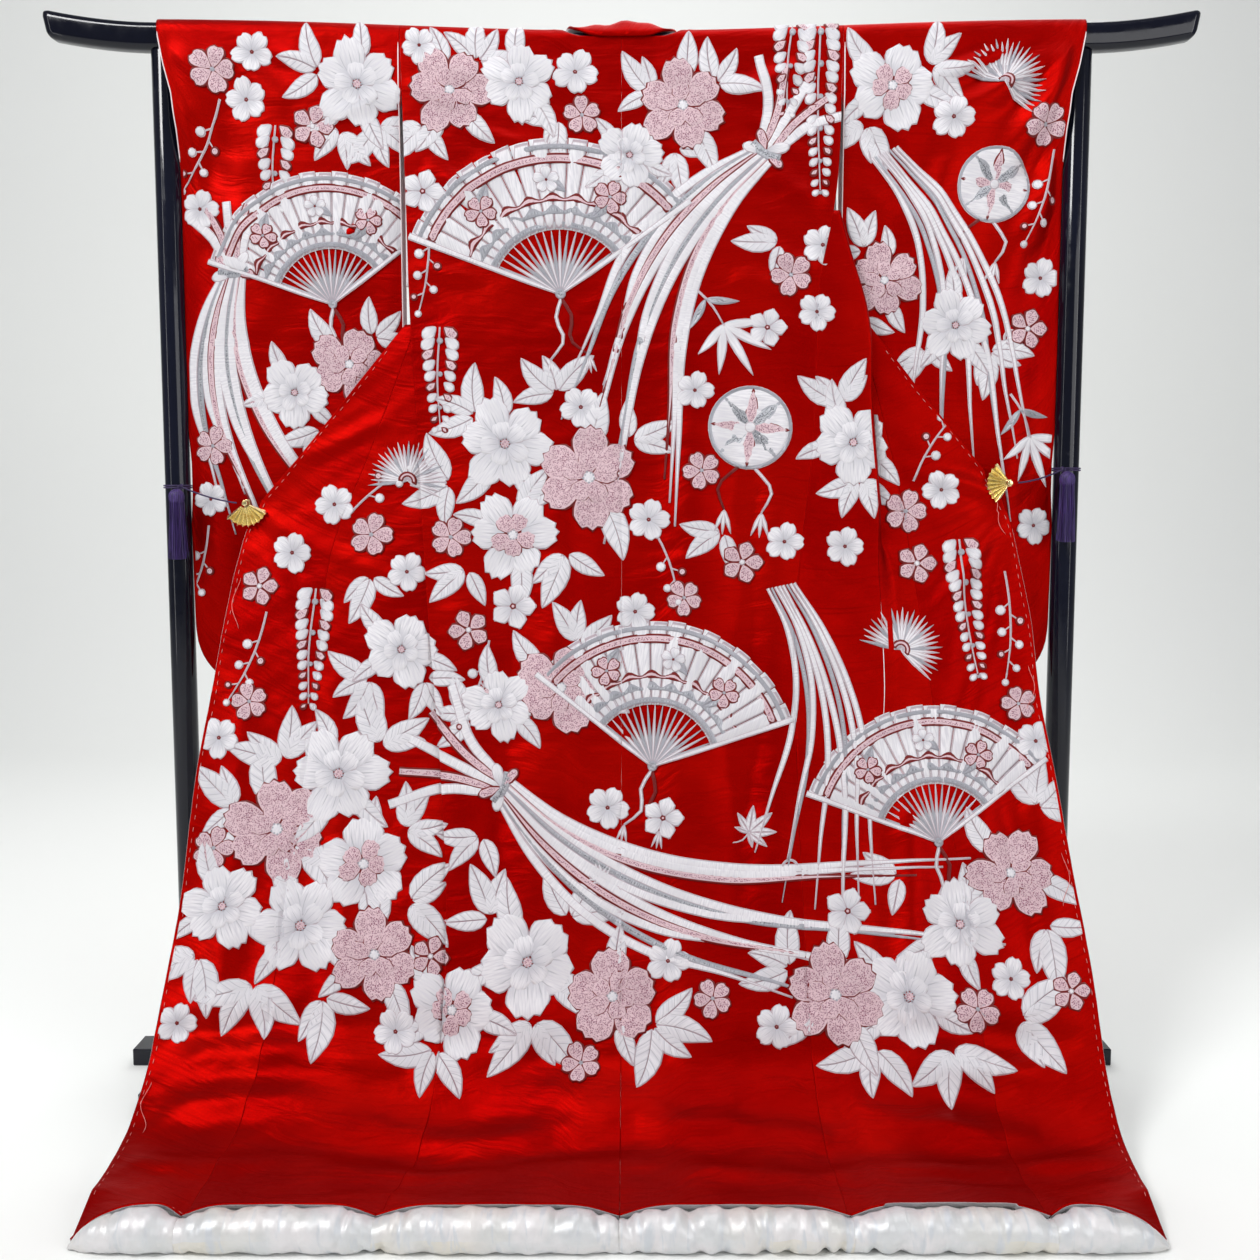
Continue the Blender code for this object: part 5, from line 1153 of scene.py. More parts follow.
# Each motif: kind, signed x, distance down, direction in degrees from +x turning down, and size.
SPREAD_MOTIFS = (
    # upper left of the back: a fan below a row of flowers
    ("fan", -0.09, 0.372, -98, 0.235), ("pink camellia", -0.252, 0.072, 0, 0.128),
    ("camellia", -0.15, 0.058, 30, 0.112),
    ("leaves", -0.3, 0.14, 125, 0.066), ("leaves", -0.205, 0.012, -70, 0.06),
    ("cherry", -0.068, 0.042, 10, 0.07),
    ("pink cherry", -0.058, 0.104, 50, 0.06), ("leaves", -0.11, 0.118, 150, 0.05),
    ("bellflower", -0.292, 0.222, 0, 0.066),
    ("cherry", -0.296, 0.01, 20, 0.056), ("twig", -0.285, 0.262, 84, 0.13),
    # upper right: ribbons from the shoulder that cross to the left
    ("pink camellia", 0.09, 0.09, 20, 0.132), ("camellia", 0.012, 0.162, 0, 0.098),
    ("leaves", 0.03, 0.06, -140, 0.06),
    ("leaves", 0.15, 0.045, -50, 0.06), ("leaves", 0.086, 0.172, 70, 0.058),
    ("noshi", 0.212, 0.16, 122, 0.64),
    ("wisteria", 0.292, -0.03, 90, 0.25), ("wisteria", 0.252, -0.032, 94, 0.135),
    ("cherry", 0.296, 0.302, 0, 0.064),
    ("pink cherry", 0.25, 0.345, 30, 0.07), ("cherry", 0.288, 0.402, 10, 0.06),
    ("leaves", 0.215, 0.3, 170, 0.058),
    ("bamboo", 0.15, 0.42, 60, 0.085), ("bellflower", 0.215, 0.425, 0, 0.06),
    # middle left of the back: a large cluster
    ("wisteria", -0.268, 0.425, 90, 0.15), ("leaves", -0.105, 0.508, -120, 0.064),
    ("leaves", -0.232, 0.548, -150, 0.066),
    ("leaves", 0.03, 0.585, -30, 0.064), ("leaves", -0.272, 0.662, 170, 0.066),
    ("leaves", -0.085, 0.78, 100, 0.072),
    ("leaves", -0.24, 0.8, 130, 0.062), ("camellia", -0.172, 0.6, 10, 0.138),
    ("pink camellia", -0.048, 0.65, 30, 0.152),
    ("mixed camellia", -0.16, 0.735, 60, 0.13), ("pink cherry", -0.252, 0.738, 0, 0.066),
    ("cherry", -0.06, 0.545, 20, 0.066),
    ("cherry", 0.04, 0.712, 0, 0.066), ("twig", 0.052, 0.735, 60, 0.09), ("bellflower", -0.16, 0.84, 0, 0.07),
    ("pink bellflower", -0.225, 0.875, 30, 0.064), ("twig", -0.195, 0.89, 96, 0.12),
    # middle right
    ("ball", 0.19, 0.575, 95, 0.125), ("cherry", 0.108, 0.52, 0, 0.06),
    ("pink cherry", 0.118, 0.64, 30, 0.062),
    ("cherry", 0.24, 0.745, 0, 0.06), ("leaves", 0.135, 0.742, 140, 0.06),
    ("pink bellflower", 0.178, 0.775, 0, 0.066),
    ("stream", 0.235, 0.81, 78, 0.56),
    # lower middle: a second fan, and ribbons from the left towards the right hem
    ("fan", 0.045, 1.075, -80, 0.215), ("pink camellia", -0.088, 0.96, 0, 0.132),
    ("camellia", -0.18, 0.985, 20, 0.105),
    ("leaves", -0.055, 0.88, -60, 0.062), ("leaves", -0.24, 1.0, -170, 0.058),
    ("cherry", 0.02, 0.848, 0, 0.062),
    ("pink cherry", 0.092, 0.828, 20, 0.058), ("noshi", -0.175, 1.105, 27, 0.76),
    ("cherry", -0.02, 1.135, 10, 0.066),
    ("bellflower", 0.06, 1.15, 0, 0.062), ("leaves", -0.215, 1.19, 130, 0.06),
    ("maple", 0.185, 1.17, -40, 0.082),
    ("leaves", -0.065, 1.275, -60, 0.072), ("leaves", -0.195, 1.275, -120, 0.07),
    ("leaves", 0.06, 1.45, 30, 0.074),
    ("leaves", -0.125, 1.45, 100, 0.074), ("leaves", -0.265, 1.48, 110, 0.066),
    ("camellia", -0.132, 1.352, 20, 0.142),
    ("pink camellia", -0.012, 1.402, 50, 0.132), ("mixed camellia", -0.236, 1.412, 0, 0.12),
    ("pink cherry", -0.055, 1.49, 30, 0.062),
    ("cherry", 0.066, 1.352, 0, 0.066), ("pink cherry", 0.128, 1.405, 30, 0.06),
    ("maple", -0.03, 1.24, -100, 0.07),
    # left front and overlap
    ("pine", -0.318, 0.655, -80, 0.12), ("pink cherry", -0.372, 0.735, 0, 0.07),
    ("cherry", -0.428, 0.69, 30, 0.064),
    ("twig", -0.405, 0.705, -50, 0.1), ("cherry", -0.318, 0.79, 10, 0.062),
    ("leaves", -0.375, 0.815, 100, 0.062),
    ("cherry", -0.492, 0.762, 0, 0.064), ("pink bellflower", -0.54, 0.812, 0, 0.062),
    ("twig", -0.528, 0.85, 100, 0.13),
    ("wisteria", -0.455, 0.815, 92, 0.17), ("camellia", -0.325, 0.905, 0, 0.112),
    ("leaves", -0.28, 0.965, 60, 0.058),
    ("leaves", -0.385, 0.96, 140, 0.062), ("leaves", -0.5, 1.052, -110, 0.072),
    ("leaves", -0.575, 1.128, -150, 0.072),
    ("leaves", -0.345, 1.03, -60, 0.068), ("leaves", -0.612, 1.362, 130, 0.074),
    ("leaves", -0.52, 1.405, 100, 0.078),
    ("leaves", -0.415, 1.425, 80, 0.074), ("leaves", -0.285, 1.275, 10, 0.066),
    ("leaves", -0.298, 1.16, -30, 0.06),
    ("camellia", -0.412, 1.088, 0, 0.142), ("pink camellia", -0.5, 1.168, 20, 0.15),
    ("mixed camellia", -0.372, 1.218, 50, 0.132),
    ("camellia", -0.458, 1.305, 0, 0.14), ("pink camellia", -0.35, 1.345, 20, 0.13),
    ("camellia", -0.57, 1.278, 10, 0.12),
    ("pink cherry", -0.59, 1.195, 0, 0.066), ("cherry", -0.59, 1.035, 20, 0.064),
    ("pink cherry", -0.548, 0.982, 40, 0.06),
    ("cherry", -0.315, 1.445, 20, 0.064), ("pink bellflower", -0.27, 1.345, 0, 0.058),
    ("cherry", -0.62, 1.44, 0, 0.058),
    # right front and overlap
    ("leaves", 0.322, 0.52, -95, 0.06), ("camellia", 0.342, 0.598, 20, 0.118),
    ("leaves", 0.35, 0.67, 95, 0.06),
    ("pink cherry", 0.424, 0.7, 0, 0.07), ("cherry", 0.478, 0.668, 30, 0.062),
    ("twig", 0.436, 0.655, -70, 0.11),
    ("wisteria", 0.505, 0.742, 84, 0.2), ("cherry", 0.33, 0.752, 0, 0.062),
    ("pink bellflower", 0.44, 0.778, 0, 0.064),
    ("twig", 0.572, 0.79, 80, 0.15), ("pine", 0.412, 0.905, -60, 0.125), ("fan", 0.458, 1.185, -98, 0.2),
    ("leaves", 0.612, 1.12, -60, 0.068), ("leaves", 0.61, 1.32, 70, 0.072),
    ("leaves", 0.38, 1.235, 170, 0.06),
    ("pink camellia", 0.56, 1.228, 0, 0.128), ("camellia", 0.482, 1.3, 30, 0.122),
    ("cherry", 0.606, 1.04, 10, 0.062),
    ("pink cherry", 0.584, 0.985, 40, 0.056), ("leaves", 0.575, 1.43, 20, 0.074),
    ("leaves", 0.462, 1.482, 75, 0.076),
    ("leaves", 0.345, 1.488, 105, 0.07), ("leaves", 0.222, 1.352, -150, 0.066),
    ("pink camellia", 0.3, 1.398, 20, 0.142),
    ("camellia", 0.402, 1.4, 0, 0.136), ("pink cherry", 0.498, 1.412, 20, 0.066),
    ("cherry", 0.548, 1.372, 0, 0.06),
    ("cherry", 0.216, 1.442, 0, 0.064), ("bellflower", 0.322, 1.282, 0, 0.068),
    ("pink bellflower", 0.63, 1.392, 0, 0.058),
)
SLEEVE_MOTIFS = {
    "left": (
        ("pink cherry", -0.6, 0.052, 0, 0.074), ("cherry", -0.542, 0.026, 20, 0.062),
        ("cherry", -0.552, 0.094, 40, 0.066),
        ("twig", -0.59, 0.095, 105, 0.13), ("camellia", -0.388, 0.068, 20, 0.128),
        ("leaves", -0.352, 0.142, 60, 0.062),
        ("leaves", -0.462, 0.045, -160, 0.062), ("pink bellflower", -0.455, 0.13, 0, 0.066),
        ("leaves", -0.42, 0.15, 110, 0.056),
        ("fan", -0.432, 0.388, -100, 0.195), ("wisteria", -0.51, 0.13, 92, 0.13),
        ("noshi", -0.58, 0.34, 86, 0.5),
        ("pink camellia", -0.408, 0.478, 0, 0.118), ("leaves", -0.358, 0.425, -40, 0.056),
        ("camellia", -0.492, 0.52, 20, 0.104),
        ("leaves", -0.46, 0.592, 110, 0.062), ("cherry", -0.628, 0.25, 0, 0.06),
        ("pink cherry", -0.618, 0.6, 0, 0.064),
        ("cherry", -0.625, 0.68, 30, 0.056), ("twig", -0.63, 0.72, 95, 0.11),
    ),
    "right": (
        ("mixed camellia", 0.398, 0.07, 0, 0.126), ("leaves", 0.352, 0.14, 120, 0.062),
        ("leaves", 0.47, 0.04, -20, 0.062),
        ("pine", 0.56, 0.07, -60, 0.125), ("cherry", 0.488, 0.118, 0, 0.066),
        ("pink cherry", 0.625, 0.13, 20, 0.066),
        ("twig", 0.64, 0.165, 95, 0.13), ("ball", 0.552, 0.215, 100, 0.11), ("stream", 0.388, 0.165, 66, 0.6),
        ("pink camellia", 0.392, 0.352, 20, 0.112), ("leaves", 0.352, 0.29, -120, 0.058),
        ("leaves", 0.355, 0.425, 100, 0.056),
        ("cherry", 0.628, 0.35, 0, 0.062), ("pink bellflower", 0.61, 0.425, 0, 0.064),
        ("camellia", 0.5, 0.42, 10, 0.108),
        ("leaves", 0.45, 0.47, 110, 0.058), ("leaves", 0.56, 0.475, 60, 0.058),
        ("bamboo", 0.618, 0.585, 70, 0.078),
        ("cherry", 0.628, 0.72, 10, 0.06),
    ),
}
REAR_MOTIFS = (
    ("fan", 0.475, 0.365, -82, 0.215), ("pink cherry", 0.4, 0.085, 0, 0.072),
    ("cherry", 0.462, 0.062, 30, 0.064),
    ("camellia", 0.575, 0.09, 0, 0.126), ("leaves", 0.632, 0.16, 50, 0.062),
    ("leaves", 0.505, 0.045, -160, 0.058),
    ("twig", 0.372, 0.14, 80, 0.13), ("pink camellia", 0.4, 0.475, 10, 0.122),
    ("leaves", 0.456, 0.532, 40, 0.062),
    ("leaves", 0.352, 0.545, 130, 0.058), ("cherry", 0.57, 0.44, 10, 0.066),
    ("noshi", 0.548, 0.545, 96, 0.37),
    ("pine", 0.39, 0.69, 70, 0.12), ("pink cherry", 0.385, 0.8, 0, 0.064), ("cherry", 0.432, 0.85, 20, 0.06),
    ("wisteria", 0.628, 0.25, 88, 0.16), ("bellflower", 0.63, 0.48, 0, 0.06),
)
SHOULDER_MOTIFS = (
    ("mixed camellia", 0.25, 0.085, 0, 0.112), ("leaves", 0.196, 0.055, -150, 0.058),
    ("leaves", 0.288, 0.15, 60, 0.058),
    ("pink cherry", 0.205, 0.15, 0, 0.064), ("twig", 0.25, 0.18, 95, 0.11), ("cherry", 0.292, 0.02, 0, 0.056),
)


def draw(motifs, sign=1.0):
    """Draws a list of motifs on flat cloth, mirrored where sign is -1. Leaves lie lowest; other motifs lie at
    levels that step up through each run of five.
    """
    drawing = Drawing()
    for number, (kind, x, down, degrees, size) in enumerate(motifs):
        turn = math.radians(degrees if sign > 0 else 180 - degrees)
        level = 0.0 if kind == "leaves" else 0.8 + 0.4 * (number % 5)
        MOTIFS[kind](Pen(drawing, sign * x, down, turn, level, sign), size)
    return drawing


def cut_away(corners, gap):
    """The part of a polygon where the gap is positive."""
    kept = []
    for i in range(len(corners)):
        if (gap[i - 1] > 0) != (gap[i] > 0):
            kept.append(corners[i - 1] + (corners[i] - corners[i - 1]) * gap[i - 1] / (gap[i - 1] - gap[i]))
        if gap[i] > 0:
            kept.append(corners[i])
    return np.array(kept)


def lay_embroidery(name, drawing, side, inner, outer, low, high, surface, rear=False, covered=None):
    """Puts the part of a drawing that lies on one panel onto it, cut at the seams and sunk into them."""
    sign = -1.0 if side == "left" else 1.0
    corners = np.concatenate(drawing.corners) * np.array((sign, 1, 1, 1, 1, 1, 1, 1))
    faces, looks = np.concatenate(drawing.faces), np.concatenate(drawing.looks)

    def gaps(rows):
        x, down = rows[:, 0], rows[:, 1]
        return np.stack([x - inner(down), outer(down) - x, down - low(x), high - down])

    within = gaps(corners)[:, faces] > 0
    near = within.any(axis=2).all(axis=0)
    if covered is not None:
        near &= ~covered(*corners[faces, :2].mean(axis=1).T)
    whole = within.all(axis=(0, 2)) & near
    used, packed = np.unique(faces[whole], return_inverse=True)
    rows, polygons = [corners[used]], packed.reshape(-1, 4).tolist()
    looks_kept = looks[whole].tolist()
    count = len(used)
    for number in np.nonzero(near & ~whole)[0]:
        polygon = corners[faces[number]]
        for k in range(4):
            if len(polygon) > 2:
                polygon = cut_away(polygon, gaps(polygon)[k])
        if len(polygon) > 2:
            rows.append(polygon)
            polygons.append(list(range(count, count + len(polygon))))
            looks_kept.append(int(looks[number]))
            count += len(polygon)
    rows = np.concatenate(rows)
    settled = np.clip(gaps(rows).min(axis=0) / SEAM_FADE, 0.0, 1.0)
    lift = np.where(rows[:, 2] > 0, 0.0002 + (rows[:, 2] - 0.0002) * settled, rows[:, 2])
    points = surface(rows[:, 0], rows[:, 1], lift)
    if rear:
        polygons = [polygon[::-1] for polygon in polygons]
    mesh = bpy.data.meshes.new(name)
    mesh.from_pydata(points.tolist(), [], polygons)
    loops = np.array([corner for polygon in polygons for corner in polygon])
    for label, first in (("Stitch", 4), ("Shape", 6)):
        layer = mesh.uv_layers.new(name=label)
        layer.data.foreach_set("uv", rows[loops, first : first + 2].reshape(-1).astype(np.float32))
    mesh.attributes.new("rim", "FLOAT", "POINT").data.foreach_set("value", rows[:, 3].astype(np.float32))
    mesh.polygons.foreach_set("material_index", np.array(looks_kept, np.int32))
    mesh.validate()
    made = add_object(name, mesh, STITCH_LOOKS)
    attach(made, "root")
    return made


def even(value):
    return lambda down: np.full(np.shape(down), value)


def embroider():
    """Every embroidered panel's needlework, by the name of the panel's node."""
    on_spread = draw(SPREAD_MOTIFS)
    made = {}
    for side in ("left", "right"):
        sign = -1.0 if side == "left" else 1.0
        side_seam = lambda down, side=side: curved(SIDE_SEAM[side], np.maximum(down, 0.0))
        overlap_seam = lambda down, side=side: curved(OVERLAP_SEAM[side],
                                                      np.maximum(down, OVERLAP_SEAM[side][0][0]))
        edge = lambda down, side=side: front_edge(side, np.maximum(down, 0.419)) - 0.004
        made["back_panel_" + side] = lay_embroidery(
            "embroidery_back_" + side, on_spread, side, even(SEAM_GAP / 2), side_seam,
            lambda x: top_cut(x) + 0.001, 1.7,
            lambda x, down, lift: back_at(side, x, down, lift))
        made["overlap_panel_" + side] = lay_embroidery(
            "embroidery_overlap_" + side, on_spread, side, overlap_seam, edge, even(0.44), 1.7,
            lambda x, down, lift: overlap_at(side, x, down, lift))
        sleeve_edge = lambda down: straight(SLEEVE_EDGE, TOP_Z - down) - 0.004
        sleeve_seam = lambda down, side=side: sleeve_inner(side, TOP_Z - down) + 0.002
        sleeve_end = TOP_Z - SLEEVE_BOTTOM - 0.02
        hidden = lambda x, down: (down > 0.45) & (x < front_edge(side, np.maximum(down, 0.419)) - 0.015)
        made["sleeve_" + side] = lay_embroidery(
            "embroidery_sleeve_" + side, draw(SLEEVE_MOTIFS[side]), side, sleeve_seam, sleeve_edge,
            even(-OVER_BAR),
            sleeve_end, lambda x, down, lift: sleeve_at(side, x, down, lift), covered=hidden)
        made["sleeve_rear_" + side] = lay_embroidery(
            "embroidery_sleeve_rear_" + side, draw(REAR_MOTIFS, sign), side, sleeve_seam, sleeve_edge,
            even(-OVER_BAR),
            sleeve_end, lambda x, down, lift: sleeve_at(side, x, down, lift, True), rear=True)
        line = lambda down: collar_line(side, TOP_Z - down) + 0.006
        made["front_shoulder_" + side] = lay_embroidery(
            "embroidery_shoulder_" + side, draw(SHOULDER_MOTIFS, sign), side, line, even(0.315), even(0.004),
            0.33,
            lambda x, down, lift: shoulder_at(side, x, down, lift), rear=True)
    made["front_panel_left"] = lay_embroidery(
        "embroidery_front_left", on_spread, "left", lambda down: curved(SIDE_SEAM["left"], down) + SEAM_GAP,
        lambda down: curved(OVERLAP_SEAM["left"], down), even(0.5), 1.7, left_front_at)
    made["front_panel_right"] = lay_embroidery(
        "embroidery_front_right", on_spread, "right",
        lambda down: curved(SIDE_SEAM["right"], down) + SEAM_GAP,
        lambda down: curved(PLEAT_EDGE, down) - np.where(down < PLEAT_END, 0.003, 0.0), even(0.33), 1.7,
        right_front_at)
    made["front_panel_right_outer"] = lay_embroidery(
        "embroidery_front_right_outer", on_spread, "right",
        lambda down: curved(PLEAT_EDGE, down) + np.where(down < PLEAT_END, 0.005, 0.0),
        lambda down: curved(OVERLAP_SEAM["right"], down), even(0.46), 1.7, right_front_at)
    return made


# ------------------------------------------------------------------ cloth pieces


NEAR_EDGE = 0.0012
THIN_SHARE = 0.04
PLEAT_COLUMNS = (11, 51)


def select_only(made):
    bpy.ops.object.select_all(action="DESELECT")
    made.select_set(True)
    bpy.context.view_layer.objects.active = made


def add_object(name, mesh, looks):
    made = bpy.data.objects.new(name, mesh)
    bpy.context.scene.collection.objects.link(made)
    for look in looks:
        mesh.materials.append(LOOKS[look])
    mesh.shade_smooth()
    return made


def arc_lengths(points, axis):
    steps = np.linalg.norm(np.diff(points, axis=axis), axis=-1)
    total = np.cumsum(steps, axis=axis)
    return np.concatenate([np.zeros_like(np.take(total, [0], axis=axis)), total], axis=axis)


def grid_mesh(name, points, towards, ring=False):
    """A mesh of quads through a grid of points, whose outer side faces a direction, with UVs in metres."""
    rows, columns = points.shape[:2]
    uv_v = arc_lengths(points, 0)
    uv_u = arc_lengths(points, 1)
    index = np.arange(rows * columns).reshape(rows, columns)
    if ring:
        index = np.vstack([index, index[:1]])
        closing = np.linalg.norm(points[0] - points[-1], axis=-1)[None]
        uv_v = np.vstack([uv_v, uv_v[-1:] + closing])
        uv_u = np.vstack([uv_u, uv_u[:1]])
    quads = np.stack([index[:-1, :-1], index[:-1, 1:], index[1:, 1:], index[1:, :-1]], axis=-1).reshape(-1, 4)
    u = np.stack([uv_u[:-1, :-1], uv_u[:-1, 1:], uv_u[1:, 1:], uv_u[1:, :-1]], axis=-1).reshape(-1, 4)
    v = np.stack([uv_v[:-1, :-1], uv_v[:-1, 1:], uv_v[1:, 1:], uv_v[1:, :-1]], axis=-1).reshape(-1, 4)
    flat = points.reshape(-1, 3)
    k = (rows // 3) * (columns - 1) + (columns - 1) // 2 if not ring else columns // 2
    a, b, c = flat[quads[k, 0]], flat[quads[k, 1]], flat[quads[k, 2]]
    if np.dot(np.cross(b - a, c - b), towards) < 0:
        quads, u, v = quads[:, ::-1], u[:, ::-1], v[:, ::-1]
    mesh = bpy.data.meshes.new(name)
    mesh.from_pydata(flat.tolist(), [], quads.tolist())
    layer = mesh.uv_layers.new(name="Cloth")
    layer.data.foreach_set("uv", np.stack([u, v], axis=-1).reshape(-1).astype(np.float32))
    return mesh


def cloth_piece(node, points, towards, with_pieces=(), wall=WALL, offset=-1.0, ring=False,
                thin_columns=None):
    mesh = grid_mesh(node + "_silk", points, towards, ring)
    made = add_object(node + "_silk", mesh, ("red_silk", "lining", "lining" if ring else "red_silk"))
    thick = made.modifiers.new("Padded wall", "SOLIDIFY")
    thick.thickness = wall
    thick.offset = offset
    thick.use_even_offset = False
    thick.material_offset = 1
    thick.material_offset_rim = 2
    if thin_columns:
        column = np.arange(len(mesh.vertices)) % points.shape[1]
        full = made.vertex_groups.new(name="Full wall")
        full.add(np.nonzero((column < thin_columns[0]) | (column > thin_columns[1]))[0].tolist(), 1.0,
                 "REPLACE")
        thick.vertex_group = full.name
        thick.thickness_vertex_group = THIN_SHARE
    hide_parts(node)
    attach(made, "root")
    return made


def columns_between(inner, outer, count):
    """Columns from edge to edge, with one close inside each edge so that the shading turns only there."""
    width = (outer - inner)[:, None]
    near = NEAR_EDGE / width
    even_shares = near + (1 - 2 * near) * np.linspace(0, 1, count)[None]
    return inner[:, None] + width * np.hstack([0 * width, even_shares, 0 * width + 1])


def top_cut(x):
    """Where the back ends over the bar: early under the collar, past the middle of the bar beside it."""
    return -0.011 - 0.026 * ease((x - 0.06) / 0.058)


def back_panel_points(side):
    down = drop_rows(0.0, 206)
    edge = curved(SIDE_SEAM[side], down)
    x = columns_between(np.full(len(down), SEAM_GAP / 2), edge, 54)
    points = back_at(side, x, down[:, None])
    over = []
    top_x = x[0]
    for share in (1.0, 0.8, 0.6, 0.4, 0.2):
        over.append(back_at(side, top_x, top_cut(top_x) * share))
    return np.vstack([np.array(over), points])


def left_front_points():
    down = drop_rows(0.435, 148)
    step = straight(LEFT_STEP, down)
    inner = curved(SIDE_SEAM["left"], down) + SEAM_GAP - LEFT_TUCK * ease((step - 0.0045) / 0.003)
    x = columns_between(inner, curved(OVERLAP_SEAM["left"], down), 34)
    return spread("left", x, down[:, None], share_of("left", x, down[:, None]), step[:, None])


def right_front_points():
    down = drop_rows(0.25, 150)
    inner = curved(SIDE_SEAM["right"], down) + SEAM_GAP
    fold = curved(PLEAT_EDGE, down)
    outer = curved(OVERLAP_SEAM["right"], down)
    folded = pleat_fold(down)
    tuck = np.minimum(PLEAT_TUCK, 0.55 * (fold - inner))
    xs = [inner, (inner + fold - 0.006) / 2]
    depths = [np.zeros_like(down), np.zeros_like(down)]
    for i, (shift, step, depth) in enumerate(PLEAT_SECTION):
        share = i / (len(PLEAT_SECTION) - 1)
        slope_x = fold + PLEAT_OPEN_HALF * (2 * share - 1)
        xs.append((fold + shift * tuck + step) * folded + slope_x * (1 - folded))
        depths.append(depth * folded + ease(share) * (1 - folded))
    xs += [(xs[-1] + outer) / 2, outer]
    depths += [np.ones_like(down), np.ones_like(down)]
    settled = ease((down - PLEAT_END) / 0.5)
    fine = np.concatenate([(0, 0.04), np.linspace(0, 2, 13)[1:], np.linspace(2, 9, 36)[1:],
                           np.linspace(9, 11, 15)[1:-1],
                           (10.965, 11)])
    knots = np.arange(12)
    x = np.zeros((len(down), len(fine)))
    depth = np.zeros_like(x)
    for i in range(len(down)):
        at_hem = inner[i] + (outer[i] - inner[i]) * np.array(RIGHT_HEM_COLUMNS)
        section = np.array([column[i] for column in xs]) * (1 - settled[i]) + at_hem * settled[i]
        x[i] = smooth(knots, section, fine)
        depth[i] = np.clip(smooth(knots, np.array([column[i] for column in depths]), fine), 0, 1)
    down, folded = down[:, None], folded[:, None]
    share = np.where(down > 0.4, share_of("right", x, down), 0.0) * (depth * folded + 1 - folded)
    return spread("right", x, down, share, depth * pleat_depth(down))


def overlap_points(side):
    down = drop_rows(0.42, 150)
    x = columns_between(curved(OVERLAP_SEAM[side], down) + SEAM_GAP, front_edge(side, down), 26)
    return overlap_at(side, x, down[:, None])


def sleeve_points(side):
    """A ring of rows: up the front face, over the bar, down the rear face and along the closed bottom."""
    share = np.concatenate([(0, 0.004), np.linspace(0, 0.9, 40)[1:], np.linspace(0.9, 1.0, 9)[1:-1],
                            (0.996, 1)])
    low = sleeve_low(share)
    steps = np.concatenate([(1 - np.cos(np.linspace(0, np.pi / 2, 7)[1:])) * 0.016,
                            np.linspace(0.016, 1.0, 104)[1:]])
    height = low[None] + (TOP_Z - low)[None] * steps[:, None]
    inner = sleeve_inner(side, height)
    x = inner + (straight(SLEEVE_EDGE, height) - inner) * share[None]
    turns = np.array((0.2, 0.4, 0.6, 0.8, 1.0))[:, None]
    high = TOP_Z + BAR_CROWN * np.sin(turns * math.pi / 2) ** 0.8
    inner = sleeve_inner(side, high)
    over_x = inner + (straight(SLEEVE_EDGE, high) - inner) * share[None]
    rows = [sleeve_at(side, x, TOP_Z - height), sleeve_at(side, over_x, -OVER_BAR * turns)]
    rows += [sleeve_at(side, over_x[:-1], -OVER_BAR * turns[:-1], rear=True)[::-1]]
    rows += [sleeve_at(side, x, TOP_Z - height, rear=True)[::-1]]
    bottom_x = SLEEVE_INNER_X + (straight(SLEEVE_EDGE, low) - SLEEVE_INNER_X) * share
    sign = -1 if side == "left" else 1
    return np.vstack([*rows, placed(sign * bottom_x, 0.0, low)[None]])


def shoulder_points(side):
    sign = -1 if side == "left" else 1
    armhole = ARMHOLE_X - 0.004
    tip_x = armhole - 0.014
    low_x = float(collar_line(side, COLLAR_GAP_HEIGHT))
    tip = (NECK_POINT[1] - (NECK_POINT[1] - COLLAR_GAP_HEIGHT) * (tip_x - NECK_POINT[0])
           / (low_x - NECK_POINT[0]))
    height = np.linspace(TOP_Z, max(tip, 1.205), 44)
    inner = collar_line(side, height) + 0.0028
    share = ease((TOP_Z - height) / 0.15)
    outer = ARMHOLE_X * (1 - share) + armhole * share
    x = columns_between(inner, outer, 26)
    points = shoulder_at(side, x, (TOP_Z - height)[:, None])
    top_x = columns_between(np.array([NECK_X + 0.001]), np.array([ARMHOLE_X]), 26)[0]
    over = []
    for _, forward, high in BAR_WRAP[:3]:
        over.append(placed(sign * top_x, -forward, high))
    return np.vstack([np.array(over), points])


COLLAR_NECK = (
    {"edge": (0.0, 0.025, 1.576), "across": (0.0, -0.052, -0.02), "rise": 0.034},
    {"edge": (0.04, 0.024, 1.5775), "across": (-0.002, -0.0519, -0.022), "rise": 0.032},
    {"edge": (0.066, 0.015, 1.588), "across": (-0.011, -0.045, -0.033), "rise": 0.02},
    {"edge": (0.081, -0.01, 1.5945), "across": (-0.026, -0.0185, -0.046), "rise": 0.01},
    {"edge": (0.089, -0.0245, 1.578), "across": (-0.045, -0.006, -0.048), "rise": 0.0},
)
COLLAR_COLUMNS = 9
COLLAR_WALL = 0.004
COLLAR_WIDTH = 0.07


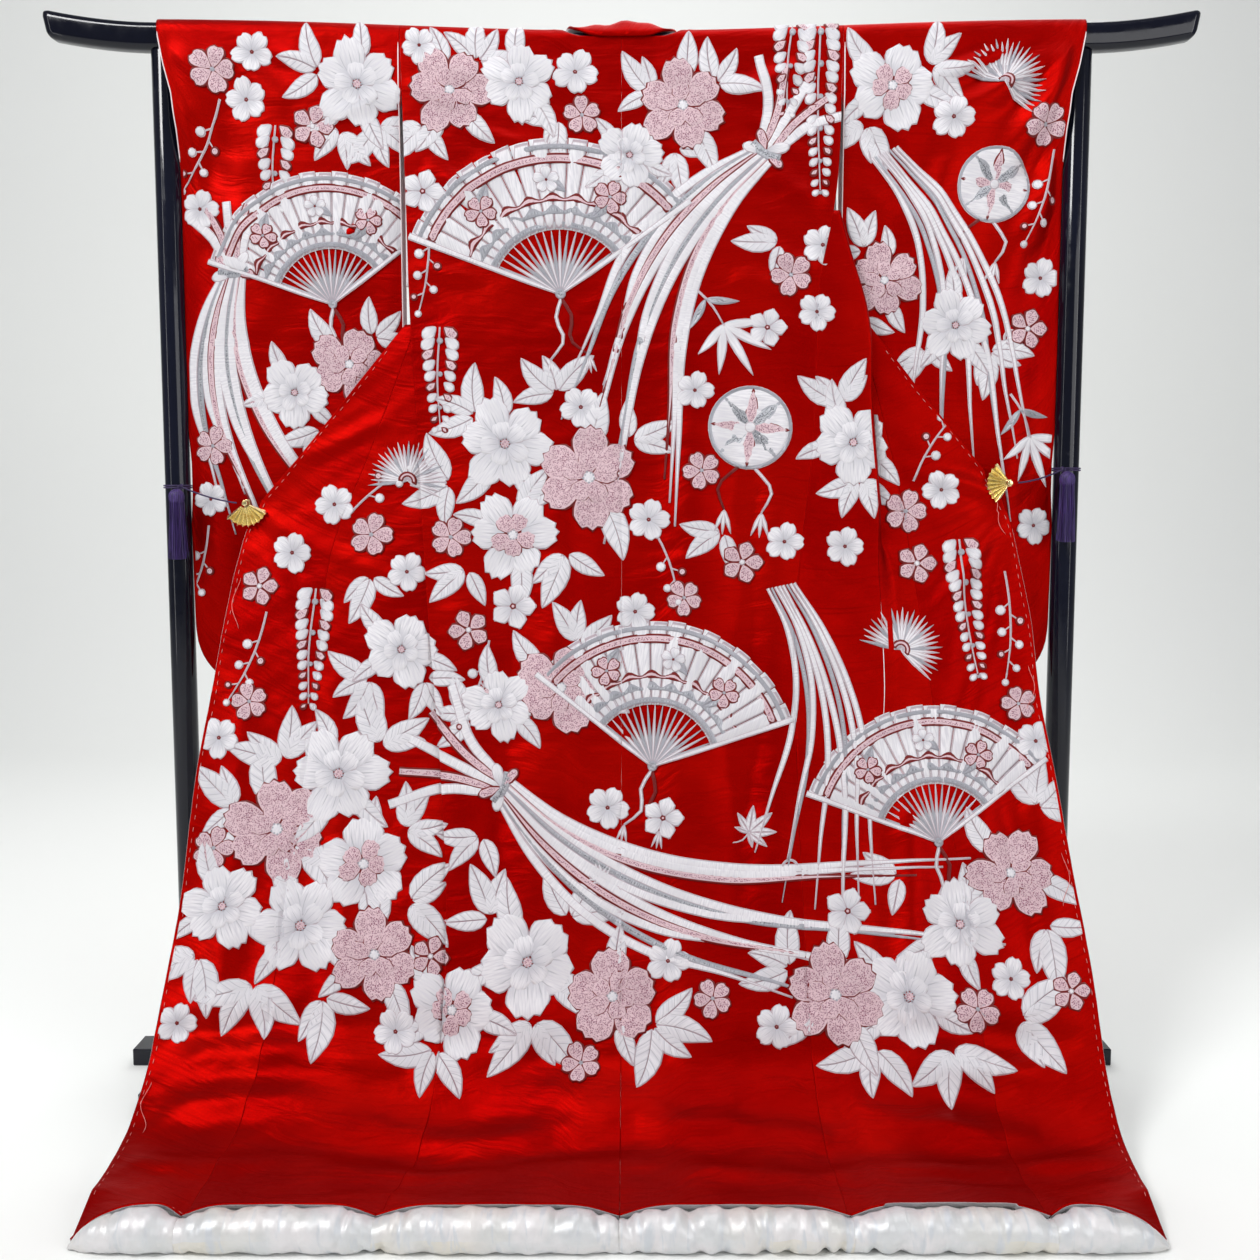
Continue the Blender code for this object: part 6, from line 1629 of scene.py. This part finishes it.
def collar_rows(side):
    """Rows of (half width, forward, height), from the middle of the neck to the end at the clip."""
    shares = np.linspace(0, 1, COLLAR_COLUMNS)
    rows = []
    for part in COLLAR_NECK:
        edge, across = np.array(part["edge"]), np.array(part["across"])
        row = edge[None] + across[None] * shares[:, None]
        row[:, 2] += part["rise"] * np.sin(math.pi * shares)
        rows.append(row)
    low_x = float(collar_line(side, COLLAR_GAP_HEIGHT))
    way = np.array((low_x - NECK_POINT[0], COLLAR_GAP_HEIGHT - NECK_POINT[1]))
    way /= np.linalg.norm(way)
    across = np.array((way[1] * COLLAR_WIDTH, 0.0, -way[0] * COLLAR_WIDTH))
    for height in (1.53, 1.47, 1.4, 1.33, 1.27, 1.215):
        edge = np.array((float(collar_line(side, height)) - 0.0015, float(straight(REAR_FORWARD, height)),
                         height))
        rows.append(edge[None] + across[None] * shares[:, None])
    start = (straight(FRONT_EDGE[side], 0.419), smooth(DROP["down"], DROP["height"], 0.419))
    end = (straight(FRONT_EDGE[side], 0.66), smooth(DROP["down"], DROP["height"], 0.66))
    way = np.array((end[0] - start[0], end[1] - start[1]))
    way /= np.linalg.norm(way)
    for i in range(6):
        share = (i + 0.35) / 5.35
        down = 0.419 + 0.241 * share
        edge_x, edge_z = float(straight(FRONT_EDGE[side], down)), float(smooth(DROP["down"], DROP["height"],
            down))
        reach = 0.004 + COLLAR_WIDTH * shares
        x, z = edge_x + way[1] * reach, edge_z - way[0] * reach
        at = np.interp(-z, -DROP["height"], DROP["down"])
        forward, _ = hanging(side, x, at, share_of(side, x, at), behind_of(side, at))
        rows.append(np.stack([x, forward - WALL - 0.0022 - COLLAR_WALL / 2, z], axis=-1))
    return np.array(rows)


def collar_points():
    halves = []
    for side, sign in (("left", -1), ("right", 1)):
        rows = collar_rows(side)
        knots = np.arange(len(rows))
        fine = np.concatenate([np.linspace(0, 5, 26), np.linspace(5, len(rows) - 1, 60)[1:]])
        dense = np.stack([[smooth(knots, rows[:, j, k],
                                  fine) for k in range(3)] for j in range(COLLAR_COLUMNS)])
        dense = dense.transpose(2, 0, 1)
        x = sign * dense[..., 0]
        crumpled = 0.003 * np.sin(62 * x + 0.6) + 0.0016 * np.sin(150 * x + 1.1) - 0.0016
        height = dense[..., 2] + crumpled * ease((dense[..., 2] - 1.582) / 0.02)
        halves.append(placed(x, dense[..., 1], height))
    return np.vstack([halves[0][::-1], halves[1][1:]])


# ------------------------------------------------------------------ padded hem

ROLL_PUCKERS = {
    "left": ((0.02, 0.006, 0.0022, 0.5), (0.075, 0.01, 0.0016, -0.4), (0.15, 0.009, 0.0014, 0.6),
             (0.232, 0.008, 0.0018, 0.3),
             (0.278, 0.006, 0.0026, -0.5), (0.306, 0.007, 0.0024, 0.6), (0.38, 0.011, 0.0014, -0.3),
             (0.452, 0.009, 0.0018, 0.4),
             (0.512, 0.006, 0.0026, 0.5), (0.54, 0.007, 0.002, -0.5), (0.59, 0.009, 0.0014, 0.4)),
    "right": ((0.016, 0.006, 0.003, -0.5), (0.048, 0.008, 0.0026, 0.6), (0.09, 0.007, 0.003, -0.7),
              (0.128, 0.009, 0.0022, 0.4),
              (0.166, 0.007, 0.0034, -0.5), (0.205, 0.008, 0.003, 0.7), (0.24, 0.006, 0.0032, -0.3),
              (0.266, 0.006, 0.0036, 0.5),
              (0.296, 0.006, 0.0034, -0.5), (0.335, 0.009, 0.0024, 0.4), (0.382, 0.008, 0.0022, -0.6),
              (0.43, 0.01, 0.0018, 0.5),
              (0.474, 0.007, 0.0026, -0.4), (0.504, 0.006, 0.003, 0.5), (0.534, 0.007, 0.0022, -0.3),
              (0.586, 0.009, 0.0016, 0.4)),
}
ROLL_NAMES = ("back", "front", "overlap")
GATHER_SPACING = 0.024


def roll_piece(side, index):
    """One padded length between two seams, drawn in and puckered at its ends, flat where it lies."""
    seams = seams_at_hem(side)
    start, end = seams[index] + SEAM_GAP / 2, seams[index + 1] - SEAM_GAP / 2
    sign = -1 if side == "left" else 1
    along = np.linspace(0, 1, 124)
    share = 0.5 * along + 0.25 - 0.25 * np.cos(np.pi * along)
    x = start + (end - start) * share
    kind = "outer tip" if index == 2 else "between seams"
    radius = ROLL_RADIUS * smooth(ROLL_STATIONS, ROLL_SIZES[kind], share)
    angle = np.linspace(0, math.tau, 34, endpoint=False)
    grooves = np.zeros((len(x), len(angle)))
    for place, half, depth, slant in ROLL_PUCKERS[side]:
        across = x[:, None] - place - slant * 0.012 * np.sin(angle)[None]
        grooves += (2.1 * depth * np.exp(-((across / half) ** 2))
                    * (0.65 + 0.35 * np.sin(angle + 9 * place))[None])
    for n in range(int((end - start) / GATHER_SPACING)):
        place = start + GATHER_SPACING * (n + 0.5 + 0.6 * math.sin(12.9 * n + 7 * index + sign))
        tight = 1.0 + 1.0 * math.exp(-min(place - start, end - place) / 0.022)
        half = 0.0036 + 0.006 * abs(math.sin(5.3 * n + index))
        across = x[:, None] - place - 0.01 * math.sin(3.7 * n) * np.sin(angle)[None]
        upper = (0.5 + 0.5 * np.sin(angle + 0.5 * math.sin(2.1 * n))) ** 1.5
        grooves += (tight * (0.0006 + 0.003 * math.sin(8.1 * n + index + sign) ** 4)
                    * np.exp(-((across / half) ** 2)) * upper[None])
    ripple = 0.0024 * noise(x[:, None] * 70, np.sin(angle)[None] * 1.6 + np.cos(angle)[None], place)
    reach = radius[:, None] * (1 - 0.5 * grooves / ROLL_RADIUS) - 0.4 * grooves - ripple * 0.6 - 0.0004
    height = radius[:, None] * ROLL_SINK + reach * np.sin(angle)[None]
    forward = ROLL_FORWARD + reach * np.cos(angle)[None]
    height = np.where(height < 0.0, 0.0, height)
    points = np.stack([np.broadcast_to(sign * x[:, None], height.shape), POST_Y - forward, height], axis=-1)
    closed = np.concatenate([points, points[:, :1]], axis=1)
    count = len(angle)
    name = "hem_roll_%s_%s" % (ROLL_NAMES[index], side)
    mesh = grid_mesh(name + "_satin", closed, (0, -1, 0))
    bm = bmesh.new()
    bm.from_mesh(mesh)
    bm.verts.ensure_lookup_table()
    bmesh.ops.remove_doubles(bm, verts=bm.verts, dist=1e-6)
    bm.verts.ensure_lookup_table()
    rims = [edge for edge in bm.edges if edge.is_boundary]
    bmesh.ops.holes_fill(bm, edges=rims, sides=count + 2)
    bmesh.ops.recalc_face_normals(bm, faces=bm.faces)
    bm.to_mesh(mesh)
    bm.free()
    made = add_object(name + "_satin", mesh, ("hem_satin",))
    mesh.set_sharp_from_angle(angle=math.radians(60))
    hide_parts(name)
    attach(made, "root")
    return made


# ------------------------------------------------------------------ piping and sewing threads


def tube(name, paths, radius, sides, look, flatten=1.0):
    """Round threads or piping along paths, joined in one mesh, with closed ends."""
    vertices, faces, uvs = [], [], []
    for path in paths:
        path = np.asarray(path, float)
        along = np.gradient(path, axis=0)
        along /= np.maximum(np.linalg.norm(along, axis=1), 1e-9)[:, None]
        guide = np.array((0.0, -1.0, 0.3))
        first = np.cross(along, guide)
        first /= np.maximum(np.linalg.norm(first, axis=1), 1e-9)[:, None]
        second = np.cross(first, along)
        length = arc_lengths(path, 0)
        base = len(vertices)
        for i, spot in enumerate(path):
            thin = 0.35 if i in (0, len(path) - 1) else 1.0
            for k in range(sides):
                turn = math.tau * k / sides
                off = (first[i] * math.cos(turn) * radius * thin
                       + second[i] * math.sin(turn) * radius * thin * flatten)
                vertices.append(spot + off)
        for i in range(len(path) - 1):
            for k in range(sides):
                j = (k + 1) % sides
                low, high = base + i * sides, base + (i + 1) * sides
                faces.append((low + k, low + j, high + j, high + k))
                uvs += [(k / sides * radius * 6, length[i]), ((k + 1) / sides * radius * 6, length[i]),
                        ((k + 1) / sides * radius * 6, length[i + 1]),
                        (k / sides * radius * 6, length[i + 1])]
        for end, order in ((base, range(sides - 1, -1, -1)), (base + (len(path) - 1) * sides, range(sides))):
            faces.append(tuple(end + k for k in order))
            uvs += [(0.0, 0.0)] * sides
    mesh = bpy.data.meshes.new(name)
    mesh.from_pydata([tuple(v) for v in vertices], [], faces)
    layer = mesh.uv_layers.new(name="Cloth")
    layer.data.foreach_set("uv", np.array(uvs, np.float32).reshape(-1))
    mesh.validate()
    bm = bmesh.new()
    bm.from_mesh(mesh)
    bmesh.ops.recalc_face_normals(bm, faces=bm.faces)
    bm.to_mesh(mesh)
    bm.free()
    made = add_object(name, mesh, (look,))
    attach(made, "root")
    return made


def front_piping(side):
    down = np.linspace(0.72, 1.758, 130)
    x = front_edge(side, down)
    edge = spread(side, x - 0.0004, down, share_of(side, x, down), behind_of(side, down), -0.0013)
    return tube("front_piping_" + side, [edge], 0.001, 10, "piping")


def sleeve_piping(side):
    """Along the sleeve's open inner edge and its cuff."""
    height = np.linspace(0.612, 1.56, 90)
    inner = [sleeve_at(side, np.full(90, SLEEVE_INNER_X + 0.0012), TOP_Z - height, 0.0002,
                       rear) for rear in (False, True)]
    cuff_height = np.linspace(1.385, 1.566, 30)
    cuff_x = straight(SLEEVE_EDGE, cuff_height) - 0.0008
    cuffs = [sleeve_at(side, cuff_x, TOP_Z - cuff_height, 0.0002, rear) for rear in (False, True)]
    return tube("sleeve_piping_" + side, [*inner, *cuffs], 0.0009, 8, "piping")


def dashes(points, long_share, count):
    """Cuts a path into separate short stitches."""
    length = arc_lengths(points, 0)
    total = length[-1]
    made = []
    for i in range(count):
        start = total * (i + 0.12 * math.sin(5.1 * i)) / count
        ends = np.linspace(max(start, 0.0), min(start + total / count * long_share, total), 5)
        stitch = np.stack([np.interp(ends, length, points[:, k]) for k in range(3)], axis=-1)
        stitch[:, 1] -= 0.0007 * np.sin(np.linspace(0, math.pi, 5))
        made.append(stitch)
    return made


def basting_threads(side):
    """Long running stitches inside the front edge and above the padded hem, with a few loose ends."""
    down = np.linspace(0.46, 1.72, 240)
    x = front_edge(side, down) - 0.006 - 0.0012 * np.sin(down * 40)
    paths = dashes(overlap_at(side, x, down, 0.0005), 0.45, 88)
    across = np.linspace(0.004, curved(FRONT_EDGE[side], 1.735) - 0.02, 240)
    level = 1.735 + 0.002 * np.sin(across * 30)
    above = spread(side, across, level, 0.0, 0.0, 0.0006)
    paths += dashes(above, 0.5, 44)
    loose = ((0.66, 0.7, 0.01), (0.93, 0.6, 0.014),
             (1.2, 0.55, 0.012)) if side == "right" else ((0.8, 0.5, 0.012), (1.52, 0.6, 0.014))
    for start, turn, reach in loose:
        t = np.linspace(0, 1, 22)
        thread_down = start + 0.075 * t
        thread_x = front_edge(side, thread_down) - 0.012 + reach * np.sin(turn * 9 * t) * t
        paths.append(overlap_at(side, thread_x, thread_down, 0.0008 + 0.004 * np.sin(math.pi * t)))
    return tube("basting_thread_" + side, paths, 0.00038, 5, "basting")


# ------------------------------------------------------------------ stand


def edit(made):
    select_only(made)
    bpy.ops.object.mode_set(mode="EDIT")


def place_in_mesh(made):
    select_only(made)
    bpy.ops.object.transform_apply(location=True, rotation=True, scale=True)


def apply_modifier(made, kind, **settings):
    select_only(made)
    modifier = made.modifiers.new(kind.title(), kind)
    for key, value in settings.items():
        setattr(modifier, key, value)
    bpy.ops.object.modifier_apply(modifier=modifier.name)


def finish_hard(made, name, look, nodes=(), angle=35):
    made.name = name
    made.data.name = name
    made.data.materials.clear()
    made.data.materials.append(LOOKS[look])
    place_in_mesh(made)
    bpy.ops.object.shade_smooth_by_angle(angle=math.radians(angle))
    if nodes:
        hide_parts(*nodes)
    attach(made, "root")
    return made


def pick(bm, test):
    for item in bm.verts:
        item.select = test(item.co)
    bm.select_flush_mode()


def lacquered_bar():
    """A bar whose ends turn up: cut into lengths, each end length lifted, corners rounded."""
    bpy.ops.mesh.primitive_cube_add(size=1, location=(0, POST_Y, BAR_TOP - BAR_HEIGHT / 2))
    bar = bpy.context.object
    bar.scale = (BAR_LENGTH, BAR_DEPTH, BAR_HEIGHT)
    place_in_mesh(bar)
    half = BAR_LENGTH / 2
    stations = [BAR_STRAIGHT_X + (half - BAR_STRAIGHT_X) * k / 9 for k in range(9)]
    sagging = [SAG_HALF_X * k / 12 for k in range(12)]
    edit(bar)
    for place in sagging + stations:
        for x in (-place, place):
            bpy.ops.mesh.select_all(action="SELECT")
            bpy.ops.mesh.bisect(plane_co=(x, POST_Y, BAR_TOP), plane_no=(1, 0, 0))
    for place in sagging + stations[1:] + [half]:
        out = max(place - BAR_STRAIGHT_X, 0.0) / (half - BAR_STRAIGHT_X)
        lift = BAR_RISE * out**1.8 - float(sag_at(place, BAR_TOP))
        bm = bmesh.from_edit_mesh(bar.data)
        bm.select_mode = {"VERT"}
        pick(bm, lambda co: abs(abs(co.x) - place) < 1e-4)
        bmesh.update_edit_mesh(bar.data)
        bpy.ops.transform.translate(value=(0, 0, lift))
    bm = bmesh.from_edit_mesh(bar.data)
    for sign in (-1, 1):
        pick(bm, lambda co: sign * co.x > half - 1e-4 and co.z < BAR_TOP)
        bmesh.update_edit_mesh(bar.data)
        bpy.ops.transform.translate(value=(-sign * 0.008, 0, 0))
    bpy.ops.object.mode_set(mode="OBJECT")
    apply_modifier(bar, "BEVEL", width=0.0105, segments=5, limit_method="ANGLE", angle_limit=math.radians(50))
    return finish_hard(bar, "lacquered_top_bar", "lacquer", ["top_bar"])


def lacquered_post(side):
    sign = -1 if side == "left" else 1
    low, high = BASE_HEIGHT + 0.0003, BAR_TOP - BAR_HEIGHT - 0.0003
    bpy.ops.mesh.primitive_cylinder_add(vertices=64, radius=POST_RADIUS, depth=high - low,
                                        location=(sign * POST_X, POST_Y, (low + high) / 2))
    post = bpy.context.object
    apply_modifier(post, "BEVEL", width=0.0012, segments=2, limit_method="ANGLE")
    return finish_hard(post, "lacquered_post_" + side, "lacquer", ["post_" + side])


def lacquered_base():
    for node in ("base_rail", "foot_left", "foot_right"):
        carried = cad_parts[node]
        carried.data.materials.clear()
        carried.data.materials.append(LOOKS["lacquer"])


# ------------------------------------------------------------------ tie-backs

CLIPS = {
    "left": {"pivot": (-0.563, 0.88), "points": math.radians(-82), "spread": math.radians(124),
             "forward": 0.04591, "loop": 0.905},
    "right": {"pivot": (0.581, 0.91), "points": math.radians(182), "spread": math.radians(114),
              "forward": 0.0413, "loop": 0.931},
}
FAN_RADIUS = 0.036
FAN_INNER = 0.007
FAN_FOLDS = 9


def fan_clip(side):
    """A pleated metal fan spun from one rib, with a scalloped edge, a rivet and a jaw behind the cloth."""
    clip = CLIPS[side]
    x, z = clip["pivot"]
    front = POST_Y - clip["forward"]
    steps = 2 * FAN_FOLDS
    first = clip["points"] - clip["spread"] / 2
    bpy.ops.mesh.primitive_plane_add(size=1, location=(0, 0, 0))
    leaf = bpy.context.object
    edit(leaf)
    bm = bmesh.from_edit_mesh(leaf.data)
    bm.verts.ensure_lookup_table()
    for vert, spot in zip(list(bm.verts), ((FAN_INNER, 0, 0), (FAN_RADIUS, 0, 0), (0.5, 0, 0), (0.6, 0, 0))):
        vert.co = spot
    bmesh.ops.delete(bm, geom=list(bm.verts)[2:], context="VERTS")
    bm.verts.ensure_lookup_table()
    if not bm.edges:
        bm.edges.new(bm.verts[:2])
    for vert in bm.verts:
        vert.co = Vector((x + vert.co.x * math.cos(first), front, z + vert.co.x * math.sin(first)))
    for item in (*bm.verts, *bm.edges):
        item.select = True
    bmesh.update_edit_mesh(leaf.data)
    bpy.ops.mesh.subdivide(number_cuts=5)
    bpy.ops.mesh.select_all(action="SELECT")
    bpy.ops.mesh.spin(steps=steps, angle=clip["spread"], center=(x, front, z), axis=(0, 1, 0))
    bm = bmesh.from_edit_mesh(leaf.data)
    for vert in bm.verts:
        out = math.hypot(vert.co.x - x, vert.co.z - z)
        turn = (math.atan2(vert.co.z - z, vert.co.x - x) - first) % math.tau
        k = round(turn / clip["spread"] * steps)
        odd = k % 2
        vert.co.y -= 0.0026 * (1 if odd else -1) * min(out / 0.03, 1.0) + 0.001
        if out > FAN_RADIUS - 1e-4 and not odd:
            vert.co -= Vector((vert.co.x - x, 0, vert.co.z - z)).normalized() * 0.0034
    bmesh.update_edit_mesh(leaf.data)
    bpy.ops.mesh.select_all(action="SELECT")
    bpy.ops.mesh.normals_make_consistent(inside=False)
    bpy.ops.object.mode_set(mode="OBJECT")
    apply_modifier(leaf, "SOLIDIFY", thickness=0.0012, offset=0.0)
    apply_modifier(leaf, "BEVEL", width=0.0003, segments=2, limit_method="ANGLE",
                   angle_limit=math.radians(60))
    leaf = finish_hard(leaf, "gold_fan_" + side, "gold", ["fan_clip_" + side], angle=20)
    toward = Vector((math.cos(clip["points"]), 0.0, math.sin(clip["points"])))
    bpy.ops.mesh.primitive_cylinder_add(vertices=28, radius=0.0042, depth=0.015,
                                        location=(x, front + 0.0048, z),
                                        rotation=(math.pi / 2, 0, 0))
    rivet = bpy.context.object
    apply_modifier(rivet, "BEVEL", width=0.001, segments=3, limit_method="ANGLE")
    rivet = finish_hard(rivet, "clip_rivet_" + side, "gold")
    bpy.ops.mesh.primitive_cube_add(size=1, location=Vector((x, front + 0.0108, z)) + toward * 0.008)
    jaw = bpy.context.object
    jaw.scale = (0.026, 0.0014, 0.01)
    jaw.rotation_euler = (0, -clip["points"], 0)
    place_in_mesh(jaw)
    apply_modifier(jaw, "BEVEL", width=0.0005, segments=2)
    jaw = finish_hard(jaw, "clip_jaw_" + side, "gold")
    return [leaf, rivet, jaw]


def post_loop(side):
    """Two turns of cord round the post and a small knot."""
    sign = -1 if side == "left" else 1
    height = CLIPS[side]["loop"]
    parts = []
    for offset in (-0.0015, 0.0015):
        bpy.ops.mesh.primitive_torus_add(major_segments=56, minor_segments=10,
                                         major_radius=POST_RADIUS + CORD_RADIUS + 0.0004,
                                         minor_radius=CORD_RADIUS,
                                         location=(sign * POST_X, POST_Y, height + offset))
        parts.append(bpy.context.object)
    for k, (ahead, up) in enumerate(((0.0, 0.0006), (0.0022, -0.0014))):
        bpy.ops.mesh.primitive_torus_add(major_segments=28, minor_segments=8, major_radius=0.003,
                                         minor_radius=0.0014,
                                         location=(sign * (POST_X - 0.011),
                                                   POST_Y - POST_RADIUS - 0.0036 - ahead, height + up),
                                         rotation=(0.5 + k, 0.7 * sign, 0.4 * k))
        parts.append(bpy.context.object)
    for part in parts:
        place_in_mesh(part)
    bpy.ops.object.select_all(action="DESELECT")
    for part in parts:
        part.select_set(True)
    bpy.context.view_layer.objects.active = parts[0]
    bpy.ops.object.join()
    return finish_hard(bpy.context.object, "cord_loop_" + side, "purple", ["tie_loop_" + side])


def tie_cord(side):
    sign = -1 if side == "left" else 1
    clip = CLIPS[side]
    start = Vector((sign * (POST_X - 0.012), POST_Y - (POST_RADIUS + 2 * CORD_RADIUS + 0.003), clip["loop"]))
    end = Vector((clip["pivot"][0] + sign * 0.0125, POST_Y - clip["forward"], clip["pivot"][1] + 0.0005))
    line = bpy.data.curves.new("purple_cord_" + side, "CURVE")
    line.dimensions = "3D"
    line.bevel_depth = CORD_RADIUS
    line.bevel_resolution = 4
    line.use_fill_caps = True
    spline = line.splines.new("POLY")
    spline.points.add(20)
    for i, target in enumerate(spline.points):
        share = i / 20
        spot = start.lerp(end, share) - Vector((0, 0, 0.0035 * 4 * share * (1 - share)))
        target.co = (*spot, 1.0)
    line.materials.append(LOOKS["purple"])
    made = bpy.data.objects.new("purple_cord_" + side, line)
    bpy.context.scene.collection.objects.link(made)
    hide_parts("tie_cord_" + side)
    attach(made, "root")
    return made


TASSEL_DOME = ((0.003, -0.001), (0.0096, 0.0), (0.0108, 0.004), (0.0112, 0.009), (0.0104, 0.0134),
               (0.0082, 0.017),
               (0.005, 0.0194), (0.0014, 0.0206))
TASSEL_STRANDS = 124


def tassel(side):
    """A domed head and fine strands, each a thin three-sided thread let into the head."""
    sign = -1 if side == "left" else 1
    spot = np.array((sign * (POST_X - 0.009), POST_Y - (POST_RADIUS + 0.018), CLIPS[side]["loop"] - 0.024))
    turn = np.linspace(0, math.tau, 48, endpoint=False)
    ribs = 1 + 0.035 * np.cos(24 * turn)
    points = np.array([[(r * rib * math.cos(a), r * rib * math.sin(a), h) for a,
                        rib in zip(turn, ribs)] for r, h in TASSEL_DOME]) + spot
    head = grid_mesh("silk_tassel_" + side, np.concatenate([points, points[:, :1]], axis=1), (0, -1, 0))
    bm = bmesh.new()
    bm.from_mesh(head)
    bmesh.ops.remove_doubles(bm, verts=bm.verts, dist=1e-7)
    bmesh.ops.holes_fill(bm, edges=[edge for edge in bm.edges if edge.is_boundary], sides=0)
    for number in range(TASSEL_STRANDS):
        out = 0.0106 * math.sqrt((number + 0.5) / TASSEL_STRANDS)
        angle = number * 2.39996
        length = 0.085 * (1 - 0.11 * (0.5 + 0.5 * math.sin(number * 2.4)) ** 2)
        loops = []
        for i in range(6):
            t = i / 5
            flare = 1 + 0.34 * t**1.4 + 0.12 * math.sin(number * 1.7 + 3 * t) * t * t
            cx, cy = out * flare * math.cos(angle + 0.06 * t), out * flare * math.sin(angle + 0.06 * t)
            width = 0.00062 * (1 - 0.3 * t)
            around = [math.tau * k / 3 + number for k in range(3)]
            loops.append([bm.verts.new(spot + np.array((cx + width * math.cos(a), cy + width * math.sin(a),
                                                         0.006 - (length + 0.006) * t))) for a in around])
        for low, high in zip(loops, loops[1:]):
            for k in range(3):
                bm.faces.new((low[k], low[(k + 1) % 3], high[(k + 1) % 3], high[k]))
        bm.faces.new(loops[0])
        bm.faces.new(loops[-1])
    bmesh.ops.recalc_face_normals(bm, faces=bm.faces)
    bm.to_mesh(head)
    bm.free()
    made = add_object("silk_tassel_" + side, head, ("tassel",))
    head.set_sharp_from_angle(angle=math.radians(50))
    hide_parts("tassel_" + side)
    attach(made, "root")
    return made


# ------------------------------------------------------------------ camera, floor and lights


def add_camera():
    bpy.context.scene.view_settings.view_transform = "Standard"
    data = bpy.data.cameras.new("Camera")
    data.sensor_width = 36.0
    data.lens = 1375 / 1260 * 36.0
    camera = bpy.data.objects.new("Camera", data)
    bpy.context.scene.collection.objects.link(camera)
    camera.location = (0.0125, POST_Y - 2.11, 0.892)
    camera.rotation_euler = (math.radians(84.4), 0, 0)
    bpy.context.scene.camera = camera


def studio():
    bpy.ops.object.select_all(action="DESELECT")
    bpy.ops.mesh.primitive_plane_add(size=1, location=(0, -0.5, 0))
    sweep = bpy.context.object
    sweep.scale = (14.0, 9.0, 1.0)
    place_in_mesh(sweep)
    edit(sweep)
    bm = bmesh.from_edit_mesh(sweep.data)
    bm.select_mode = {"VERT"}
    pick(bm, lambda co: co.y > 3.9)
    bmesh.update_edit_mesh(sweep.data)
    bpy.ops.mesh.extrude_region_move(TRANSFORM_OT_translate={"value": (0, 0, 6.0)})
    bpy.ops.object.mode_set(mode="OBJECT")
    apply_modifier(sweep, "BEVEL", width=1.3, segments=18, limit_method="ANGLE")
    sweep.name = "studio_sweep"
    bpy.ops.object.shade_smooth()
    paint, _, shader = principled("Pale studio paper", Base_Color=(0.9, 0.91, 0.89, 1.0), Roughness=0.9)
    sweep.data.materials.clear()
    sweep.data.materials.append(paint)
    lamps = (
        ("key", (-2.6, -2.9, 4.2), (0.0, 0.1, 1.05), 1.4, 165),
        ("fill", (2.2, -2.6, 1.7), (0.0, 0.1, 0.95), 1.8, 28),
        ("top", (0.3, -0.4, 3.4), (0.0, 0.15, 1.3), 1.4, 20),
        ("rear", (0.4, 2.4, 3.2), (0.0, 0.2, 1.0), 2.2, 30),
        ("wall", (0.1, 1.0, 3.6), (0.1, 4.0, 1.3), 1.8, 34),
        ("strip left", (-2.3, -1.4, 1.5), (-0.5, 0.1, 1.1), 0.16, 8),
        ("strip right", (2.3, -1.4, 1.5), (0.5, 0.1, 1.1), 0.16, 8),
    )
    for name, place, target, size, power in lamps:
        data = bpy.data.lights.new(name, "AREA")
        data.size = size
        if name.startswith("strip"):
            data.shape = "RECTANGLE"
            data.size_y = 2.6
        data.energy = power
        lamp = bpy.data.objects.new(name, data)
        lamp.visible_camera = False
        bpy.context.scene.collection.objects.link(lamp)
        lamp.location = place
        lamp.rotation_euler = (Vector(target) - Vector(place)).to_track_quat("-Z", "Y").to_euler()
    world = bpy.data.worlds.new("Pale room")
    world.use_nodes = True
    world.node_tree.nodes["Background"].inputs["Color"].default_value = (0.93, 0.95, 1.0, 1.0)
    world.node_tree.nodes["Background"].inputs["Strength"].default_value = 0.24
    bpy.context.scene.world = world


# ------------------------------------------------------------------ making everything


def make_garment():
    needlework = embroider()
    for side in ("left", "right"):
        back, overlap, sleeve, shoulder = (part + side for part in ("back_panel_", "overlap_panel_",
            "sleeve_", "front_shoulder_"))
        cloth_piece(back, back_panel_points(side), (0, -1, 0), [needlework[back]])
        cloth_piece(overlap, overlap_points(side), (0, -1, 0),
                    [needlework[overlap], front_piping(side), basting_threads(side)])
        cloth_piece(sleeve, sleeve_points(side), (0, -1, 0),
                    [needlework[sleeve], needlework["sleeve_rear_" + side], sleeve_piping(side)], ring=True)
        cloth_piece(shoulder, shoulder_points(side), (0, 1, 0), [needlework[shoulder]])
        for index in range(3):
            roll_piece(side, index)
    cloth_piece("front_panel_left", left_front_points(), (0, -1, 0), [needlework["front_panel_left"]])
    cloth_piece("front_panel_right", right_front_points(), (0, -1, 0),
                [needlework["front_panel_right"], needlework["front_panel_right_outer"]],
                thin_columns=PLEAT_COLUMNS)
    cloth_piece("collar", collar_points(), (0, 1, 0), wall=COLLAR_WALL, offset=0.0)


def make_stand():
    lacquered_bar()
    lacquered_base()
    for side in ("left", "right"):
        lacquered_post(side)
        fan_clip(side)
        post_loop(side)
        tie_cord(side)
        tassel(side)


add_camera()
studio()
make_garment()
make_stand()
